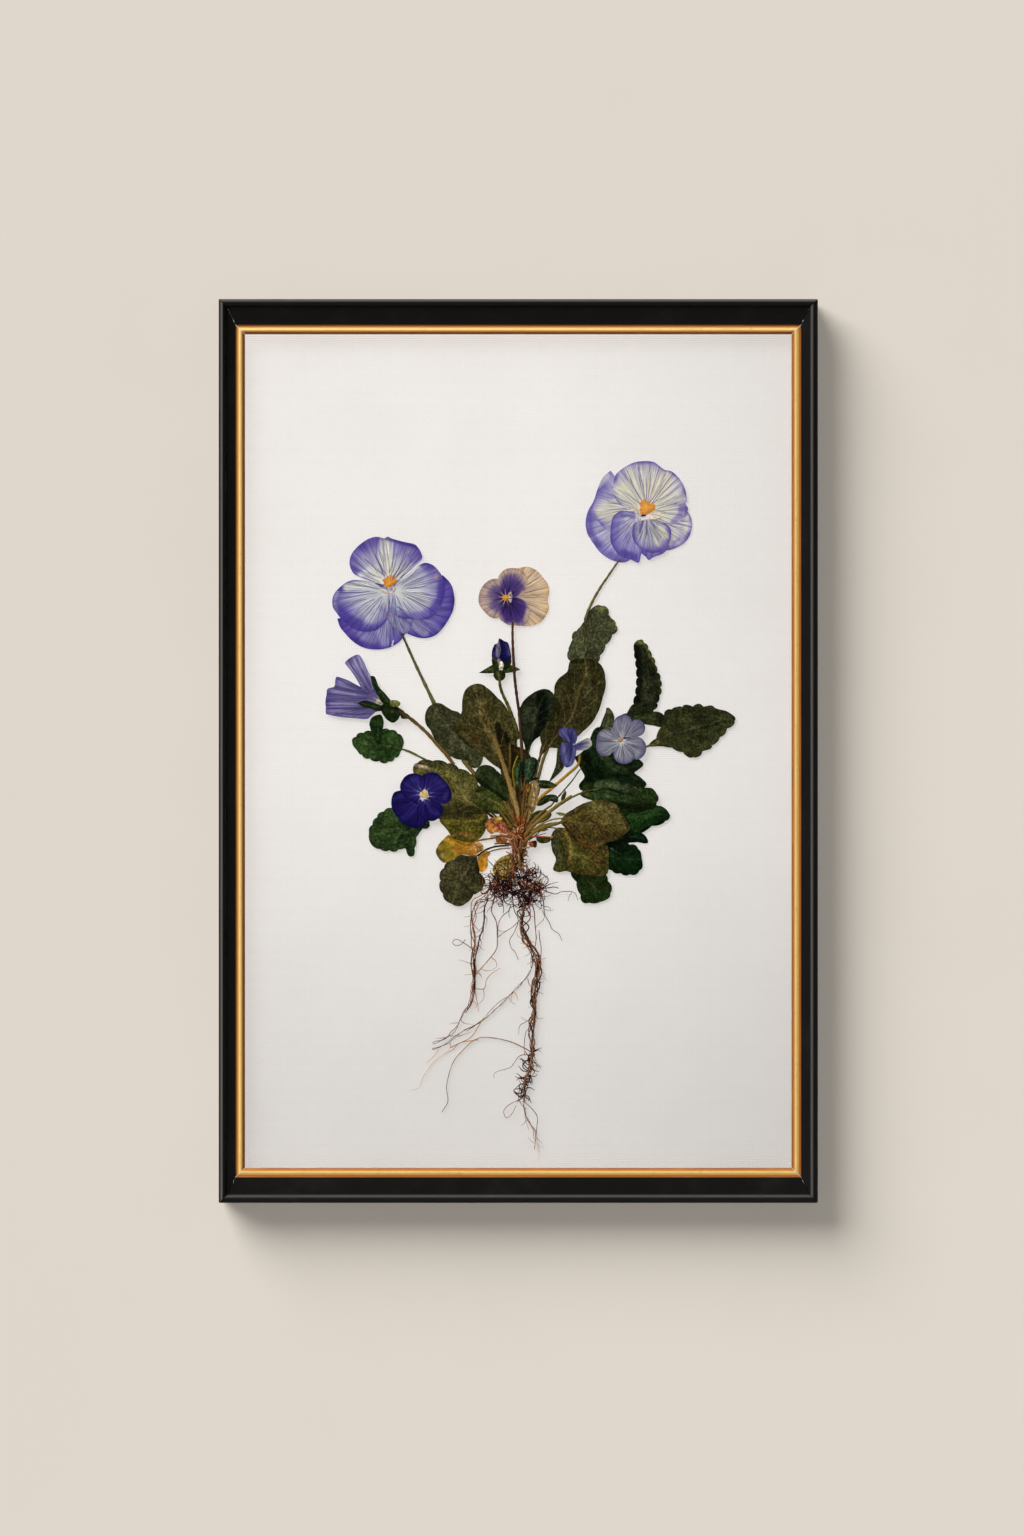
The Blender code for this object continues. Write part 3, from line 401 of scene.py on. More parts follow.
def group_leaf_veins():
    """Side veins run up from the midrib to the margin: they are where share along
    times their number, less the share across, is a whole number."""
    tree, given, out = new_group("Leaf veins", [
        ("Count", FLOAT, 7.0), ("Slant", FLOAT, 2.2), ("Width", FLOAT, 0.16),
        ("Waver", FLOAT, 0.5), ("Cells", FLOAT, 420.0)],
        [("Veins", FLOAT), ("Ridge", FLOAT), ("Net", FLOAT)])
    lie = attribute(tree, "lie", "Vector")
    part = put(tree, "ShaderNodeSeparateXYZ", lie).outputs
    where = place_of(tree)
    waver = times(tree, minus(tree, speckle(tree, where, 160.0), 0.5),
                 given["Waver"])
    off_middle = minus(tree, part[1], 0.5)
    across = times(tree, calc(tree, "ABSOLUTE", off_middle), 2.0)
    other_side = times(tree, calc(tree, "GREATER_THAN", off_middle, 0.0), 0.45)
    run = times(tree, part[2], given["Count"])
    lean = times(tree, calc(tree, "POWER", across, 0.8), given["Slant"])
    place = plus(tree, minus(tree, run, lean),
                 plus(tree, other_side, waver))
    near = times(tree, calc(tree, "ABSOLUTE", minus(tree, calc(tree, "FRACT", place), 0.5)), 2.0)
    side_vein = ramp(tree, near, minus(tree, 1.0, given["Width"]), 1.0)
    fade = ramp(tree, across, 0.55, 1.0, 1.0, 0.0)
    midrib = ramp(tree, across, times(tree, given["Width"], 0.1),
                  times(tree, given["Width"], 0.6), 1.0, 0.0)
    veins = calc(tree, "MAXIMUM", times(tree, side_vein, fade), midrib)
    tree.links.new(veins, out["Veins"])
    tree.links.new(times(tree, veins, 0.8), out["Ridge"])
    bent = put(tree, "ShaderNodeTexNoise", where)
    bent.inputs["Scale"].default_value = 300.0
    shift = put(tree, "ShaderNodeVectorMath", bent.outputs["Color"], operation="SCALE")
    shift.inputs["Scale"].default_value = 0.0022
    moved = put(tree, "ShaderNodeVectorMath", where, shift.outputs[0], operation="ADD")
    cells = put(tree, "ShaderNodeTexVoronoi", moved.outputs[0], feature="DISTANCE_TO_EDGE")
    tree.links.new(given["Cells"], cells.inputs["Scale"])
    tree.links.new(ramp(tree, cells.outputs["Distance"], 0.0, 0.16, 1.0, 0.0), out["Net"])
    return tree


def group_dry_blotches():
    """Uneven drying: soft-edged patches of noise, and fine mottling inside them."""
    tree, given, out = new_group("Dry blotches", [
        ("Size", FLOAT, 90.0), ("Spread", FLOAT, 0.5)], [("Patches", FLOAT), ("Mottle", FLOAT)])
    where = place_of(tree)
    node = put(tree, "ShaderNodeTexNoise", where)
    tree.links.new(given["Size"], node.inputs["Scale"])
    node.inputs["Detail"].default_value = 5.0
    node.inputs["Roughness"].default_value = 0.62
    low = minus(tree, 1.0, given["Spread"])
    patches = ramp(tree, node.outputs[0], minus(tree, low, 0.1),
                   plus(tree, low, 0.12))
    tree.links.new(patches, out["Patches"])
    tree.links.new(speckle(tree, where, 900.0, 4.0, 0.65), out["Mottle"])
    return tree


def group_petal_streaks():
    """Fine streaks from the eye to the rim: noise that changes fast along the rim and
    slowly from the eye outwards."""
    tree, given, out = new_group("Petal streaks", [
        ("Fineness", FLOAT, 1.6), ("Reach", FLOAT, 1.0)],
        [("Streaks", FLOAT), ("Fibres", FLOAT), ("Lines", FLOAT)])
    lie = attribute(tree, "lie", "Vector")
    part = put(tree, "ShaderNodeSeparateXYZ", lie).outputs
    spread = times(tree, part[0], given["Fineness"])
    reach = times(tree, part[1], given["Reach"])
    where = put(tree, "ShaderNodeCombineXYZ", spread, reach, part[2]).outputs[0]
    broad = speckle(tree, where, 0.55, 3.0, 0.6, 0.3)
    fine = speckle(tree, where, 1.9, 2.0, 0.5, 0.1)
    tree.links.new(ramp(tree, broad, 0.46, 0.66), out["Streaks"])
    edge = speckle(tree, where, 0.5, 1.5, 0.5, 0.25)
    off = calc(tree, "ABSOLUTE", minus(tree, edge, 0.5))
    lines = times(tree, ramp(tree, off, 0.008, 0.05, 1.0, 0.0),
                 ramp(tree, part[1], 0.08, 0.35))
    tree.links.new(lines, out["Lines"])
    tree.links.new(fine, out["Fibres"])
    return tree


def group_paper_weave():
    """Laid paper: fine threads both ways from two waves, broken up by noise."""
    tree, given, out = new_group("Paper weave", [("Thread", FLOAT, 1.0)],
                                 [("Height", FLOAT), ("Cloud", FLOAT)])
    where = place_of(tree)
    waves = []
    for direction in ("X", "Z"):
        wave = put(tree, "ShaderNodeTexWave", where, bands_direction=direction)
        wave.inputs["Scale"].default_value = 290.0
        wave.inputs["Distortion"].default_value = 1.6
        wave.inputs["Detail"].default_value = 2.0
        waves.append(wave.outputs[1])
    both = times(tree, plus(tree, *waves), given["Thread"])
    tree.links.new(plus(tree, both, speckle(tree, where, 1500.0)), out["Height"])
    tree.links.new(speckle(tree, where, 25.0, 4.0), out["Cloud"])
    return tree


def group_edge_wear():
    """Handling wear and dust: noise speckles, stronger where the given closeness to an
    edge is high."""
    tree, given, out = new_group("Edge wear", [
        ("Closeness", FLOAT, 0.0), ("Amount", FLOAT, 0.3)],
        [("Wear", FLOAT), ("Dust", FLOAT), ("Grain", FLOAT)])
    where = place_of(tree)
    chips = ramp(tree, speckle(tree, where, 420.0, 5.0, 0.7), 0.56, 0.72)
    worn = times(tree, times(tree, chips, given["Closeness"]),
                given["Amount"])
    tree.links.new(worn, out["Wear"])
    dust = ramp(tree, speckle(tree, where, 38.0, 5.0, 0.7), 0.45, 0.75)
    tree.links.new(dust, out["Dust"])
    tree.links.new(speckle(tree, where, 700.0, 3.0, 0.6), out["Grain"])
    return tree


GROUPS = {}


def shared(name):
    """The named group, built the first time it is asked for."""
    makers = {"Leaf veins": group_leaf_veins, "Dry blotches": group_dry_blotches,
              "Petal streaks": group_petal_streaks, "Paper weave": group_paper_weave,
              "Edge wear": group_edge_wear}
    if name not in GROUPS:
        GROUPS[name] = makers[name]()
    return GROUPS[name]


def use(tree, name, **values):
    """Place a shared group and set its inputs, given with spaces as underscores."""
    node = tree.nodes.new("ShaderNodeGroup")
    node.node_tree = shared(name)
    for label, value in values.items():
        join_input(tree, node.inputs[label.replace("_", " ")], value)
    return node.outputs


def new_material(name, roughness=0.6, metallic=0.0, specular=0.3):
    """A material and its Principled shader, with the plain values set."""
    material = bpy.data.materials.new(name)
    material.use_nodes = True
    tree = material.node_tree
    shader = tree.nodes["Principled BSDF"]
    shader.inputs["Roughness"].default_value = roughness
    shader.inputs["Metallic"].default_value = metallic
    shader.inputs["Specular IOR Level"].default_value = specular
    return material, tree, shader


def raise_surface(tree, shader, height, distance):
    """A bump of that many metres from the height."""
    bump = tree.nodes.new("ShaderNodeBump")
    bump.inputs["Distance"].default_value = distance
    bump.inputs["Strength"].default_value = 1.0
    tree.links.new(height, bump.inputs["Height"])
    tree.links.new(bump.outputs[0], shader.inputs["Normal"])


def solid(shade):
    """A shade of 0 to 255 as a colour for a socket."""
    return (*linear(shade), 1.0)


def leaf_material(name, vein_shade, vein_strength, patch_shade, patch_strength, size=90.0,
                  spread=0.5, count=7.0, roughness=0.72, grain=1.0):
    """A dry pressed leaf: its painted colour, darker or paler patches, and veins."""
    material, tree, shader = new_material(name, roughness, specular=0.0)
    base = attribute(tree, "paint", "Color")
    blotches = use(tree, "Dry blotches", Size=size, Spread=spread)
    veins = use(tree, "Leaf veins", Count=count)
    patched = blend(tree, times(tree, blotches["Patches"], patch_strength),
                    base, solid(patch_shade))
    netted = blend(tree, times(tree, veins["Net"], 0.5 * grain), patched,
                   solid((9, 12, 5)))
    veined = blend(tree, times(tree, veins["Veins"], vein_strength),
                   netted, solid(vein_shade))
    wide = speckle(tree, place_of(tree), 260.0, 3.0, 0.55)
    mottle = times(tree, ramp(tree, blotches["Mottle"], 0.32, 0.7,
                              1.0 - 0.5 * grain, 1.0 + 0.8 * grain),
                   ramp(tree, wide, 0.34, 0.68, 0.66, 1.3))
    tree.links.new(greyed(tree, veined, mottle), shader.inputs["Base Color"])
    gloss = minus(tree, roughness, times(tree, blotches["Mottle"], 0.12))
    tree.links.new(gloss, shader.inputs["Roughness"])
    height = plus(tree, veins["Ridge"], blotches["Mottle"])
    raise_surface(tree, shader, height, LEAF_GRAIN)
    return material


def greyed(tree, colour, light):
    """The colour times a grey light."""
    shade = put(tree, "ShaderNodeCombineColor", light, light, light).outputs[0]
    return blend(tree, 1.0, colour, shade, "MULTIPLY")


def tinted(tree, colour, light, tint):
    """The colour times a grey light and a fixed tint."""
    shade = put(tree, "ShaderNodeCombineColor", *(times(tree, light, part)
                                                  for part in tint)).outputs[0]
    return blend(tree, 1.0, colour, shade, "MULTIPLY")


def petal_material(name, vein_shade, strength, fineness=1.6, roughness=0.78, lines=0.4,
                   tint=(1.0, 1.0, 1.0)):
    """A dry pressed petal: its painted colour with fine streaks out from the eye."""
    material, tree, shader = new_material(name, roughness, specular=0.02)
    base = attribute(tree, "paint", "Color")
    streaks = use(tree, "Petal streaks", Fineness=fineness)
    blotches = use(tree, "Dry blotches", Size=120.0, Spread=0.5)
    veined = blend(tree, times(tree, streaks["Streaks"], strength),
                   base, solid(vein_shade))
    veined = blend(tree, times(tree, streaks["Lines"], lines), veined,
                   solid(vein_shade))
    light = plus(tree, ramp(tree, streaks["Fibres"], 0.3, 0.7, 0.8, 1.13),
                 ramp(tree, blotches["Patches"], 0.0, 1.0, -0.04, 0.04))
    tree.links.new(tinted(tree, veined, light, tint), shader.inputs["Base Color"])
    gloss = minus(tree, roughness, times(tree, streaks["Fibres"], 0.15))
    tree.links.new(gloss, shader.inputs["Roughness"])
    raise_surface(tree, shader, streaks["Fibres"], PETAL_GRAIN)
    return material


def stem_material(name, roughness=0.7, tint=(1.0, 1.0, 1.0)):
    """A dried stalk or root: its painted colour with fine fibres and dark specks."""
    material, tree, shader = new_material(name, roughness, specular=0.02)
    base = attribute(tree, "paint", "Color")
    lie = attribute(tree, "lie", "Vector")
    stretch = put(tree, "ShaderNodeMapping", lie).outputs[0]
    stretch.node.inputs["Scale"].default_value = (0.35, 3.0, 0.0)
    fibres = speckle(tree, stretch, 1.8, 4.0, 0.6)
    blotches = use(tree, "Dry blotches", Size=300.0, Spread=0.45)
    light = times(tree, ramp(tree, fibres, 0.3, 0.7, 0.7, 1.3),
                 ramp(tree, blotches["Mottle"], 0.3, 0.7, 0.75, 1.2))
    tree.links.new(tinted(tree, base, light, tint), shader.inputs["Base Color"])
    gloss = minus(tree, roughness, times(tree, fibres, 0.15))
    tree.links.new(gloss, shader.inputs["Roughness"])
    raise_surface(tree, shader, fibres, STEM_GRAIN)
    return material


def bands(tree, value, stops):
    """Colour bands along a value: stops as (place, shade)."""
    node = put(tree, "ShaderNodeValToRGB", value)
    ramp_stops = node.color_ramp.elements
    for place, shade in stops[2:]:
        ramp_stops.new(place)
    for stop, (place, shade) in zip(ramp_stops, stops):
        stop.position, stop.color = place, solid(shade)
    return node.outputs[0]


def inset(tree, axis, half, middle):
    """How far a point is in from the frame's outer edge, in millimetres."""
    where = place_of(tree)
    part = put(tree, "ShaderNodeSeparateXYZ", where).outputs[axis]
    off = calc(tree, "ABSOLUTE", minus(tree, part, middle))
    return times(tree, minus(tree, half, off), 1.0 / MM)


# ---- the frame's finishes ----------------------------------------------------

HALF_WIDTH = (CAD_HIGH.x - CAD_LOW.x) / 2
HALF_HEIGHT = (CAD_HIGH.z - CAD_LOW.z) / 2
RAIL_WIDTH = (CAD_HIGH.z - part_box("frame_top_rail")[0].z) / MM
STILE_WIDTH = (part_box("frame_left_stile")[1].x - CAD_LOW.x) / MM
GILT_WIDTH = (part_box("gilt_slip_left")[1].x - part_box("frame_left_stile")[1].x) / MM

# The painted highlight on each member's bead, a pale line where the light from the upper left would catch
# it: distance in, width, strength
BEAD_PAINTED_HIGHLIGHT = {
    "top_rail": (0.9, 1, 0.4), "bottom_rail": (3.7, 1, 0.3), "left_stile": (1.6, 0.9, 0.6),
    "right_stile": (3.2, 1, 0.36)}


def lacquer_material(name, axis, half, middle, shade, highlight):
    """Satin black lacquer, slightly dusty and uneven. A painted highlight runs along one line of the bead,
    given as its distance in, its width and its strength."""
    material, tree, shader = new_material(name, 0.4, specular=0.12)
    inward = inset(tree, axis, half, middle)
    closeness = ramp(tree, inward, 0.0, 3.2, 1.0, 0.0)
    wear = use(tree, "Edge wear", Closeness=closeness, Amount=0.3)
    dull = blend(tree, times(tree, wear["Dust"], 0.2), (*shade, 1.0),
                 solid((30, 29, 27)))
    rubbed = blend(tree, times(tree, wear["Wear"], 0.5), dull, solid((70, 56, 42)))
    place, width, strength = highlight
    # Painted highlight: a pale grey line along the bead, fainter where dust lies
    away = calc(tree, "ABSOLUTE", minus(tree, inward, place))
    line = times(tree, ramp(tree, away, 0.0, width, 1.0, 0.0),
                times(tree, ramp(tree, wear["Dust"], 0.0, 1.0, 1.0, 0.8), strength))
    with_painted_highlight = blend(tree, line, rubbed, solid((112, 109, 104)))
    tree.links.new(with_painted_highlight, shader.inputs["Base Color"])
    rough = plus(tree, ramp(tree, wear["Dust"], 0.0, 1.0, 0.34, 0.46),
                 times(tree, wear["Grain"], 0.06))
    tree.links.new(rough, shader.inputs["Roughness"])
    raise_surface(tree, shader, wear["Grain"], LACQUER_GRAIN)
    return material


# Colour bands across the gilt slip from its outer edge in, part toning and part painted light: the brown
# at the outer groove and at the sight edge is painted shade over toning, and the bright band along the
# raised middle is a painted highlight
GILT_TONES_AND_PAINTED_LIGHT = (
    (0, (110, 62, 22)), (0.07, (150, 88, 30)), (0.2, (190, 120, 46)), (0.32, (234, 184, 98)),
    (0.46, (250, 214, 138)), (0.62, (238, 186, 98)), (0.76, (172, 104, 40)), (0.9, (140, 84, 38)),
    (1, (110, 66, 34)))


def gilt_material(name, axis, half, middle, black_width):
    """Toned gilding with painted light: brown in the hollows, part toning and part painted shade, bright
    along the raised middle as a painted highlight, rubbed through to red bole in places."""
    material, tree, shader = new_material(name, 0.42, 0.35, specular=0.4)
    inward = minus(tree, inset(tree, axis, half, middle), black_width)
    share = calc(tree, "DIVIDE", inward, GILT_WIDTH)
    # Toning and painted light together: painted shade in the hollows, a painted highlight along the middle
    toned_and_painted_light = bands(tree, share, GILT_TONES_AND_PAINTED_LIGHT)
    wear = use(tree, "Edge wear", Closeness=1.0, Amount=0.25)
    rubbed = blend(tree, wear["Wear"], toned_and_painted_light, solid((120, 58, 28)))
    dull = blend(tree, times(tree, wear["Dust"], 0.25), rubbed,
                 solid((196, 140, 66)))
    tree.links.new(dull, shader.inputs["Base Color"])
    rough = ramp(tree, wear["Grain"], 0.2, 0.8, 0.34, 0.5)
    tree.links.new(rough, shader.inputs["Roughness"])
    raise_surface(tree, shader, wear["Grain"], GILT_GRAIN)
    return material


def glass_material(name):
    """Clear low-reflection glass. Light on its way to the plant passes straight
    through, as it does through so thin a pane."""
    material, tree, shader = new_material(name, 0.0)
    shader.inputs["Base Color"].default_value = (1.0, 1.0, 1.0, 1.0)
    shader.inputs["Transmission Weight"].default_value = 1.0
    shader.inputs["IOR"].default_value = 1.1
    path = tree.nodes.new("ShaderNodeLightPath").outputs
    clear = tree.nodes.new("ShaderNodeBsdfTransparent")
    through = calc(tree, "MAXIMUM", path["Is Shadow Ray"], path["Is Diffuse Ray"])
    both = put(tree, "ShaderNodeMixShader", through, shader.outputs[0], clear.outputs[0])
    tree.links.new(both.outputs[0], tree.nodes["Material Output"].inputs["Surface"])
    return material


def paper_material(name, shade):
    """Off-white laid paper, a little darker towards its foot and its right side."""
    material, tree, shader = new_material(name, 0.9, specular=0.15)
    weave = use(tree, "Paper weave", Thread=1.0)
    where = place_of(tree)
    part = put(tree, "ShaderNodeSeparateXYZ", where).outputs
    # Darker towards the foot of the sheet and towards its right side
    down = ramp(tree, part[2], MIDDLE_Z + 0.03, MIDDLE_Z - 0.215, 1.0, 0.81)
    right = ramp(tree, part[0], 0.005, 0.15, 1.0, 0.895)
    clouded = blend(tree, ramp(tree, weave["Cloud"], 0.3, 0.7, 0.0, 0.1), (*shade, 1.0),
                    solid((214, 207, 196)))
    thread = ramp(tree, weave["Height"], 0.4, 2.6, 0.972, 1.012)
    darker_down_and_right = times(tree, times(tree, down, right), thread)
    tree.links.new(greyed(tree, clouded, darker_down_and_right), shader.inputs["Base Color"])
    raise_surface(tree, shader, weave["Height"], PAPER_GRAIN)
    return material


def plain_material(name, first, second, roughness, metallic, size, bump):
    """Card, steel or felt: two shades mixed by its grain."""
    material, tree, shader = new_material(name, roughness, metallic)
    blotches = use(tree, "Dry blotches", Size=size, Spread=0.5)
    mixed = blend(tree, blotches["Patches"], solid(first), solid(second))
    grain = ramp(tree, blotches["Mottle"], 0.3, 0.7, 0.8, 1.15)
    tree.links.new(greyed(tree, mixed, grain), shader.inputs["Base Color"])
    rough = plus(tree, roughness - 0.08, times(tree, blotches["Mottle"], 0.15))
    tree.links.new(rough, shader.inputs["Roughness"])
    raise_surface(tree, shader, blotches["Mottle"], bump)
    return material


def dress(material, *names):
    """Give kept nodes their finish."""
    for name in names:
        for place in range(len(NODES[name].material_slots)):
            NODES[name].material_slots[place].material = material


class FinishSettings(bpy.types.PropertyGroup):
    """Colours of the frame and its sheet"""
    lacquer: FloatVectorProperty(
        name="Lacquer", description="Colour of the frame's lacquer", subtype="COLOR",
        default=(0.004, 0.0038, 0.0034), min=0.0, max=1.0)
    paper: FloatVectorProperty(
        name="Paper", description="Colour of the sheet at its palest", subtype="COLOR",
        default=(0.803, 0.772, 0.745), min=0.0, max=1.0)


class FinishFrame(bpy.types.Operator):
    """Lacquer the mouldings and gild the slip inside them"""
    bl_idname = "pressed_flower.finish_frame"
    bl_label = "Finish the Frame"

    def execute(self, context):
        shade = tuple(context.scene.flower_finish.lacquer)
        # Each member gets its own lacquer, with its painted highlight on the side of its bead where the
        # light falls
        for side, axis, half, middle in (("top_rail", "Z", HALF_HEIGHT, MIDDLE_Z),
                                         ("bottom_rail", "Z", HALF_HEIGHT, MIDDLE_Z),
                                         ("left_stile", "X", HALF_WIDTH, MIDDLE_X),
                                         ("right_stile", "X", HALF_WIDTH, MIDDLE_X)):
            dress(lacquer_material("Lacquer on " + side, axis, half, middle, shade,
                                   BEAD_PAINTED_HIGHLIGHT[side]), "frame_" + side)
        dress(gilt_material("Gilding on rails", "Z", HALF_HEIGHT, MIDDLE_Z, RAIL_WIDTH),
              "gilt_slip_top", "gilt_slip_bottom")
        dress(gilt_material("Gilding on stiles", "X", HALF_WIDTH, MIDDLE_X, STILE_WIDTH),
              "gilt_slip_left", "gilt_slip_right")
        return {"FINISHED"}


class FinishSheets(bpy.types.Operator):
    """Finish the glass, the paper and the backing board"""
    bl_idname = "pressed_flower.finish_sheets"
    bl_label = "Finish Glass, Paper and Board"

    def execute(self, context):
        dress(glass_material("Clear glass"), "glass_pane")
        paper = tuple(context.scene.flower_finish.paper)
        dress(paper_material("Laid paper", paper), "specimen_sheet")
        dress(plain_material("Backing card", (136, 108, 76), (144, 115, 82), 0.9, 0.0, 60.0,
                             0.0001), "backing_board")
        return {"FINISHED"}


class FinishFittings(bpy.types.Operator):
    """Finish the hanger, the framer's points and the felt bumpers"""
    bl_idname = "pressed_flower.finish_fittings"
    bl_label = "Finish Back Fittings"

    def execute(self, context):
        steel = plain_material("Plated steel", (170, 166, 156), (140, 134, 122), 0.38, 0.9,
                               250.0, 0.00002)
        dress(steel, "hanger", *(f"framers_point_{k}" for k in (1, 2, 3, 4)))
        dress(plain_material("Black felt", (28, 26, 24), (46, 43, 40), 0.95, 0.0, 500.0,
                             0.0003), "bumper_left", "bumper_right")
        return {"FINISHED"}


# ---- leaves ------------------------------------------------------------------

class PlantSettings(bpy.types.PropertyGroup):
    """Sizes of the pressed plant"""
    leaf_thickness: FloatProperty(
        name="Leaf Thickness", description="Thickness of a pressed leaf in millimetres",
        default=0.12, min=0.02, max=0.3)
    tooth_depth: FloatProperty(
        name="Tooth Depth", description="How far the notches cut into a leaf's margin, in millimetres",
        default=1.1, min=0.0, max=2.0)
    relief: FloatProperty(
        name="Vein Relief", description="How far the veins stand out, in millimetres",
        default=0.1, min=0.0, max=0.3)
    petal_thickness: FloatProperty(
        name="Petal Thickness", description="Thickness of a pressed petal in millimetres",
        default=0.06, min=0.02, max=0.2)
    fine_roots: IntProperty(
        name="Fine Roots", description="Number of fine loops in the root mat",
        default=270, min=0, max=600)


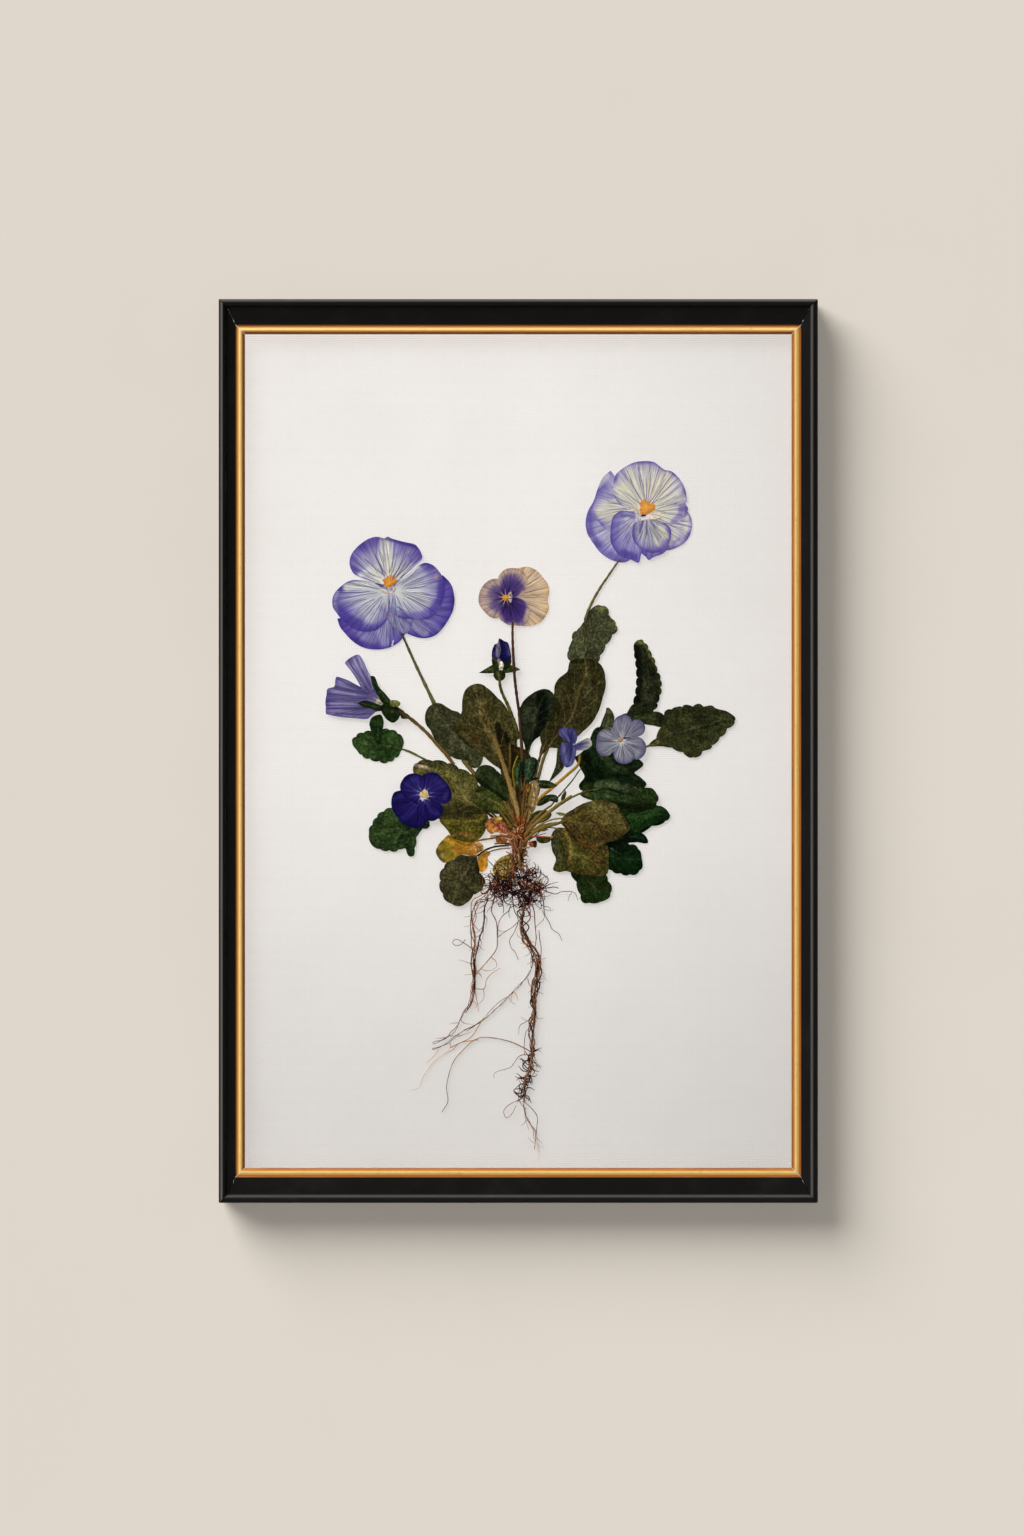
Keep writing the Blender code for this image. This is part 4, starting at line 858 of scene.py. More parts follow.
# For each leaf: its kind, the foot and the tip of its blade, tooth length, its ground
# colour, and strokes of colour as (path, width, shade, strength)
LEAVES = {
    "leaf_far_left": ("green", (-58.6, 1.2), (-83.4, 4.2), 4.4, (42, 63, 28),
      ((((-58.8, 1.2), (-66, 2.2), (-75, 3.2)), 0.5, (18, 32, 12), 0.8),
      (((-64, -1), (-69, -2)), 3, (27, 48, 18), 0.6), (((-77, 2), (-75, -1.5)), 3, (54, 76, 36), 0.6),
      (((-67, 8), (-72, 9)), 2, (30, 48, 20), 0.5))),
    "leaf_lower_left": ("green", (-44.6, -36), (-75.1, -42), 5, (44, 63, 29),
      ((((-75, -39.6), (-66, -38.2), (-57, -37.6)), 0.5, (40, 36, 16), 0.8),
      (((-57.5, -36), (-55.5, -45), (-53.5, -53)), 2.6, (22, 36, 15), 0.8),
      (((-61, -47), (-57, -40)), 0.8, (16, 26, 10), 0.8), (((-52.5, -40), (-53, -47)), 0.9, (58, 78, 42),
      0.6), (((-50, -38), (-45.5, -37)), 2, (12, 20, 8), 0.8),
      (((-70, -46), (-64, -47)), 2.5, (56, 74, 40), 0.5), (((-58, -31.5), (-66, -31)), 1.5, (54, 76, 38),
      0.5))),
    "leaf_olive_left": ("olive", (-16, -30.4), (-52.6, -7.4), 7, (88, 85, 42),
      ((((-38.5, -30.5), (-29, -29.5), (-20, -31)), 3.4, (36, 34, 12), 0.85),
      (((-52.3, -7), (-45, -8.4)), 0.75, (190, 166, 140), 0.9),
      (((-17, -30), (-30, -19.5), (-49, -9.5)), 0.7, (108, 98, 54), 0.6),
      (((-44, -6), (-34, -8), (-27, -11.5)), 2, (62, 66, 32), 0.7),
      (((-22, -21), (-20, -25)), 2.2, (56, 56, 26), 0.7), (((-50, -12), (-45, -22)), 1.6, (66, 70, 32),
      0.6), (((-37, -12), (-30, -15)), 3, (94, 88, 44), 0.6))),
    "leaf_olive_lower": ("olive", (-15.2, -33), (-39.6, -34.4), 8, (84, 78, 24),
      ((((-32, -28.5), (-22, -28)), 3, (60, 62, 22), 0.7), (((-34, -42.4), (-27, -43), (-20, -43.8)),
      1.6, (104, 84, 34), 0.6), (((-29, -41.4), (-24, -42)), 1.1, (140, 94, 44), 0.6),
      (((-16.2, -35), (-26, -33), (-37, -33.5)), 0.5, (66, 62, 22), 0.7),
      (((-17, -38.5), (-19, -41)), 1, (40, 48, 14), 0.7))),
    "leaf_yellow": ("yellow", (-17.7, -49), (-41.5, -50.2), 9, (146, 114, 34),
      ((((-38, -47), (-34, -53)), 3, (122, 108, 36), 0.6), (((-41.3, -50.5), (-38.5, -54.8)), 1.9,
      (78, 70, 26), 0.9), (((-39, -46), (-36, -50)), 1.8, (104, 92, 30), 0.7),
      (((-37, -44), (-31, -46), (-27, -48)), 1, (188, 142, 42), 0.8),
      (((-31, -50), (-24, -49), (-19, -48.4)), 1.8, (182, 122, 44), 0.8),
      (((-25, -51.6), (-20, -51)), 0.9, (200, 128, 48), 0.8),
      (((-38.6, -52.4), (-38, -53)), 0.8, (160, 146, 110), 0.7),
      (((-34.5, -43.4), (-28, -46.8), (-22, -47.8)), 0.4, (112, 78, 22), 0.8))),
    "leaf_orange": ("yellow", (-14.4, -50.6), (-18.9, -60.9), 9, (186, 134, 52),
      ((((-18.6, -60), (-18, -55)), 1.3, (204, 134, 24), 0.8),
      (((-14.5, -51), (-18, -51.4)), 0.8, (146, 108, 52), 0.7),
      (((-20.6, -56), (-19.6, -59.5)), 0.4, (128, 92, 30), 0.8))),
    "leaf_grey_round": ("grey", (-18.4, -51.2), (-33, -77.8), 7, (67, 63, 37),
      ((((-18.6, -52), (-20.6, -58), (-17.5, -66)), 1.8, (20, 17, 8), 0.85),
      (((-22, -54), (-24, -60), (-21.5, -66)), 0.9, (38, 35, 24), 0.8),
      (((-19, -51.6), (-26, -62), (-32, -76)), 0.5, (44, 40, 24), 0.7),
      (((-36, -60), (-37, -70)), 2.5, (74, 68, 42), 0.6), (((-30, -55), (-26, -54.5)), 1.5, (46, 44, 28),
      0.7), (((-30, -74), (-24, -72)), 1.8, (48, 46, 22), 0.6))),
    "leaf_grey_upper": ("grey", (-21, -8.2), (-43.6, 23.4), 8, (60, 62, 38),
      ((((-22, -7), (-32, 8), (-42, 22)), 0.5, (74, 72, 48), 0.6),
      (((-44, 14), (-41, 8)), 2, (46, 50, 30), 0.6), (((-30, -2.5), (-26, -4)), 1.5, (40, 44, 24), 0.7),
      (((-36, 20), (-31, 18)), 1.5, (70, 68, 46), 0.5))),
    "leaf_olive_tall": ("olive", (-4.6, -9.8), (-22, 33.8), 8, (65, 60, 30),
      ((((-6, -8), (-13, 6), (-19.5, 26)), 2.6, (84, 74, 40), 0.7),
      (((-6, -8), (-12.5, 6), (-18.5, 24)), 0.5, (110, 92, 50), 0.8),
      (((-10.4, 13), (-8.6, 4.5)), 1.5, (12, 9, 4), 0.95), (((-6.4, 9), (-5.4, 1)), 1.2, (14, 10, 4),
      0.95), (((-4.4, 6), (-4.2, -2)), 0.8, (16, 12, 5), 0.9),
      (((-32, 10), (-20, -2.2), (-8, -9.8)), 0.7, (24, 19, 8), 0.85),
      (((-24, 28), (-16, 30)), 4, (52, 50, 28), 0.7), (((-24, 8.5), (-20.5, 5)), 0.9, (74, 38, 22), 0.8),
      (((-17, 3), (-14, 0)), 1, (26, 20, 8), 0.7), (((-3, 14), (-1.4, 5)), 1.2, (66, 60, 32), 0.6),
      (((-27, 14), (-24, 20)), 2.2, (70, 66, 36), 0.6))),
    "leaf_dark_inner": ("dark", (-5.8, -24.9), (-18, -7.2), 9, (45, 55, 25),
      ((((-20.5, -14.5), (-13, -20), (-6.5, -24.5)), 1.2, (12, 22, 6), 0.85),
      (((-7, -22), (-13, -13), (-18, -9)), 0.4, (60, 66, 40), 0.6),
      (((-10, -12.5), (-7, -17)), 1.4, (22, 30, 12), 0.7))),
    "leaf_green_inner": ("green", (-4.1, -30), (-21.8, -21.6), 9, (68, 70, 25),
      ((((-21.5, -20), (-14, -18.4), (-8, -21.6)), 0.7, (22, 24, 6), 0.85),
      (((-5, -29.5), (-13, -25), (-20, -22)), 0.5, (96, 92, 48), 0.6),
      (((-9, -31.2), (-17, -29.5)), 1, (30, 32, 8), 0.8))),
    "leaf_dark_upright": ("dark", (5.2, -2.4), (14.6, 31), 9, (32, 37, 24),
      ((((11.5, 28), (12.6, 20), (11.5, 12), (8, 6)), 2.6, (3, 5, 4), 0.92),
      (((16.5, 28), (17, 20)), 1.2, (40, 46, 32), 0.7), (((2, 12), (4.5, 22)), 2, (52, 56, 40), 0.7),
      (((7.5, 27), (7, 16)), 1, (46, 50, 36), 0.6), (((5.5, 0), (8, 12), (9, 22)), 0.4, (58, 58, 40),
      0.6), (((4, 2), (6, 5)), 1.2, (20, 24, 10), 0.8))),
    "leaf_brown_tall": ("olive", (11.4, -2), (33.4, 46.2), 9, (47, 46, 22),
      ((((12.5, 0), (20, 12), (27, 30)), 1, (34, 32, 14), 0.7),
      (((36, 28), (34, 38)), 3.2, (62, 60, 34), 0.6), (((22, 26), (25, 36)), 2.5, (56, 54, 30), 0.6),
      (((27, 45), (38, 45)), 1.2, (22, 24, 8), 0.8), (((18, 16), (20, 24)), 1.6, (30, 30, 10), 0.7),
      (((32, 12), (38, 19)), 1.8, (42, 44, 20), 0.6), (((28, 18), (30, 26)), 2.4, (60, 50, 26), 0.6))),
    "leaf_folded_top": ("grey", (33, 42.6), (41, 73.6), 6, (72, 74, 49),
      ((((48.5, 65), (49.3, 61.5)), 1, (112, 110, 52), 0.8),
      (((39, 72), (44.5, 71.5)), 0.9, (100, 100, 56), 0.7),
      (((28.5, 60), (32, 62.4)), 0.9, (100, 102, 58), 0.7),
      (((36, 69), (37.5, 60), (36, 54), (33, 46)), 0.4, (32, 32, 20), 0.85),
      (((42.5, 53), (39, 58)), 0.35, (38, 38, 24), 0.8), (((36.5, 50), (39, 44.5)), 2, (56, 60, 40),
      0.6), (((27, 54), (29, 48)), 1.6, (60, 64, 42), 0.6),
      (((38.5, 66), (41, 58)), 1, (84, 84, 58), 0.6))),
    "leaf_narrow": ("dark", (55.6, 20.4), (61.4, 56.2), 4.2, (36, 37, 22),
      ((((59, 52), (60.6, 38), (59.6, 26)), 2.2, (9, 9, 4), 0.92),
      (((59, 54.6), (63.5, 54.4), (66.5, 48)), 1, (86, 90, 42), 0.9),
      (((67, 47), (69.4, 41)), 0.7, (84, 84, 38), 0.8), (((70.5, 38), (71.4, 30)), 0.7, (66, 68, 32),
      0.7), (((62.6, 38), (63.8, 34), (62.4, 31)), 0.25, (86, 80, 54), 0.6),
      (((66, 34), (64.5, 27)), 2.2, (50, 52, 34), 0.6), (((64, 44), (66, 40)), 1.2, (20, 20, 10), 0.7),
      (((58, 21), (64, 20.5)), 1.2, (26, 30, 12), 0.7))),
    "leaf_cross": ("dark", (51.2, 16.4), (73.8, 15.6), 9, (48, 55, 27),
      ((((71, 18), (73, 13)), 2, (24, 30, 10), 0.8), (((58, 16), (66, 16)), 1, (62, 66, 42), 0.6),
      (((56, 19.6), (66, 20)), 0.7, (18, 22, 8), 0.8))),
    "leaf_right": ("dark", (65.6, 2.3), (109.3, 16.3), 5.8, (54, 55, 29),
      ((((66, 3), (80, 8.4), (94, 12), (104, 15)), 0.45, (24, 24, 10), 0.9),
      (((70, 4.4), (84, 10.4), (96, 13.6)), 0.4, (76, 74, 46), 0.6),
      (((74, 5.8), (78, 12), (80, 20)), 0.3, (30, 30, 14), 0.7),
      (((84, 9.4), (90, 16), (93, 22)), 0.3, (30, 30, 14), 0.7),
      (((82, 8.6), (88, 3), (92, -1)), 0.3, (30, 30, 14), 0.7),
      (((74, 17), (88, 21), (104, 18.6)), 1.5, (36, 38, 18), 0.6),
      (((88, -1), (96, 4)), 2, (56, 58, 32), 0.6), (((67, 3), (70, 4.5)), 0.8, (120, 104, 50), 0.8))),
    "leaf_small_pointed": ("grey", (43.6, 8.1), (44.4, 22.2), 9, (62, 66, 41),
      ((((41, 11), (43.6, 19)), 0.6, (20, 24, 8), 0.85), (((45.5, 20), (45.8, 12)), 1, (82, 84, 54),
      0.6))),
    "leaf_broad_dark": ("dark", (32, -21.3), (69.9, -22), 7, (36, 50, 21),
      ((((40, -16.8), (50, -17.2), (60, -20)), 1.8, (64, 74, 46), 0.8),
      (((36, -20.4), (45, -18.7), (53, -21.4)), 0.6, (10, 14, 5), 0.9),
      (((47, -26.4), (58, -28.6), (69, -27.4)), 1.6, (8, 16, 5), 0.85),
      (((60, -22.6), (67, -22)), 2.6, (38, 60, 18), 0.7), (((38, -22.6), (46, -22.8)), 1.4, (52, 70, 38),
      0.7), (((33, -21.6), (36, -21.6)), 1, (96, 92, 44), 0.8),
      (((48, -15.4), (60, -18.6)), 0.5, (44, 42, 36), 0.7))),
    "leaf_green_right": ("dark", (50, -34), (75.7, -31.6), 7, (16, 42, 11),
      ((((57, -32.6), (64, -32), (71, -30)), 2, (42, 68, 30), 0.8),
      (((56, -30.5), (66, -27.6)), 1.4, (6, 14, 5), 0.85), (((72, -36), (62, -40.6)), 0.9, (2, 8, 2),
      0.9), (((57, -38), (60, -40)), 1.2, (34, 56, 22), 0.6))),
    "leaf_dark_tip": ("dark", (44, -45.4), (65.1, -45.2), 9, (3, 14, 6),
      ((((56, -42), (62, -43.6)), 1, (12, 32, 16), 0.8), (((50, -46.6), (58, -45.6)), 1, (1, 4, 1),
      0.9))),
    "leaf_dark_round": ("dark", (43.6, -52), (62, -54.4), 5, (5, 30, 7),
      ((((46, -47), (55, -48.6)), 2.2, (1, 4, 3), 0.9), (((46.6, -48.8), (50, -51)), 0.3, (76, 80, 78),
      0.8), (((47, -52), (48, -54)), 0.7, (26, 50, 34), 0.8),
      (((50, -56), (59, -54)), 2.4, (14, 42, 14), 0.6), (((53, -61.4), (60, -60)), 1, (2, 12, 2), 0.8))),
    "leaf_olive_brown": ("olive", (21.1, -35.6), (56.2, -39), 9, (80, 68, 30),
      ((((36, -28), (45, -29), (51, -37)), 3.6, (100, 92, 48), 0.75),
      (((28, -42), (36, -44), (42, -42)), 3.4, (70, 54, 24), 0.8),
      (((22.6, -36.6), (26, -41), (31, -47)), 0.5, (44, 24, 8), 0.9),
      (((35, -32.4), (37, -35.4), (40.5, -37), (42, -41)), 0.4, (48, 34, 12), 0.8),
      (((46, -37), (48, -39.6)), 0.4, (66, 54, 20), 0.7), (((30, -47.4), (38, -48.4)), 0.9,
      (108, 66, 22), 0.8), (((51.4, -30.6), (55, -38)), 0.7, (42, 38, 14), 0.8),
      (((22, -35.4), (28, -36.4)), 1.2, (104, 82, 38), 0.7),
      (((26, -32.4), (34, -28)), 0.6, (48, 42, 16), 0.7), (((40, -47), (43, -46.6)), 0.7, (122, 106, 80),
      0.5))),
    "leaf_olive_right": ("olive", (19.4, -38.8), (44.6, -62), 8, (68, 63, 24),
      ((((18, -42), (19, -50), (21, -56)), 1.9, (60, 66, 40), 0.8),
      (((23, -39), (26.4, -46), (26.6, -52), (25, -57)), 0.7, (128, 104, 52), 0.85),
      (((21.6, -42), (23, -50), (22.5, -57)), 0.5, (38, 42, 14), 0.8),
      (((20, -59), (24, -58.6)), 1, (60, 72, 16), 0.8), (((36.5, -50), (40, -53.5), (43.5, -57)), 0.5,
      (106, 72, 34), 0.8), (((38, -56), (43.5, -50)), 2.2, (86, 66, 30), 0.6),
      (((28, -49), (33, -55)), 1.8, (80, 78, 34), 0.6), (((30, -57), (34, -58)), 1.2, (52, 58, 22), 0.6),
      (((30, -60.6), (42, -61)), 1, (70, 56, 20), 0.7))),
    "leaf_lowest": ("dark", (33.4, -58.4), (40.4, -76.3), 7, (27, 41, 12),
      ((((33, -63), (37, -67), (41, -71)), 0.35, (74, 58, 32), 0.8),
      (((31, -61), (36, -64.5)), 1.6, (22, 24, 8), 0.7), (((38, -62.6), (43, -64)), 1.4, (32, 44, 14),
      0.6), (((37, -73), (43, -72.6)), 2, (20, 42, 14), 0.7),
      (((33, -70), (35, -74)), 1, (44, 52, 24), 0.6)))}

# The stalk of each leaf that shows one: path, widths and shades from blade to crown
LEAF_STALKS = {
    "leaf_far_left": (((-63, 1.6), (-58.6, 1), (-55, -0.2), (-50, -2.6), (-42, -7)),
      (0.5, 1.2, 1.1, 1.1), ((56, 64, 26), (94, 98, 52), (96, 96, 50))),
    "leaf_olive_left": (((-24, -24.4), (-20, -27.5), (-15.5, -31), (-12, -33.8), (-7, -37.5)),
      (0.4, 1.2, 1.3), ((60, 56, 24), (32, 26, 10), (70, 56, 26))),
    "leaf_yellow": (((-31, -49.6), (-27, -47.6), (-20, -45), (-12, -43.6), (-4.5, -42.4)), (0.3, 1, 1),
      ((150, 104, 34), (140, 100, 34), (120, 88, 40), (104, 78, 36))),
    "leaf_orange": (((-18.5, -52.4), (-15.5, -50.9), (-10, -49.3), (-4.5, -48.7)), (0.5, 0.7, 0.6),
      ((170, 122, 60), (122, 92, 56), (130, 96, 66))),
    "leaf_grey_round": (((-23, -55.5), (-20, -52.2), (-17, -50), (-12, -48.1), (-4.6, -47.3)),
      (0.4, 1, 0.9), ((44, 40, 22), (54, 46, 16), (62, 52, 20))),
    "leaf_olive_tall": (((-9, -2), (-6.4, -8), (-4.6, -13), (-2.5, -22), (-0.2, -33)), (0.7, 1.7, 1.8),
      ((96, 80, 44), (128, 104, 62), (120, 98, 58))),
    "leaf_dark_upright": (((6.2, 3), (5, -1), (4.2, -10), (3, -22), (2, -34)), (0.5, 1.2, 1.2),
      ((54, 56, 34), (74, 66, 32), (84, 68, 34))),
    "leaf_brown_tall": (((15, 6), (12, 0), (9.2, -9), (7, -20), (4.6, -33)), (0.8, 1.9, 2),
      ((84, 74, 38), (122, 98, 56), (132, 106, 62))),
    "leaf_narrow": (((59, 24), (56.5, 20.8), (54, 17.5), (51, 14.5)), (0.5, 1, 1),
      ((40, 42, 22), (60, 58, 30), (70, 66, 36))),
    "leaf_right": (((71, 4.8), (67, 3.3), (63.5, 1.9), (59, 0.4)), (0.5, 1.2, 1.1),
      ((84, 74, 38), (112, 98, 48), (96, 84, 44))),
    "leaf_folded_dark": (((34, -6), (30.5, -10), (27, -15), (21, -22), (16, -28)), (0.5, 0.7, 0.8),
      ((40, 40, 14), (66, 60, 30), (78, 70, 36))),
    "leaf_broad_dark": (((40, -19.4), (34, -20.3), (26, -23.7), (18, -28.9), (10, -34.6), (4, -40)),
      (0.6, 1.4, 1.6), ((70, 70, 36), (126, 112, 58), (128, 106, 62), (120, 94, 54))),
    "leaf_olive_brown": (((30, -36.2), (24.5, -35.8), (17, -36.4), (10, -38.4), (4, -42.4)),
      (0.5, 1.2, 1.3), ((96, 76, 34), (112, 92, 42), (104, 88, 40))),
    "leaf_olive_right": (((24, -42), (21, -39.6), (16, -38.4), (8, -39.2)), (0.5, 0.8, 0.7),
      ((104, 90, 46), (150, 136, 100), (128, 108, 66)))}

SLOT_OF_KIND = {
    "green": "leaf_green", "dark": "leaf_green", "grey": "leaf_green", "olive": "leaf_olive",
    "yellow": "leaf_yellow"}
BLADE_STEP = 0.55


def toothed(margin, depth, length, seed):
    """A leaf's margin: rounded teeth, each the root of half a sine wave, set inwards
    along the margin's own left-hand normal. They fade out near the foot."""
    along = travelled(margin)
    share = along / along[-1]
    draw = np.random.default_rng(seed).uniform(-0.2, 0.2, 4)
    waver = np.interp(share, np.linspace(0, 1, 4), draw)
    tooth = np.abs(np.sin(math.pi * (along / length + waver))) ** 0.5
    run = np.gradient(margin, axis=0)
    run /= np.maximum(np.hypot(*run.T), 1e-9)[:, None]
    inwards = np.stack([-run[:, 1], run[:, 0]], -1)
    fade = ease((share - 0.12) / 0.15)
    return margin + inwards * ((0.72 - tooth) * depth * fade)[:, None]


def nearest(loop, point):
    """Which point of the loop is the nearest to the given one."""
    return int(np.argmin(np.hypot(*(loop - point).T)))


def leaf_grid(name, foot, tip, tooth_depth, tooth_length, seed):
    """A blade ruled between its margins: at share t up the leaf and v across it, the
    point is left(t) (1 - v) + right(t) v."""
    loop = round_outline(name)
    start, end = nearest(loop, foot), nearest(loop, tip)
    loop = np.roll(loop, -start, axis=0)
    split = (end - start) % len(loop)
    right, left = loop[:split + 1], np.concatenate([loop[split:], loop[:1]])[::-1]
    rows = max(int(max(len(right), len(left)) * 0.5 / BLADE_STEP), 12)
    right = toothed(even(right, rows), tooth_depth, tooth_length, seed)
    left = toothed(even(left, rows)[::-1], tooth_depth, tooth_length, seed + 1)[::-1]
    widest = np.hypot(*(right - left).T).max()
    v = np.linspace(0.0, 1.0, max(int(widest / BLADE_STEP), 8))[None, :, None]
    grid = left[1:-1, None] * (1 - v) + right[1:-1, None] * v
    t = np.broadcast_to(np.linspace(0, 1, rows)[1:-1, None], grid.shape[:2])
    return grid[..., 0], grid[..., 1], t, np.broadcast_to(v[..., 0], grid.shape[:2])


def leaf_relief(x, z, t, v, height, seed):
    """A pressed leaf's surface: the midrib stands out, the side veins a little less,
    and the blade between them is gently uneven."""
    across = np.abs(v - 0.5) * 2
    midrib = np.exp(-(across / 0.06) ** 2) * (1 - 0.6 * t)
    place = t * 7.0 - 2.2 * across ** 0.8 + 0.45 * (v > 0.5)
    veins = np.exp(-((place % 1.0 - 0.5) / 0.12) ** 2) * (1 - across)
    return height * (midrib + 0.4 * veins + 0.7 * ripple(x, z, 7.0, seed))


def leaf_shapes(name, settings, seed):
    """The blade of one leaf, its margin a little darker."""
    _, foot, tip, tooth_length, ground, strokes = LEAVES[name]
    depth = settings.tooth_depth if tooth_length < 7.5 else 0.35 * settings.tooth_depth
    x, z, t, v = leaf_grid(name, foot, tip, depth, tooth_length, seed)
    rise = node_front(name) + leaf_relief(x, z, t, v, settings.relief, seed)
    colour = paint(x, z, linear(ground), strokes)
    edge = ease((np.abs(v - 0.5) * 2 - 0.9) / 0.1) * 0.35
    colour = colour * (1 - edge)[..., None]
    length = travelled(np.stack([x.mean(1), z.mean(1)], -1))[:, None]
    lie = np.stack([np.broadcast_to(length, x.shape), v, t], -1)
    return [sheet_shape(x, z, rise, settings.leaf_thickness, colour, lie)]


def stalk_shapes(name, seed):
    """A leaf's own stalk, which lies a little proud of the blade at its foot."""
    if name not in LEAF_STALKS:
        return []
    path, widths, shades = LEAF_STALKS[name]
    level = node_front(name)
    return [stem_shape(path, widths, 0.34, (level + 0.02, level + 0.06), shades, seed=seed)]


FOLDED_LEAF = (
    (46, -8), (28, -3), (32, -0.5), (35.5, 5), (38.2, 11), (42, 12), (46, 9), (52, 3), (58, -2),
    (62.9, -6.4), (60.2, -9.5), (58.4, -11), (61.5, -13.2), (64.4, -16.4), (62.3, -18.6), (56, -17.5),
    (50, -15.6), (44, -15.1), (38, -17.6), (32, -19.8), (30.5, -17), (33.2, -13), (31.4, -9), (28, -3))
FOLDED_STROKES = (
    (((36, 8), (40, 2)), 2.2, (26, 40, 18), 0.7),
    (((42, -2), (48, -8), (54, -10)), 1.6, (48, 60, 34), 0.8),
    (((52, 0), (60, -6)), 1.6, (30, 48, 22), 0.7),
    (((34, -2), (36, -9), (36, -14)), 2, (2, 6, 2), 0.9),
    (((39, -9), (42, -13)), 1.8, (1, 5, 2), 0.9),
    (((46, -12), (56, -13), (62, -16.4)), 1, (4, 12, 4), 0.85),
      (((42, 8), (48, 2)), 1, (40, 52, 28), 0.6),
    (((40, 11), (46, 4), (44, -2)), 0.5, (4, 10, 3), 0.85),
    (((33, -18.6), (36, -16.8)), 0.8, (40, 56, 14), 0.8),
    (((56, -11.5), (60.5, -14.6)), 0.7, (26, 44, 20), 0.7))


def rays(middle, rim, first, count):
    """Rays from a middle to a rim, as x, z and the share r along each: a point is
    middle (1 - r) + rim r, from the first share to 1."""
    r = np.linspace(first, 1.0, count)[:, None]
    grid = middle + (rim[None] - middle) * r[..., None]
    return grid[..., 0], grid[..., 1], np.broadcast_to(r, grid.shape[:2])


def folded_leaf_shape(settings):
    """The dark folded leaf: rays from its middle to its margin."""
    edge = smooth_line(FOLDED_LEAF[1:], 0.7)
    x, z, share = rays(np.array(FOLDED_LEAF[0]), edge, 0.03, 30)
    colour = paint(x, z, linear((17, 32, 13)), FOLDED_STROKES)
    rise = node_front("leaf_folded_dark") + 0.8 * settings.relief * ripple(x, z, 6.0, 61)
    lie = np.stack([np.broadcast_to(travelled(edge)[None], x.shape), 0.5 + 0.4 * share, share], -1)
    return sheet_shape(x, z, rise, settings.leaf_thickness, colour, lie)


class BuildLeaves(bpy.types.Operator):
    """Press every leaf of the plant: blade, veins, teeth and stalk"""
    bl_idname = "pressed_flower.build_leaves"
    bl_label = "Build Leaves"

    def execute(self, context):
        settings = context.scene.flower_plant
        finish = {
            "green": leaf_material("Green leaf", (84, 98, 58), 0.25, (30, 46, 20), 0.45),
            "dark": leaf_material("Dark green leaf", (58, 70, 44), 0.2, (12, 22, 9), 0.5),
            "grey": leaf_material("Grey-green leaf", (92, 88, 62), 0.22, (42, 40, 24), 0.5),
            "olive": leaf_material("Olive leaf", (118, 100, 56), 0.3, (40, 34, 14), 0.5),
            "yellow": leaf_material("Yellow leaf", (96, 66, 20), 0.45, (128, 84, 24), 0.4,
                                    grain=0.4)}
        for seed, name in enumerate(LEAVES):
            shapes = leaf_shapes(name, settings, seed) + stalk_shapes(name, seed)
            kind = LEAVES[name][0]
            add_piece("pressed_" + name, shapes, finish[kind], SLOT_OF_KIND[kind], name)
        folded = [folded_leaf_shape(settings)] + stalk_shapes("leaf_folded_dark", 60)
        add_piece("pressed_leaf_folded_dark", folded, finish["dark"], "leaf_green",
                  "leaf_folded_dark")
        return {"FINISHED"}


# ---- flowers -----------------------------------------------------------------

# Spacing of the points along the rims of petals, scraps and eyes
PETAL_STEP, SCRAP_STEP, EYE_STEP = 0.75, 0.5, 0.35
EYE_THICKNESS, EYE_RISE = 0.1, 0.18
# Veins drawn on a petal: widths along them, thickness, how far they stand out
VEIN_WIDTHS, VEIN_THICKNESS, VEIN_RISE = (0.16, 0.22, 0.1), 0.22, 0.13
BICOLOUR_MIDDLE, PALE_MIDDLE = (-6.3, 77.0), (51.4, 5.6)


def petal_shape(base, edge, depth, tones, strokes, settings, seed, ruffle=0.1):
    """One petal: rays from its base to its smooth edge. Its tones run from the base
    outwards, and it ripples more towards the edge."""
    rim = smooth_line(edge, PETAL_STEP)
    reach = np.hypot(*(rim - base).T).max()
    x, z, share = rays(base, rim, 0.02, max(int(reach / PETAL_STEP), 6))
    marks, shades = [tone[0] for tone in tones], linear([tone[1] for tone in tones])
    uneven = share + 0.05 * ripple(x, z, 9.0, seed) * share
    ground = np.stack([np.interp(uneven, marks, shades[:, k]) for k in range(3)], -1)
    colour = paint(x, z, ground, strokes)
    along = np.broadcast_to(travelled(rim)[None], x.shape)
    pleat = np.sin(along * 1.9 + 1.5 * ripple(x, z, 14.0, seed + 40))
    rise = depth + ruffle * share * (0.5 * pleat + ripple(x, z, 8.0, seed))
    lie = np.stack([along, share, np.full(x.shape, seed * 0.37)], -1)
    return sheet_shape(x, z, rise, settings.petal_thickness, colour, lie)


def scrap_shape(outline, depth, shade, strokes, seed, thickness=0.12):
    """A small leaf or bract: rays from the middle of its outline to its edge."""
    rim = smooth_line((*outline, outline[0]), SCRAP_STEP)
    middle = rim[:-1].mean(0)
    reach = np.hypot(*(rim - middle).T).max()
    x, z, share = rays(middle, rim, 0.01, max(int(reach / SCRAP_STEP), 5))
    colour = paint(x, z, linear(shade), strokes)
    colour = colour * (1 - 0.35 * ease((share - 0.8) / 0.2))[..., None]
    colour = colour * (1 + 0.18 * ripple(x, z, 3.0, seed + 7))[..., None]
    rise = depth + 0.06 * ripple(x, z, 4.0, seed)
    lie = np.stack([np.broadcast_to(travelled(rim)[None], x.shape), 0.5 + 0.4 * share, share], -1)
    return sheet_shape(x, z, rise, thickness, colour, lie)


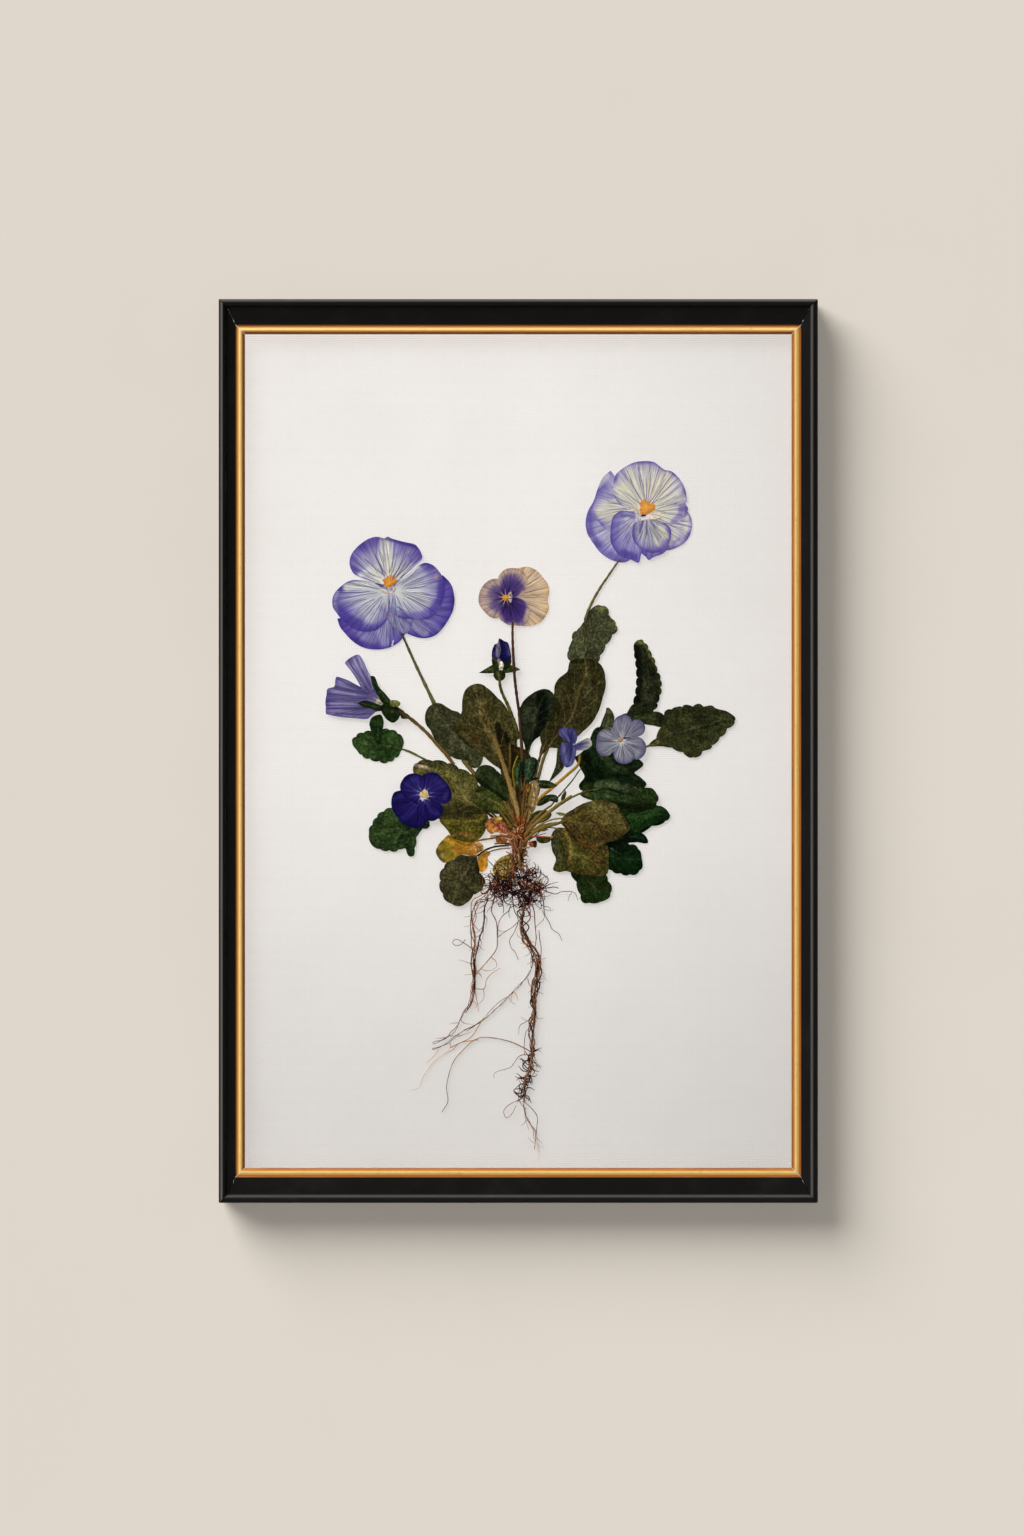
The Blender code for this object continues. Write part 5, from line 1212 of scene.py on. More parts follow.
def eye_shape(edge, middle, depth, inner, outer, seed):
    """A flower's eye: a small ragged sheet about its middle."""
    rim = smooth_line((*edge, edge[0]), EYE_STEP)
    x, z, share = rays(np.array(middle), rim, 0.02, 9)
    colour = linear(inner) + (linear(outer) - linear(inner)) * ease(share)[..., None]
    rise = depth + EYE_RISE * (1 - share ** 2)
    lie = np.stack([np.broadcast_to(travelled(rim)[None], x.shape), share, share * 0 + seed], -1)
    return sheet_shape(x, z, rise, EYE_THICKNESS, colour, lie)


# Each petal, from the back of its flower to the front: base, edge, how far out it
# lies, tones from base to edge, strokes
LEFT_BLOOM = (
    ((-66, 72), ((-91, 66.6), (-89.6, 62.4), (-86.6, 58.6), (-83.2, 55.2), (-79.2, 52.6), (-75, 51.3),
      (-70, 51), (-65.4, 51.8), (-62.2, 53.2), (-59.2, 55.4), (-57, 58.6), (-56, 62)), 8.35,
      ((0, (176, 176, 192)), (0.5, (150, 145, 186)), (0.75, (118, 108, 176)), (0.9, (88, 72, 156)),
      (1, (62, 48, 130))), ((((-63.2, 53), (-63, 55.4)), 0.25, (232, 230, 228), 0.9),
      (((-64, 66), (-62.4, 58)), 0.6, (82, 80, 116), 0.7), (((-78, 58), (-73, 56)), 2, (150, 146, 196),
      0.6), (((-69, 60), (-67, 55)), 2.2, (168, 166, 200), 0.6))),
    ((-60, 72), ((-38, 88.5), (-35, 85.5), (-33, 82), (-32, 76), (-32.7, 71), (-34, 68), (-36, 64.5),
      (-39, 60.5), (-42, 58), (-46, 56.8), (-50, 57), (-55, 58.7), (-58, 61)), 8.5,
      ((0, (176, 174, 196)), (0.5, (142, 137, 182)), (0.8, (104, 92, 168)), (0.94, (82, 68, 154)),
      (1, (60, 46, 124))), ((((-54, 65), (-47, 60)), 2.2, (174, 169, 200), 0.7),
      (((-39.5, 70.3), (-32.5, 70.8)), 0.3, (66, 52, 130), 0.7),
      (((-44, 63), (-40, 61)), 1.6, (128, 120, 184), 0.6))),
    ((-64.5, 82), ((-69, 84), (-73, 85.2), (-76.5, 86.3), (-80, 87.6), (-83, 89.5), (-84.8, 94),
      (-84, 98.5), (-81.5, 102), (-78, 105), (-74.5, 107), (-71, 107.7), (-67.5, 107), (-65.5, 107.8),
      (-63.5, 106.8), (-58, 105.3), (-52.3, 104), (-50.5, 102.5), (-49, 100), (-48.2, 97.2), (-49.8, 95),
      (-53, 92.5), (-57, 89.5), (-60.5, 86)), 8.7, ((0, (236, 232, 214)), (0.45, (220, 217, 212)),
      (0.66, (178, 173, 202)), (0.85, (132, 120, 180)), (0.96, (96, 82, 158)), (1, (84, 68, 146))),
      ((((-66, 88), (-66.5, 97), (-66.5, 104)), 3.2, (226, 222, 208), 0.75),
      (((-66.5, 106.6), (-62, 105.8), (-58, 104.4), (-51.5, 102.6)), 0.8, (60, 45, 128), 0.8),
      (((-79, 88.6), (-75, 91)), 1.3, (232, 232, 236), 0.7),
      (((-83, 93), (-82, 99)), 1.6, (126, 114, 176), 0.6), (((-53, 97), (-50, 99)), 2.2, (104, 88, 166),
      0.6), (((-67, 88), (-72, 92), (-77, 96.5)), 0.32, (84, 68, 140), 0.75),
      (((-68, 90), (-71.5, 98), (-71, 106)), 0.3, (88, 72, 146), 0.7),
      (((-66.8, 89), (-70, 95)), 0.3, (80, 64, 136), 0.75),
      (((-62.5, 88), (-59.5, 92.5), (-56, 99)), 0.32, (76, 60, 136), 0.8),
      (((-63, 90), (-61, 97), (-60, 100)), 0.28, (84, 70, 142), 0.75),
      (((-64.5, 90), (-63, 96), (-62, 104)), 0.28, (84, 70, 142), 0.7),
      (((-61.5, 87.5), (-57.5, 91), (-53.5, 96)), 0.32, (76, 60, 136), 0.8),
      (((-69, 87.2), (-75, 89), (-81, 91)), 0.26, (96, 84, 150), 0.6),
      (((-66, 90), (-67.6, 98), (-68, 104)), 0.24, (120, 108, 164), 0.5))),
    ((-66, 80.5), ((-68, 83.6), (-72, 85), (-77, 85.6), (-82, 86), (-86, 85), (-90, 82), (-92.5, 79),
      (-93.5, 75.5), (-93, 72), (-91, 69), (-89.5, 67), (-87, 64.5), (-83, 61.5), (-79, 60.2), (-75, 60),
      (-71, 61), (-68, 63.5), (-66, 66), (-65, 69), (-64.4, 75)), 8.9,
      ((0, (212, 212, 214)), (0.4, (204, 204, 216)), (0.62, (176, 175, 204)), (0.82, (124, 114, 178)),
      (0.95, (84, 69, 154)), (1, (74, 60, 146))), ((((-72, 83.4), (-80, 83.6), (-86, 82.3)), 1.9,
      (227, 227, 216), 0.8), (((-91, 80), (-92.5, 75), (-91, 70)), 0.9, (164, 162, 186), 0.6),
      (((-89, 70), (-86, 67), (-80, 64)), 2.4, (68, 52, 146), 0.75),
      (((-92, 78.5), (-84, 79), (-75, 80.3)), 0.3, (122, 116, 156), 0.7),
      (((-77, 72), (-74, 66.5)), 2.4, (190, 190, 204), 0.7),
      (((-69, 72), (-67, 68)), 1.4, (150, 146, 184), 0.7))),
    ((-63, 74), ((-67, 68), (-64.5, 64), (-62, 61.6), (-57, 58.8), (-54.5, 61), (-53, 66), (-55, 70)),
      9.05, ((0, (176, 178, 190)), (0.4, (160, 160, 182)), (0.8, (138, 136, 172)), (1, (108, 100, 156))),
      ((((-65.4, 68.7), (-65, 68)), 0.5, (170, 92, 82), 0.8),
      (((-62.6, 71), (-61.6, 64)), 0.4, (88, 84, 128), 0.6),
      (((-59.6, 71), (-57, 62)), 0.4, (110, 106, 150), 0.5))),
    ((-62.5, 81), ((-62.6, 85.2), (-60, 86.3), (-56, 88.6), (-52, 91.5), (-49.5, 93.6), (-46.5, 94.6),
      (-43, 93.5), (-40, 90.5), (-37.5, 86), (-37, 79), (-38.5, 74), (-41, 69.5), (-45, 66.5), (-50, 66),
      (-54, 66.5), (-58, 66.4), (-62, 68.6), (-64, 73)), 9.2,
      ((0, (214, 214, 214)), (0.45, (200, 200, 212)), (0.7, (180, 179, 206)), (0.84, (128, 118, 178)),
      (1, (74, 58, 144))), ((((-59, 86.2), (-50, 92.2)), 1, (232, 230, 228), 0.8),
      (((-38.6, 84), (-39, 77), (-43, 70.5)), 1.9, (70, 55, 150), 0.75),
      (((-52, 78), (-47, 75)), 2.8, (210, 207, 204), 0.7), (((-41, 88), (-41, 87)), 0.9, (208, 166, 140),
      0.8), (((-64, 76), (-61, 70)), 2, (148, 152, 190), 0.7),
      (((-52, 68.6), (-46, 69)), 1.4, (112, 102, 172), 0.6),
      (((-42, 91), (-39.5, 87)), 1.2, (116, 104, 170), 0.6))))

RIGHT_BLOOM = (
    ((66, 117), ((84.5, 121), (86.6, 118), (87.4, 113), (86, 108), (83.4, 104.6), (80, 102.5), (76, 101),
      (71, 100.6)), 8.35, ((0, (214, 210, 206)), (0.7, (206, 201, 206)), (0.9, (170, 162, 196)),
      (1, (104, 92, 164))), ((((84.6, 118), (84, 110)), 1.2, (226, 220, 202), 0.6),
      (((78, 104.6), (81, 106.6)), 0.8, (120, 110, 170), 0.6))),
    ((62, 120), ((46.4, 141), (42.6, 137.6), (39.8, 131.6), (38, 126), (35, 120.5), (33.8, 115),
      (34.5, 110), (36.6, 106), (38, 104), (41, 100), (45, 97), (49, 95.3), (53, 94.8), (56, 96),
      (59, 99)), 8.5, ((0, (206, 204, 212)), (0.5, (196, 195, 212)), (0.76, (172, 169, 205)),
      (0.92, (132, 123, 186)), (1, (92, 80, 158))), ((((41.5, 111), (45, 106.5)), 2.4, (176, 172, 204),
      0.7), (((36, 119), (36.6, 110), (41, 103)), 1.1, (88, 76, 160), 0.6),
      (((40.6, 134), (45, 138.8)), 1.5, (196, 194, 212), 0.7),
      (((46, 99), (53, 97)), 1.2, (100, 90, 168), 0.6))),
    ((60, 122.5), ((47.5, 129.2), (44, 129.8), (41, 129), (38.6, 126.8), (37.6, 123), (37.5, 120.5),
      (38.5, 117.8), (40.5, 115), (43, 112.2), (46, 110.6), (49.5, 112), (54, 116)), 8.7,
      ((0, (222, 218, 206)), (0.5, (214, 210, 200)), (0.76, (200, 197, 202)), (0.94, (160, 153, 194)),
      (1, (112, 101, 170))), ((((42, 120), (49, 118)), 3, (218, 214, 194), 0.75),
      (((40, 127.6), (47, 127.6)), 1.2, (132, 124, 184), 0.7),
      (((45, 113), (49, 114)), 1, (150, 144, 190), 0.6))),
    ((64, 120), ((53, 122.6), (49.6, 125.6), (47.7, 129.5), (47.8, 134), (48.5, 138), (50.5, 140.5),
      (54, 143), (58, 145), (63.5, 145.8), (68, 145.3), (70.5, 143.6), (73.5, 141.4), (77, 140.6),
      (80, 138), (82.5, 134.5), (84, 131), (84.8, 126), (84, 124.3), (85.3, 122), (84.5, 119),
      (82.5, 116.6), (78, 114.2), (73, 114.6)), 8.9, ((0, (226, 220, 196)), (0.5, (216, 212, 194)),
      (0.8, (208, 205, 202)), (0.95, (178, 172, 198)), (1, (112, 100, 164))),
      ((((82, 122.4), (81.6, 118.4), (78, 115.6)), 1.5, (108, 96, 168), 0.7),
      (((66, 130), (74, 137)), 3.4, (228, 222, 192), 0.6), (((52, 131.4), (57, 135)), 2.2,
      (226, 220, 192), 0.6), (((84, 124.4), (77, 123.6)), 0.3, (150, 142, 180), 0.6),
      (((63.8, 125), (62.6, 134), (60, 142.6)), 0.3, (92, 76, 150), 0.7),
      (((62.6, 125), (58, 132.6), (53.6, 139)), 0.3, (92, 76, 150), 0.7),
      (((65, 125), (66.4, 134), (66, 143.4)), 0.3, (96, 80, 152), 0.65),
      (((66, 124.8), (71, 131.6), (74, 139)), 0.3, (96, 80, 152), 0.65),
      (((61.6, 124), (55.6, 128.6), (50, 131.6)), 0.3, (96, 82, 150), 0.6),
      (((67, 124.4), (75, 128.6), (81, 132.6)), 0.3, (104, 90, 156), 0.6),
      (((68, 123), (76, 124.4), (83, 126.6)), 0.26, (112, 98, 160), 0.55),
      (((68.4, 121.4), (75, 119.6), (82, 119)), 0.3, (96, 82, 152), 0.6),
      (((64.4, 125.4), (64.4, 133), (63.2, 144)), 0.22, (120, 106, 166), 0.5))),
    ((60, 118.5), ((58, 120.4), (52, 120.6), (49, 119.2), (47, 116), (46.3, 110), (46.5, 105),
      (48.5, 101), (51, 98.2), (54, 96.9), (57, 96), (60.4, 94.6), (61.4, 97.6), (62.6, 103), (62, 110)),
      9.1, ((0, (186, 183, 202)), (0.35, (176, 174, 203)), (0.62, (158, 154, 198)),
      (0.86, (118, 108, 180)), (1, (80, 67, 152))), ((((52, 118.4), (58, 117.6)), 1, (92, 82, 150), 0.7),
      (((54.6, 116.4), (58, 113.6)), 1.4, (204, 203, 212), 0.7),
      (((50, 117), (49, 108)), 1.4, (126, 118, 184), 0.6), (((53, 100), (58.6, 97.6)), 1.6,
      (70, 56, 148), 0.7), (((55, 108), (56, 102)), 1.6, (136, 130, 190), 0.6))),
    ((66, 118), ((60.6, 104), (62, 99.4), (64, 97.8), (65.5, 95.9), (68, 97.4), (73, 99.4), (76, 103)),
      8.95, ((0, (196, 192, 204)), (0.7, (168, 160, 196)), (0.9, (116, 104, 170)), (1, (84, 70, 150))),
      ()),
    ((64.5, 116.6), ((58.6, 114.8), (57.4, 112), (57.5, 107), (60, 103), (63.5, 100.4), (68, 99.6),
      (72, 100.6), (75, 103), (76.5, 107), (76.8, 111), (75, 113.4), (71, 115.6)), 9.25,
      ((0, (176, 172, 180)), (0.4, (178, 178, 182)), (0.72, (176, 173, 192)), (0.9, (118, 106, 168)),
      (1, (74, 60, 140))), ((((71.4, 112), (74, 108)), 1.6, (216, 212, 184), 0.75),
      (((68.4, 106.4), (70.6, 104)), 1.1, (208, 204, 186), 0.7),
      (((67, 113), (68.6, 110), (70.4, 107.6)), 1.4, (150, 156, 140), 0.7),
      (((62.6, 115.4), (61, 110)), 0.6, (76, 62, 140), 0.75),
      (((64.6, 115.6), (64.6, 109)), 0.4, (84, 70, 146), 0.7),
      (((66.4, 115.6), (68.8, 112.4)), 0.5, (78, 64, 140), 0.7),
      (((61, 106), (64, 103.6)), 1.4, (150, 145, 190), 0.6))))

BICOLOUR_BLOOM = (
    ((-4, 77.5), ((-2, 91.4), (1, 92.2), (5, 92.6), (9.5, 90.6), (12.5, 87.2), (15, 83.6), (15.6, 80),
      (14.8, 76), (15.4, 72), (14, 68.4), (11.5, 65), (7, 63), (2, 62.8), (-1, 64.4)), 8.4,
      ((0, (206, 190, 172)), (0.5, (206, 186, 160)), (0.75, (226, 203, 170)), (0.95, (224, 198, 160)),
      (1, (196, 168, 132))), ((((6.6, 79), (14.4, 76.6)), 0.35, (176, 150, 122), 0.7),
      (((5.4, 84), (11, 88)), 2.4, (232, 212, 184), 0.6), (((5, 66), (10, 68)), 1.8, (216, 194, 162),
      0.6), (((6, 73.6), (9.6, 71.6)), 1.4, (196, 176, 156), 0.6),
      (((4.6, 82), (9, 82.6)), 1, (200, 182, 160), 0.6))),
    ((-5.5, 77), ((-8, 86), (-9.5, 86.4), (-13, 86.5), (-16.5, 84.5), (-19, 81), (-20, 77),
      (-19.5, 73.5), (-17, 70), (-14, 67.3), (-11, 66.7), (-9, 67.6)), 8.55,
      ((0, (70, 54, 120)), (0.35, (92, 76, 142)), (0.56, (118, 100, 152)), (0.7, (176, 158, 168)),
      (0.85, (196, 176, 162)), (1, (166, 144, 138))), ((((-12, 82), (-14, 79)), 1.6, (104, 88, 148),
      0.6), (((-11.6, 71.4), (-13.6, 73)), 1.4, (96, 80, 146), 0.6),
      (((-19, 78), (-12, 77)), 0.4, (136, 116, 132), 0.6))),
    ((-5, 77.5), ((-10.6, 84.6), (-9.6, 88.4), (-6.5, 91.3), (-3, 92), (0.5, 91.5), (3.3, 89.3),
      (4.8, 86), (4.3, 82.5), (2.5, 79), (0, 77.4)), 8.75, ((0, (66, 50, 118)), (0.45, (74, 58, 132)),
      (0.64, (98, 82, 146)), (0.8, (170, 150, 164)), (0.92, (208, 186, 160)), (1, (176, 152, 130))),
      ((((-5.6, 87.4), (-2, 87.8)), 1.4, (104, 88, 150), 0.6),
      (((0.6, 83.4), (2.6, 81.6)), 1.1, (86, 70, 140), 0.7),
      (((-4.6, 80), (-3.6, 88)), 0.3, (44, 30, 96), 0.7), (((-6, 80), (-7.6, 86)), 0.3, (44, 30, 96),
      0.7), (((-3.4, 79.6), (0.6, 85)), 0.3, (44, 30, 96), 0.7))),
    ((-5, 77), ((-10.4, 70), (-9.8, 67.3), (-8.5, 65.5), (-5, 63.4), (-2, 63.2), (1, 62.8), (4, 64),
      (5.5, 67.5), (5.8, 71.5), (4.3, 74.5), (1, 76.9), (-1.6, 77.6)), 8.9,
      ((0, (48, 34, 98)), (0.5, (56, 40, 112)), (0.74, (72, 55, 128)), (0.88, (128, 108, 150)),
      (1, (176, 154, 144))), ((((3.6, 66), (5.2, 71)), 1, (206, 184, 160), 0.7),
      (((-6, 66), (0, 65.6)), 1.3, (60, 44, 118), 0.7), (((-4.6, 74), (-3.6, 68)), 0.4, (32, 20, 84),
      0.8), (((-3.4, 74.6), (0, 69)), 0.4, (32, 20, 84), 0.8),
      (((-6, 74.4), (-7.6, 69.6)), 0.4, (32, 20, 84), 0.8),
      (((0, 75), (3.4, 73.4)), 0.6, (84, 68, 132), 0.6))))

DARK_BLOOM = (
    ((-49, -24), ((-58.6, -19.6), (-59.6, -19.8), (-62.5, -21), (-63.8, -25), (-63.2, -29.5), (-60, -34),
      (-56, -37.5), (-51, -38.7), (-47, -37), (-45.4, -33), (-46, -29)), 9.95,
      ((0, (62, 50, 132)), (0.4, (38, 30, 104)), (0.8, (27, 20, 84)), (1, (14, 10, 62))),
      ((((-61.6, -26), (-55, -25.4)), 0.5, (16, 10, 64), 0.8),
      (((-58, -33.6), (-53, -30)), 1.2, (50, 42, 122), 0.6),
      (((-51, -36), (-49.4, -30)), 0.5, (14, 8, 60), 0.7), (((-62.4, -24), (-58, -22)), 0.9,
      (54, 46, 126), 0.6))),
    ((-47.5, -22), ((-48.6, -12.4), (-48, -12), (-45, -10.9), (-41.5, -10.9), (-38, -13.8), (-35, -17.3),
      (-33.5, -21.5), (-34.5, -25), (-38, -26.4), (-43, -25.4)), 10.1,
      ((0, (70, 60, 138)), (0.4, (46, 38, 116)), (0.8, (34, 26, 98)), (1, (18, 12, 70))),
      ((((-42, -14), (-38, -17)), 1.6, (58, 50, 128), 0.6),
      (((-36, -22.4), (-41, -23)), 0.5, (16, 10, 66), 0.7),
      (((-35.6, -20), (-37, -23.6)), 0.9, (70, 64, 134), 0.5))),
    ((-48.5, -21.5), ((-50.6, -27), (-54, -25), (-57.4, -22.6), (-59.4, -18.5), (-58.5, -15),
      (-56, -12.1), (-52, -11.1), (-48.6, -12.4), (-46.6, -15)), 10.25,
      ((0, (78, 70, 142)), (0.4, (52, 46, 122)), (0.8, (36, 29, 100)), (1, (16, 11, 68))),
      ((((-55.6, -16), (-52, -14)), 1.4, (56, 50, 128), 0.6),
      (((-58.2, -18.4), (-53.6, -19)), 0.4, (16, 10, 66), 0.7))),
    ((-47, -24), ((-44.6, -25.6), (-41, -26), (-38.6, -26.8), (-37.7, -30), (-39.8, -33.5), (-43, -35.2),
      (-46.5, -34.4), (-50, -32), (-51, -28.4)), 10.4, ((0, (66, 56, 130)), (0.4, (42, 34, 110)),
      (0.8, (30, 22, 92)), (1, (14, 9, 62))), ((((-43, -30), (-40.6, -31.4)), 1.2, (54, 46, 122), 0.6),
      (((-46.8, -27), (-46, -32)), 0.4, (14, 8, 60), 0.8))))
DARK_RAYS = (
    ((-47, -19.6), (-46.6, -16.8)), ((-46, -19.8), (-43.6, -17.8)), ((-48.6, -19.6), (-50.4, -17)),
    ((-49.6, -20.4), (-52.8, -19.4)), ((-49.8, -21.8), (-53, -22.6)), ((-49, -23.2), (-50.8, -26)),
    ((-47.4, -23.6), (-47, -27.2)), ((-46.2, -23.4), (-43.8, -26)), ((-44.8, -22.6), (-41.6, -23.6)),
    ((-44.6, -21.2), (-41.4, -20.6)))

PALE_BLOOM = (
    ((51.5, 4.5), ((46, 10.6), (43, 11.2), (40, 8.6), (39.2, 4.4), (39.4, 0.4), (42, -2.3), (45.6, -2.2),
      (48.6, 0.6)), 10.05, ((0, (196, 194, 212)), (0.45, (158, 156, 178)), (0.85, (132, 130, 152)),
      (1, (92, 86, 132))), ((((40.4, 5), (46, 5.2)), 0.35, (92, 90, 118), 0.7),
      (((42, 8.4), (46, 8)), 1.2, (174, 172, 190), 0.6), (((42, 0.6), (45, 1.4)), 1.3, (150, 148, 172),
      0.6))),
    ((52, 5.5), ((48, 9.6), (47.4, 13), (49, 16.6), (52.6, 18.3), (56, 17.2), (57.2, 13.6), (55.6, 9.6)),
      10.2, ((0, (202, 198, 214)), (0.45, (160, 157, 184)), (0.85, (136, 132, 160)), (1, (86, 78, 136))),
      ((((52, 17), (52.2, 11)), 0.35, (94, 90, 124), 0.7), (((50, 14.6), (52, 12.6)), 1.1,
      (176, 173, 196), 0.6))),
    ((52.5, 5.5), ((55.4, 11.4), (56.6, 14.4), (59.6, 15.9), (62.6, 14.6), (63.8, 11.4), (62.4, 8.4),
      (58.6, 6.6)), 10.15, ((0, (196, 192, 210)), (0.5, (150, 146, 176)), (0.85, (130, 126, 156)),
      (1, (84, 76, 132))), ((((61.6, 12.6), (57.6, 9.4)), 0.35, (92, 86, 122), 0.7),)),
    ((52.5, 4.8), ((57.4, 7.4), (61.6, 6.6), (64.2, 3), (63.6, -1.4), (60.4, -4.2), (57, -3.4),
      (54.6, 0)), 10.3, ((0, (200, 196, 212)), (0.5, (160, 156, 184)), (0.85, (134, 130, 160)),
      (1, (86, 78, 134))), ((((62.6, 1.6), (57, 3.2)), 0.35, (94, 88, 124), 0.7),
      (((59, -2), (60.6, 0.6)), 1.2, (170, 166, 190), 0.6))),
    ((51.8, 4.2), ((48.4, 2), (47.8, -1.6), (49.2, -5), (52.6, -6.5), (56.6, -5.4), (58.4, -2),
      (56.8, 1.8)), 10.45, ((0, (206, 202, 214)), (0.45, (166, 163, 188)), (0.85, (140, 137, 164)),
      (1, (90, 82, 138))), ((((53, -4.6), (52.4, 1)), 0.35, (86, 80, 120), 0.7),
      (((50.4, -2.6), (51.2, 0.6)), 1, (180, 177, 198), 0.6))))
PALE_MARKS = (
    (((52.6, 6.4), (56.2, 6.8)), 0.9, (40, 34, 58)),
    (((50, 5.2), (47.2, 5)), 0.5, (226, 222, 226)),
    (((51.6, 7.4), (51.6, 10.2)), 0.5, (216, 212, 222)),
    (((51.6, 3.6), (51.8, 0.6)), 0.6, (224, 220, 226)))

SMALL_BLOOM = (
    ((25, 1.6), ((28.8, 2.6), (34, 6.4), (36.4, 5.6), (36.8, 2.8), (33.6, 0.6), (27.4, 0)), 9.6,
      ((0, (70, 66, 122)), (0.6, (96, 92, 146)), (0.85, (176, 170, 182)), (1, (206, 196, 184))),
      ((((29, 3), (35, 4.4)), 0.5, (52, 50, 104), 0.7),)),
    ((26, 3.6), ((20.4, 8), (20.8, 11.2), (24.6, 11.9), (28.6, 10.4), (29.6, 6.6), (28.6, 3.6)), 9.75,
      ((0, (42, 40, 92)), (0.5, (66, 64, 122)), (0.85, (92, 90, 148)), (1, (60, 56, 118))),
      ((((22.4, 10.2), (25.6, 5)), 0.5, (122, 120, 172), 0.7),
      (((27, 10), (26.6, 5.6)), 0.5, (30, 28, 78), 0.7), (((24.6, 10.6), (26, 6)), 0.3, (34, 32, 84),
      0.7))),
    ((26.4, 4), ((21.6, 4.4), (21, 0), (21.6, -4.6), (24, -8.2), (27.4, -6.6), (29, -1.6), (29.2, 2.6)),
      9.9, ((0, (46, 44, 98)), (0.4, (74, 72, 130)), (0.8, (104, 101, 158)), (1, (66, 62, 124))),
      ((((22.8, 2), (24.2, -5.6)), 0.6, (130, 127, 178), 0.7),
      (((26.6, 2), (26, -5)), 0.4, (36, 34, 88), 0.8), (((28, 1), (27.2, -4.6)), 0.5, (118, 115, 168),
      0.6))))

SIDE_BLOOM = (
    ((-72, 27), ((-69.6, 29), (-72.6, 35), (-75.6, 40.4), (-78, 45.6), (-79.8, 48.2), (-81.4, 48.4),
      (-84.6, 46.8), (-86.8, 44.8), (-86.9, 43.8), (-84, 40.2), (-81, 35.6), (-77.6, 29.4), (-76, 26)),
      9.2, ((0, (84, 77, 118)), (0.45, (112, 105, 154)), (0.85, (128, 122, 172)), (1, (86, 78, 138))),
      ((((-74, 32), (-77.6, 39), (-81, 46)), 0.45, (66, 58, 116), 0.8),
      (((-75.6, 31), (-80.4, 38), (-84.6, 44)), 0.35, (74, 66, 126), 0.75),
      (((-72.4, 34), (-75, 38.6)), 1, (146, 140, 184), 0.6),
      (((-79, 42), (-82, 45.6)), 1, (140, 134, 184), 0.6), (((-73, 28.4), (-77, 32.4)), 0.9,
      (62, 55, 108), 0.7))),
    ((-69, 26.5), ((-76.4, 30.4), (-79.6, 31), (-82, 33.6), (-85.6, 35.6), (-89.4, 37), (-91.2, 37.4),
      (-91.9, 36), (-92.2, 32.8), (-93.6, 32), (-95.9, 31.2), (-96.3, 28.6), (-96.4, 24.6), (-90, 23.6),
      (-84, 23.4)), 9.35, ((0, (70, 63, 106)), (0.4, (96, 89, 138)), (0.8, (112, 105, 158)),
      (1, (78, 70, 130))), ((((-74, 28.6), (-82, 30), (-92, 32)), 0.6, (54, 47, 102), 0.85),
      (((-79, 31.6), (-86, 34.4), (-91, 36.4)), 0.5, (70, 62, 122), 0.75),
      (((-76, 26.6), (-86, 27), (-95.6, 27.6)), 0.45, (58, 51, 108), 0.8),
      (((-85, 33), (-90, 34.6)), 0.9, (132, 126, 176), 0.6),
      (((-82, 28.4), (-93, 29.6)), 0.7, (134, 128, 180), 0.6),
      (((-84, 25.2), (-94, 25.6)), 0.7, (126, 120, 172), 0.6))),
    ((-68, 23), ((-88, 26.6), (-96.2, 26), (-96.7, 22), (-96.6, 18.8), (-95, 18.2), (-90, 17.2),
      (-84, 16.6), (-77.4, 16.1), (-75, 16.6), (-73.4, 19.2)), 9.5,
      ((0, (66, 59, 98)), (0.4, (90, 83, 132)), (0.8, (108, 101, 154)), (1, (74, 66, 126))),
      ((((-74, 21.8), (-84, 21.4), (-95.6, 21.4)), 0.55, (52, 46, 100), 0.85),
      (((-74, 18.8), (-82, 18.4), (-92, 19.2)), 0.45, (60, 53, 108), 0.75),
      (((-82, 23.8), (-94, 23.8)), 0.8, (128, 122, 172), 0.65),
      (((-84, 19.8), (-94, 20.2)), 0.6, (124, 118, 168), 0.6),
      (((-88, 17.6), (-80, 17)), 0.5, (120, 113, 162), 0.6))),
    ((-65.4, 23), ((-69, 31), (-71.6, 31.6), (-75.6, 28.4), (-77, 25), (-75.6, 21), (-71.4, 19.6)), 9.65,
      ((0, (150, 144, 118)), (0.5, (122, 116, 130)), (0.8, (96, 89, 138)), (1, (72, 65, 118))),
      ((((-67.4, 28.6), (-71, 24.4)), 0.8, (186, 181, 158), 0.75),
      (((-68.6, 30), (-73.6, 27)), 0.35, (52, 46, 92), 0.7))))

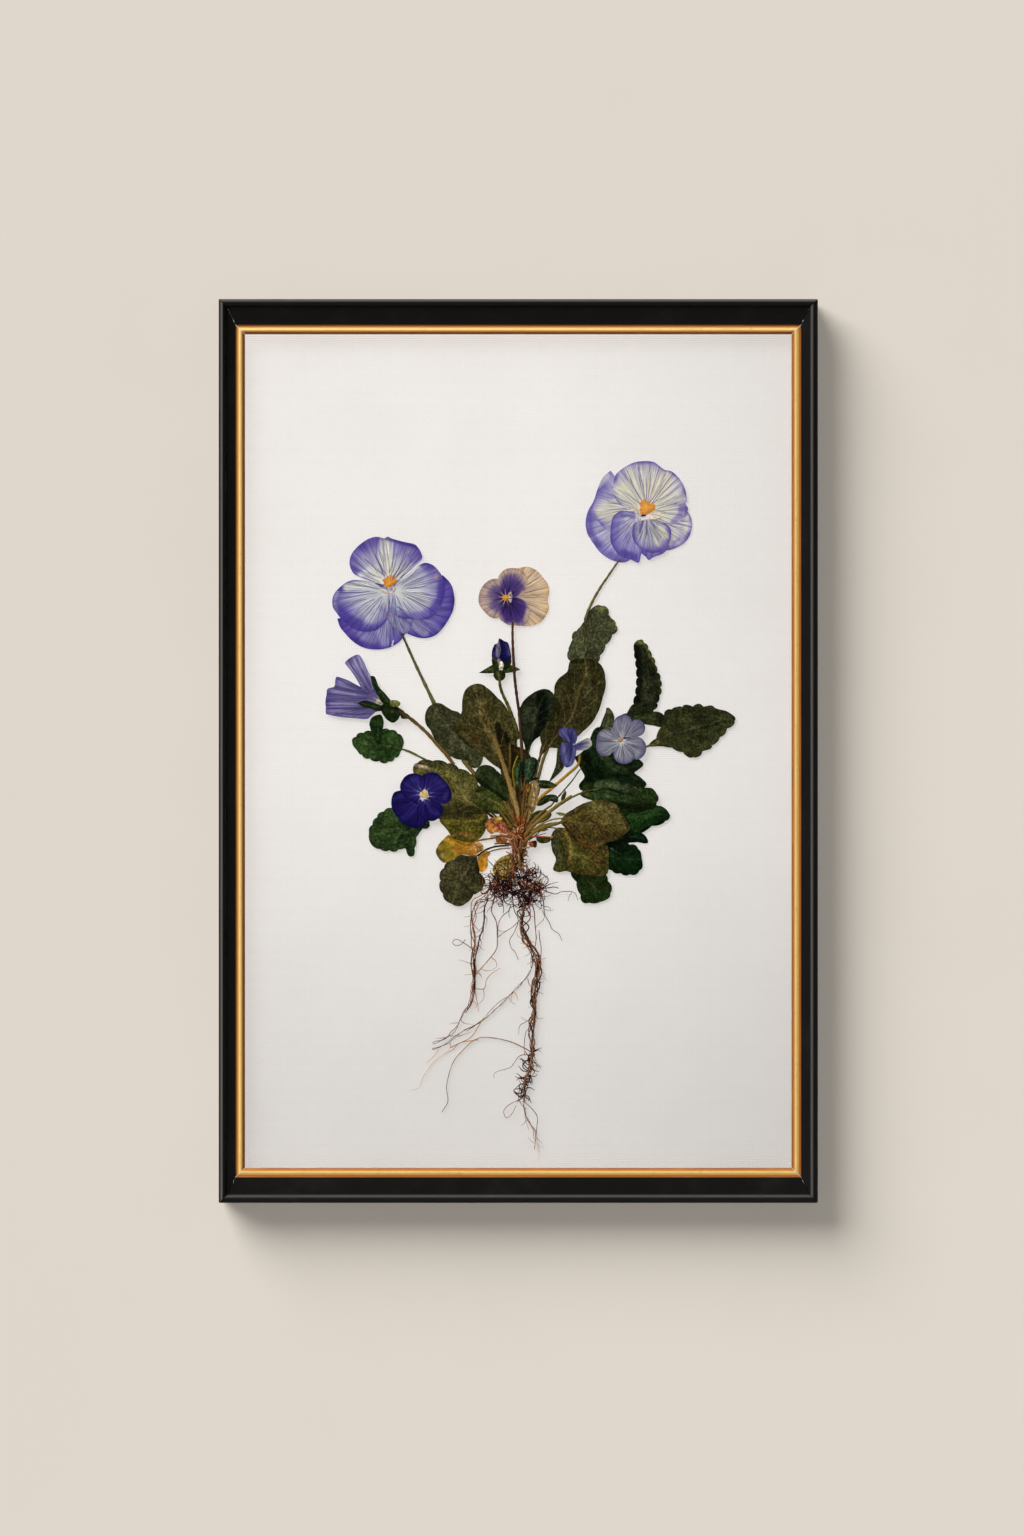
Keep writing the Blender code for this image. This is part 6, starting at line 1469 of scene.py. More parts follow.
# Green parts of the side flowers: outline, how far out, shade, strokes
SIDE_GREENS = (
    (((-74.3, 37.8), (-72, 37.2), (-70, 32.4), (-66.6, 28.6), (-63.4, 24), (-65, 21.6), (-68.6, 24.6),
      (-71.4, 29.6), (-73.4, 33.6)), 9.95, (20, 34, 14), ((((-72, 35), (-66, 25)), 0.3, (54, 66, 36),
      0.7),)),
    (((-80.6, 24.1), (-77, 25.4), (-72, 24.1), (-68, 22.2), (-69.6, 20), (-75, 21.4), (-78.4, 22.4)), 10,
      (22, 36, 15), ((((-79, 24), (-70, 22)), 0.3, (58, 68, 36), 0.7),)),
    (((-66.4, 24.4), (-62.4, 23.4), (-59.4, 21.4), (-57.2, 19.7), (-59.4, 17.6), (-60.4, 15.8),
      (-63, 14.2), (-66.2, 16), (-68.6, 19.6), (-69, 22.6)), 10.1, (19, 30, 12),
      ((((-66, 20), (-60, 19.6)), 1, (44, 52, 24), 0.6),)),
    (((-74.9, 13.4), (-74, 16.4), (-72, 17.8), (-69, 18.2), (-67.6, 14.6), (-68.4, 9), (-69.3, 3.1),
      (-73, 7)), 9.3, (24, 42, 16), ((((-70.4, 16), (-70.6, 6)), 0.35, (58, 74, 38), 0.7),)),
    (((-64.6, 25.4), (-61.6, 25.6), (-59.2, 24.2), (-60.4, 22.4), (-64, 22.6)), 10.2, (112, 112, 58), ()),
    (((-59.4, 20.4), (-55.6, 18.6), (-54.8, 16.6), (-58.6, 16.4)), 10.15, (36, 44, 18), ()))
# In the bud's strokes, the grey-violet ones (124, 122, 140), (110, 108, 132) and (146, 144, 168) are
# painted highlights along its crumpled folds
BUD_PETALS = (
    (((-13, 44.4), (-13.3, 49.6), (-12, 53.4), (-10.4, 54.2), (-9.6, 56.6), (-8.2, 56), (-7, 55.2),
      (-5.2, 54.4), (-4, 50.4), (-3.6, 46), (-5.4, 43.2), (-9, 42.2), (-12, 43)), 9.5, (24, 22, 78),
      ((((-12.6, 52), (-10, 50), (-12.4, 47)), 0.35, (8, 6, 30), 0.85),
      (((-9.8, 55.8), (-9, 51), (-10.2, 46.4)), 0.3, (124, 122, 140), 0.7),
      (((-6.8, 54.8), (-6, 50), (-7, 45)), 0.35, (8, 6, 30), 0.85),
      (((-5, 52.6), (-4.4, 48)), 0.35, (110, 108, 132), 0.6),
      (((-10.4, 55), (-10.6, 48)), 0.7, (146, 144, 168), 0.8),
      (((-6.4, 55), (-5.2, 48)), 0.7, (52, 50, 118), 0.7), (((-8.2, 54.6), (-8, 45)), 0.5, (10, 8, 40),
      0.8), (((-12.4, 49), (-11.6, 45)), 0.7, (58, 56, 120), 0.7),
      (((-9.8, 45.4), (-8.8, 42.8)), 0.8, (196, 188, 160), 0.7))),)
BUD_GREENS = (
    (((-19.9, 39.2), (-16, 41.6), (-12, 43.6), (-9.6, 42), (-10.6, 39.6), (-15, 39)), 9.75, (46, 56, 26),
      ((((-18, 40.2), (-11, 42)), 0.4, (84, 92, 50), 0.7), (((-12, 39.8), (-10.6, 41.4)), 0.8,
      (16, 20, 8), 0.7))),
    (((1.2, 40.9), (-2, 42.6), (-5, 43.4), (-7.8, 42), (-7, 39.4), (-3, 39.6)), 9.75, (40, 50, 22),
      ((((0, 41), (-6, 41.4)), 0.35, (76, 84, 46), 0.7),)),
    (((-13.4, 45.8), (-12.4, 47.6), (-10.6, 45), (-9.4, 42), (-10.4, 40), (-12.6, 42)), 9.85,
      (34, 42, 18), ((((-12.2, 46.6), (-10, 41.6)), 0.3, (76, 78, 44), 0.6),)),
    (((-4.4, 47.4), (-3.4, 45), (-5, 41.6), (-7.2, 40.6), (-7.6, 43), (-5.8, 45.2)), 9.85, (20, 26, 10),
      ()),
    (((-12.7, 38), (-11.4, 40.4), (-7.4, 40.4), (-6.4, 37.6), (-8.2, 35.4), (-11, 35.6)), 9.9,
      (40, 46, 18), ((((-10.4, 39.6), (-9.4, 36)), 0.6, (90, 88, 44), 0.8),
      (((-7.6, 39.6), (-8, 36.6)), 0.5, (16, 16, 6), 0.7))),
    (((-9.9, 44.6), (-8.4, 45.2), (-7.2, 43.2), (-8.2, 41), (-9.6, 41.6)), 9.95, (206, 198, 170), ()))

ORANGE_EYE = (
    (-68, 83.5), (-67.5, 85), (-68.3, 85.6), (-66.9, 87), (-66.4, 86.6), (-65.6, 88.3), (-64.8, 87.3),
    (-64, 89), (-63.3, 87.9), (-62.6, 88.9), (-62, 87.2), (-60.8, 85.6), (-62, 84), (-63, 82.8),
    (-65, 82.3), (-67, 82.6))
RIGHT_EYE = (
    (60.8, 121), (61.4, 123), (60.6, 124.6), (62, 125.4), (63, 126.6), (64.4, 125.6), (65.6, 125.8),
    (66, 124.4), (68.3, 124.2), (68.7, 121.8), (66.6, 119.8), (64, 118.5), (61.6, 119))


def about(middle, angle, wide, tall=None):
    """The point at that angle on an ellipse about a middle."""
    tall = wide if tall is None else tall
    return middle[0] + wide * math.cos(angle), middle[1] + tall * math.sin(angle)


def round_rim(middle, wide, tall):
    """Eight points round an ellipse."""
    return tuple(about(middle, angle, wide, tall) for angle in np.linspace(0, math.tau, 9)[:-1])


def flower_shapes(petals, settings, seed):
    """Every petal of one flower, from a table of them."""
    return [petal_shape(np.array(base), edge, depth, tones, strokes, settings, seed + k)
            for k, (base, edge, depth, tones, strokes) in enumerate(petals)]


def scrap_shapes(scraps, seed):
    """Every leaflet or bract of a table of them."""
    return [scrap_shape(outline, depth, shade, strokes, seed + k)
            for k, (outline, depth, shade, strokes) in enumerate(scraps)]


def hair(path, width, depth, *shades, seed=0, sides=6):
    """A fine strand lying on what is under it."""
    return stem_shape(path, (width * 0.6, width, width * 0.4), width, depth, shades,
                      sides=sides, spacing=0.6, seed=seed)


def vein_shapes(petals, shade, count, seed):
    """Fine veins that run from a petal's base to near its edge, each with a slow bend."""
    draw = np.random.default_rng(seed)
    out = []
    for base, edge, depth, _, _ in petals:
        rim = smooth_line(edge, PETAL_STEP)
        for k in range(count):
            stop = rim[int((k + draw.uniform(0.2, 0.8)) / count * len(rim))]
            way = stop - np.array(base)
            bend = np.array([-way[1], way[0]]) * draw.uniform(-0.03, 0.03)
            first, last = draw.uniform(0.12, 0.4), draw.uniform(0.7, 0.97)
            middle = base + way * (first + last) / 2 + bend
            tone = np.array(shade) * draw.uniform(0.75, 1.15)
            out.append(stem_shape((base + way * first, middle, base + way * last), VEIN_WIDTHS,
                                  VEIN_THICKNESS, depth + VEIN_RISE, (tone, tone), sides=4,
                                  spacing=1.5, seed=k))
    return out


class BuildOpenFlowers(bpy.types.Operator):
    """Press the three flowers that stand clear: left, right and the two-coloured one"""
    bl_idname = "pressed_flower.build_open_flowers"
    bl_label = "Build Open Flowers"

    def execute(self, context):
        settings = context.scene.flower_plant
        violet = petal_material("Violet petal", (66, 50, 130), 0.45, lines=0.6,
                                tint=(0.95, 0.97, 0.88))
        pale = petal_material("Pale violet petal", (92, 78, 152), 0.28, lines=0.6,
                              tint=(0.98, 0.98, 0.87))
        left = flower_shapes(LEFT_BLOOM, settings, 100)
        left.append(scrap_shape(((-66.8, 83.8), (-60.4, 83.6), (-61.0, 77.0), (-63.8, 69.0),
                                 (-66.4, 77.0)), 8.35, (196, 194, 206), (), 11))
        left += vein_shapes(LEFT_BLOOM, (92, 80, 148), 16, 110)
        left.append(hair(((-71.8, 84.4), (-68.6, 83.0), (-65.6, 81.4)), 0.55, 9.4, (30, 34, 22)))
        left.append(hair(((-69.4, 81.2), (-66.6, 79.6), (-64.3, 79.4)), 0.8, 9.4,
                         (226, 192, 160), (230, 200, 170)))
        left.append(hair(((-64.3, 79.4), (-62.6, 80.4), (-61.6, 82.4)), 0.8, 9.42,
                         (230, 200, 170), (222, 184, 150)))
        left.append(eye_shape(ORANGE_EYE, (-64.5, 84.5), 9.5, (236, 168, 22), (214, 136, 20),
                              1.0))
        add_piece("pressed_bloom_left", left, violet, "petal", "bloom_left")
        right = flower_shapes(RIGHT_BLOOM, settings, 120)
        right += vein_shapes(RIGHT_BLOOM, (112, 100, 168), 15, 130)
        for k, path in enumerate((((59.0, 123.0), (60.2, 119.4), (63.4, 117.2)),
                                  ((66.0, 116.6), (69.0, 116.6), (72.2, 117.7)))):
            right.append(hair(path, 1.0, 9.5, (226, 196, 160), (222, 190, 156), seed=k))
        right.append(hair(((61.6, 117.9), (62.8, 118.5), (64.2, 118.1)), 1.3, 9.55, (48, 24, 30)))
        right.append(eye_shape(RIGHT_EYE, (64.4, 122.4), 9.55, (238, 172, 24), (218, 140, 22),
                               2.0))
        add_piece("pressed_bloom_right", right, pale, "petal", "bloom_right")
        two = flower_shapes(BICOLOUR_BLOOM, settings, 140)
        two += vein_shapes(BICOLOUR_BLOOM, (104, 82, 96), 9, 150)
        for k in range(9):
            angle = math.radians(40 * k + 12)
            reach = 3.6 + (k * 7 % 4) * 0.45
            start, stop = about(BICOLOUR_MIDDLE, angle, 1.4), about(BICOLOUR_MIDDLE, angle, reach)
            two.append(hair((start, stop), 0.3, 9.95, (226, 206, 160), (170, 150, 150), seed=k))
            turned = angle + 0.35
            far, near = about(BICOLOUR_MIDDLE, turned, 6.4), about(BICOLOUR_MIDDLE, turned, 1.6)
            two.append(hair((near, far), 0.5, 9.93, (22, 13, 46), (40, 26, 84), seed=k))
        two.append(eye_shape(round_rim(BICOLOUR_MIDDLE, 1.9, 1.6), BICOLOUR_MIDDLE, 10.0,
                             (240, 186, 50), (214, 142, 40), 3.0))
        two.append(scrap_shape(((-5.0, 79.6), (-3.6, 80.0), (-3.0, 77.4), (-3.8, 74.4),
                                (-4.8, 75.4)), 10.0, (224, 214, 206),
                               ((((-4.2, 78.4), (-3.6, 77.6)), 0.4, (130, 60, 40), 0.8),), 9))
        add_piece("pressed_bloom_bicolour", two,
                  petal_material("Two-coloured petal", (60, 40, 110), 0.3,
                                 tint=(0.84, 0.78, 0.7)), "petal",
                  "bloom_bicolour")
        return {"FINISHED"}


class BuildSideFlowers(bpy.types.Operator):
    """Press the side flowers: the drooping one, the dark one, the two small ones and the bud"""
    bl_idname = "pressed_flower.build_side_flowers"
    bl_label = "Build Side Flowers"

    def execute(self, context):
        settings = context.scene.flower_plant
        violet = petal_material("Violet side petal", (44, 38, 88), 0.5, lines=0.7,
                                tint=(1.3, 1.27, 1.02))
        small_violet = petal_material("Small side petal", (40, 34, 90), 0.5, lines=0.5,
                                      tint=(0.66, 0.68, 0.64))
        lilac = petal_material("Lilac petal", (88, 82, 128), 0.5, lines=0.5,
                               tint=(0.72, 0.75, 0.62))
        deep = petal_material("Deep blue petal", (10, 6, 54), 0.6, tint=(0.85, 0.8, 0.8))
        green = leaf_material("Sepal", (84, 98, 58), 0.15, (16, 26, 10), 0.4)
        stem = stem_material("Flower stalk")
        side = flower_shapes(SIDE_BLOOM, settings, 160)
        side += vein_shapes(SIDE_BLOOM, (60, 53, 104), 8, 165)
        add_piece("pressed_bloom_side_left", side, violet, "petal", "bloom_side_left")
        add_piece("pressed_side_left_sepals", scrap_shapes(SIDE_GREENS, 170), green,
                  "leaf_green")
        side_stalk = stem_shape(
            ((-60.0, 20.4), (-53.0, 15.4), (-46.0, 9.2), (-40.5, 3.0), (-35.8, -2.2),
             (-32.4, -6.8)), (2.0, 1.7, 1.8, 1.9), 0.6, (10.0, 9.8, 8.6),
            ((58, 46, 20), (92, 72, 34), (112, 86, 40), (98, 74, 38)), seed=5)
        add_piece("pressed_side_left_stalk", [side_stalk], stem, "stalk")
        dark = flower_shapes(DARK_BLOOM, settings, 180)
        dark += vein_shapes(DARK_BLOOM, (12, 8, 48), 9, 190)
        for k, path in enumerate(DARK_RAYS):
            dark.append(hair(path, 0.32, 10.6, (176, 172, 204), (70, 62, 140), seed=k))
        dark.append(eye_shape(tuple((-47.2 + (1.9 + 0.5 * (k % 2)) * math.cos(k), -21.6
                                     + (1.7 + 0.5 * (k % 2)) * math.sin(k))
                                    for k in np.arange(12) * math.tau / 12),
                              (-47.0, -21.7), 10.65, (228, 190, 50), (214, 206, 170), 4.0))
        add_piece("pressed_bloom_dark", dark, deep, "petal", "bloom_dark")
        pale = flower_shapes(PALE_BLOOM, settings, 200)
        pale.append(scrap_shape(((46.2, 11.8), (49.8, 11.4), (52.4, 6.4), (50.4, 4.4),
                                 (47.4, 7.4)), 9.9, (150, 148, 168), (), 12))
        pale += vein_shapes(PALE_BLOOM, (88, 82, 122), 8, 210)
        for k, (path, width, shade) in enumerate(PALE_MARKS):
            pale.append(hair(path, width, 10.65, shade, seed=k))
        pale.append(eye_shape(round_rim(PALE_MIDDLE, 1.3, 1.2), PALE_MIDDLE, 10.75,
                              (226, 158, 66), (206, 150, 130), 5.0))
        add_piece("pressed_bloom_pale", pale, lilac, "petal", "bloom_pale")
        small = flower_shapes(SMALL_BLOOM, settings, 220)
        add_piece("pressed_bloom_side_small", small, small_violet, "petal", "bloom_side_small")
        small_stalk = stem_shape(((31.0, -2.0), (30.0, -7.0), (24.5, -12.0), (18.5, -17.2),
                                  (12.0, -22.6), (8.0, -27.0), (4.0, -33.0)), (1.1, 1.5, 1.6, 1.5),
                                 0.5, (9.6, 10.6), ((120, 92, 34), (154, 118, 44), (138, 104, 44)),
                                 seed=6)
        add_piece("pressed_side_small_stalk", [small_stalk], stem, "stalk")
        add_piece("pressed_bud", scrap_shapes(BUD_PETALS, 230), deep, "petal", "bud")
        bud_stalk = stem_shape(((-9.6, 37.0), (-8.6, 30.6), (-5.0, 22.4), (-1.4, 13.0), (0.4, 6.0)),
                               (1.3, 1.7, 1.7), 0.5, (9.6, 9.3),
                               ((62, 66, 28), (92, 88, 40), (84, 72, 34)), seed=7)
        add_piece("pressed_bud_sepals", [*scrap_shapes(BUD_GREENS, 240), bud_stalk],
                  green, "leaf_green")
        return {"FINISHED"}


# The flower stalks that stand clear, by node: path, widths along it, thickness, how
# far out it lies along it, shades along it
FLOWER_STALKS = {
    "stalk_left_bloom": (
        ((-58.6, 59.5), (-57.9, 57.6), (-51.4, 43), (-44.2, 28), (-36.6, 12), (-28, -4), (-22, -11.5),
         (-14, -22), (-5.5, -35.5)), (1.1, 1.5, 2, 2, 2, 2), 0.45, (8.35, 8.22),
        ((64, 60, 38), (92, 88, 52), (84, 80, 40), (104, 84, 42), (112, 86, 46))),
    "stalk_bicolour": (
        ((-2.7, 64.8), (-2.9, 60), (-2.6, 50), (-1.9, 38), (-0.8, 28), (0.4, 19), (1.3, 8), (2, -2),
         (2.2, -8), (2, -20)), (1.1, 1.5, 1.4, 1.6, 1.7), 0.7, (9.2, 10.1, 9.9, 9.6, 9.3),
        ((70, 44, 34), (60, 34, 26), (66, 46, 28), (84, 60, 36))),
    "stalk_right_bloom": (
        ((50.8, 96.2), (45.5, 88.5), (40.5, 81), (36.5, 73.5), (33.8, 66), (32, 50), (28, 30),
         (20, 12), (13, -3), (9, -18), (5, -34)), (0.9, 1.4, 1.6, 1.6, 1.6, 1.7), 0.7,
        (8.5, 8.35, 8.35, 8.3), ((92, 80, 52), (104, 92, 50), (90, 84, 44), (104, 84, 46)))}


class BuildStalks(bpy.types.Operator):
    """Press the three flower stalks that stand clear"""
    bl_idname = "pressed_flower.build_stalks"
    bl_label = "Build Stalks"

    def execute(self, context):
        stem = stem_material("Dried stalk")
        for seed, (name, stalk) in enumerate(FLOWER_STALKS.items(), 1):
            add_piece("pressed_" + name, [stem_shape(*stalk, seed=seed)], stem, "stalk", name)
        return {"FINISHED"}


# ---- the crown and the roots -------------------------------------------------

# Leaflets and bracts about the crown: outline, how far out, shade, strokes
CROWN_SCRAPS = (
    (((20, 4), (22.4, -2), (23.4, -6), (22.2, -9.4), (18.6, -13), (15.4, -15.6), (17, -12), (18.8, -7),
      (19.4, -1)), 8.7, (66, 70, 46), ((((21.4, 0), (21.4, -8), (16.4, -14.6)), 0.4, (30, 34, 18),
      0.8),)),
    (((43.6, -9.6), (44, -6), (47.6, -5.4), (48.6, -8.6), (46.4, -10.4)), 8.45, (14, 30, 12), ()),
    (((-9.6, 2), (-5, 4), (-0.6, 2.4), (3.6, 0.6), (6.6, -4), (5.4, -14), (6, -21), (8.4, -27),
      (6.6, -33), (4.6, -40), (2, -47), (-2.6, -47), (-5.4, -41), (-8.6, -36.6), (-9.4, -31),
      (-7.6, -24), (-8.4, -14), (-9.4, -6)), 9.35, (52, 42, 18),
      ((((-3.4, 1), (-2.6, -10), (-1.2, -22)), 1.6, (22, 15, 6), 0.85),
      (((-6.6, -12), (-3.4, -26)), 1.4, (66, 58, 26), 0.7),
      (((3, -18), (2, -34)), 1.4, (24, 16, 8), 0.8), (((-6, -30), (-2, -42)), 1.3, (30, 22, 8), 0.8),
      (((5.6, -26), (3.6, -38)), 1, (84, 66, 32), 0.7))),
    (((-0.4, -3.6), (-2, -7), (-2.6, -11), (-1.4, -17), (0.2, -18.4), (0.8, -12), (2, -6)), 10.3,
      (36, 58, 34), ((((-0.6, -6), (-0.6, -16)), 0.4, (66, 82, 52), 0.7),
      (((1.2, -6), (0.6, -15)), 0.5, (4, 8, 3), 0.85))),
    (((2.2, -3.8), (4.6, -3.4), (7.4, -3), (9.7, -4.6), (9.4, -8), (8.6, -11.4), (5.6, -15.8),
      (3, -20.2), (1.8, -16), (1.4, -9)), 10.35, (38, 56, 36),
      ((((6, -4), (4, -14), (2.8, -19)), 0.4, (70, 84, 56), 0.7),
      (((9, -4.6), (8.4, -10.6), (5, -16)), 0.5, (6, 10, 4), 0.85),
      (((2.4, -6), (2.2, -15)), 0.8, (4, 7, 3), 0.85))),
    (((2.6, -16.6), (5.6, -16), (6.2, -18.6), (4.6, -21.2), (2.8, -20.6)), 10.4, (112, 68, 22),
      ((((3.4, -17.4), (5, -20)), 0.3, (150, 110, 60), 0.7),)),
    (((5, -14.8), (7.6, -13.4), (10.4, -13.2), (8.6, -14.8), (6, -15.6)), 10.5, (16, 24, 10), ()),
    (((9, -15.4), (11, -14.6), (14.6, -14.8), (17.6, -16), (19.6, -17.6), (17, -18.4), (13.6, -18.9),
      (10.4, -18.2)), 10.4, (44, 56, 26), ((((9.6, -16), (18.6, -17.4)), 0.3, (84, 88, 46), 0.7),
      (((10.4, -17.8), (16, -18.4)), 0.5, (14, 18, 8), 0.7))),
    (((8.6, -26.9), (10.4, -24.6), (13, -22.6), (16.4, -21.7), (19.2, -22.3), (20.1, -24), (19.7, -25.9),
      (18.6, -25.6), (16.6, -24.8), (13, -26.8), (10.4, -27.6)), 10.4, (30, 44, 24),
      ((((9.6, -26.4), (14, -23.8), (19, -23.4)), 0.3, (70, 78, 44), 0.7),
      (((12, -26), (17, -25)), 0.5, (8, 12, 5), 0.8))),
    (((5, -36.6), (6.6, -32.4), (8.6, -30.4), (12, -29.6), (15.4, -30.2), (16.8, -32), (15, -34.4),
      (11.4, -36), (8, -37)), 10.5, (66, 68, 26), ((((6.4, -35.6), (10, -32.4), (15.6, -31.6)), 0.35,
      (116, 106, 54), 0.75), (((8.4, -31.4), (12, -30.4)), 0.6, (34, 36, 12), 0.8),
      (((8, -36), (13, -34.6)), 0.7, (40, 28, 12), 0.8))),
    (((-17, -36.4), (-14.6, -34), (-12, -33.4), (-9, -34.2), (-7, -35.8), (-4, -41.6), (-7.6, -41.4),
      (-11.5, -40.8), (-13.6, -41.7), (-15.8, -39.6)), 10.5, (190, 118, 58),
      ((((-9.6, -37), (-6.6, -40)), 1.9, (164, 80, 68), 0.85),
      (((-15.6, -37), (-12, -39.6)), 1, (206, 140, 76), 0.6),
      (((-14, -35), (-8, -40)), 0.35, (120, 62, 36), 0.7))),
    (((-12, -34.4), (-11, -32.9), (-8.4, -33.2), (-8.2, -34.8), (-10.4, -35.4)), 10.6, (196, 158, 70),
      ()),
    (((-11.6, -43.6), (-9, -41.8), (-6, -42.6), (-5.4, -45), (-7.6, -46.8), (-10.6, -46)), 10.3,
      (152, 90, 44), ((((-10.4, -43.6), (-6.6, -45.4)), 0.4, (96, 52, 24), 0.7),)),
    (((-22.5, -37.3), (-19, -36.2), (-15.2, -34.6), (-14.8, -35.8), (-18.6, -37.8)), 10, (50, 48, 22),
      ()),
    (((-22.4, -46.6), (-20.4, -45.7), (-18.4, -46.6), (-17.5, -48), (-17.9, -49.8), (-19.6, -50.6),
      (-22.6, -50), (-25, -49.2)), 9.12, (184, 134, 72), ((((-21.6, -47), (-18.6, -49.6)), 0.35,
      (120, 78, 34), 0.7),)),
    (((9, -46), (8.6, -44.6), (9.4, -47.2), (8.2, -48.8), (7.8, -46.8)), 10.35, (70, 40, 22), ()),
    (((5.2, -45.4), (7.6, -46.4), (6.8, -48.4), (5.4, -47.2)), 10.4, (176, 96, 44), ()),
    (((9, -43.4), (12.6, -42.6), (16.2, -43.6), (15.6, -45.6), (12, -46.4), (9.4, -45.2)), 10.4,
      (58, 62, 22), ((((10, -44), (15, -44.4)), 0.4, (96, 74, 34), 0.7),)),
    (((6, -45.4), (9, -45), (9.2, -47.2), (7, -48.2)), 10.2, (34, 28, 12), ()),
    (((11, -38.4), (14.2, -38), (13.8, -40), (11.4, -40.2)), 10.9, (30, 34, 14), ()),
    (((18.4, -31), (21, -30.8), (24, -31.6), (21.4, -32.6)), 10.3, (126, 124, 62), ()),
    (((23.6, -19.6), (24.2, -21.4), (23, -24.6), (21.6, -25.2), (21.8, -22.4)), 10.3, (62, 62, 28), ()),
    (((6.6, -15.2), (8.6, -14.8), (10.2, -16.6), (10, -22), (9, -28), (4.6, -35.4), (5.6, -29.6),
      (7.2, -22)), 10.7, (150, 124, 84), ((((7.6, -16), (8.8, -24), (6, -33)), 0.3, (96, 72, 42), 0.7),
      (((9, -17), (9.2, -22)), 0.4, (184, 160, 120), 0.6))),
    (((-0.6, -34), (0.8, -32), (2.6, -33.4), (3.4, -37), (3, -41), (0.6, -41.6), (-0.6, -38.4)), 11,
      (132, 62, 18), ((((0.6, -34), (2, -40)), 0.5, (168, 88, 34), 0.8),
      (((-0.2, -36), (0.2, -40)), 0.3, (70, 28, 8), 0.8))),
    (((-6.6, -25), (-4.4, -26), (-2.6, -30.6), (-2.2, -35), (-4.4, -34), (-6.4, -29.6)), 10.2,
      (92, 76, 38), ((((-5.6, -26), (-3, -33.6)), 0.35, (54, 40, 16), 0.7),)),
    (((3.6, -26), (5.6, -26.6), (5, -31.6), (2.8, -36.6), (2.2, -33)), 10.8, (118, 92, 50),
      ((((4.4, -27), (3, -34.6)), 0.3, (70, 50, 24), 0.7),)))
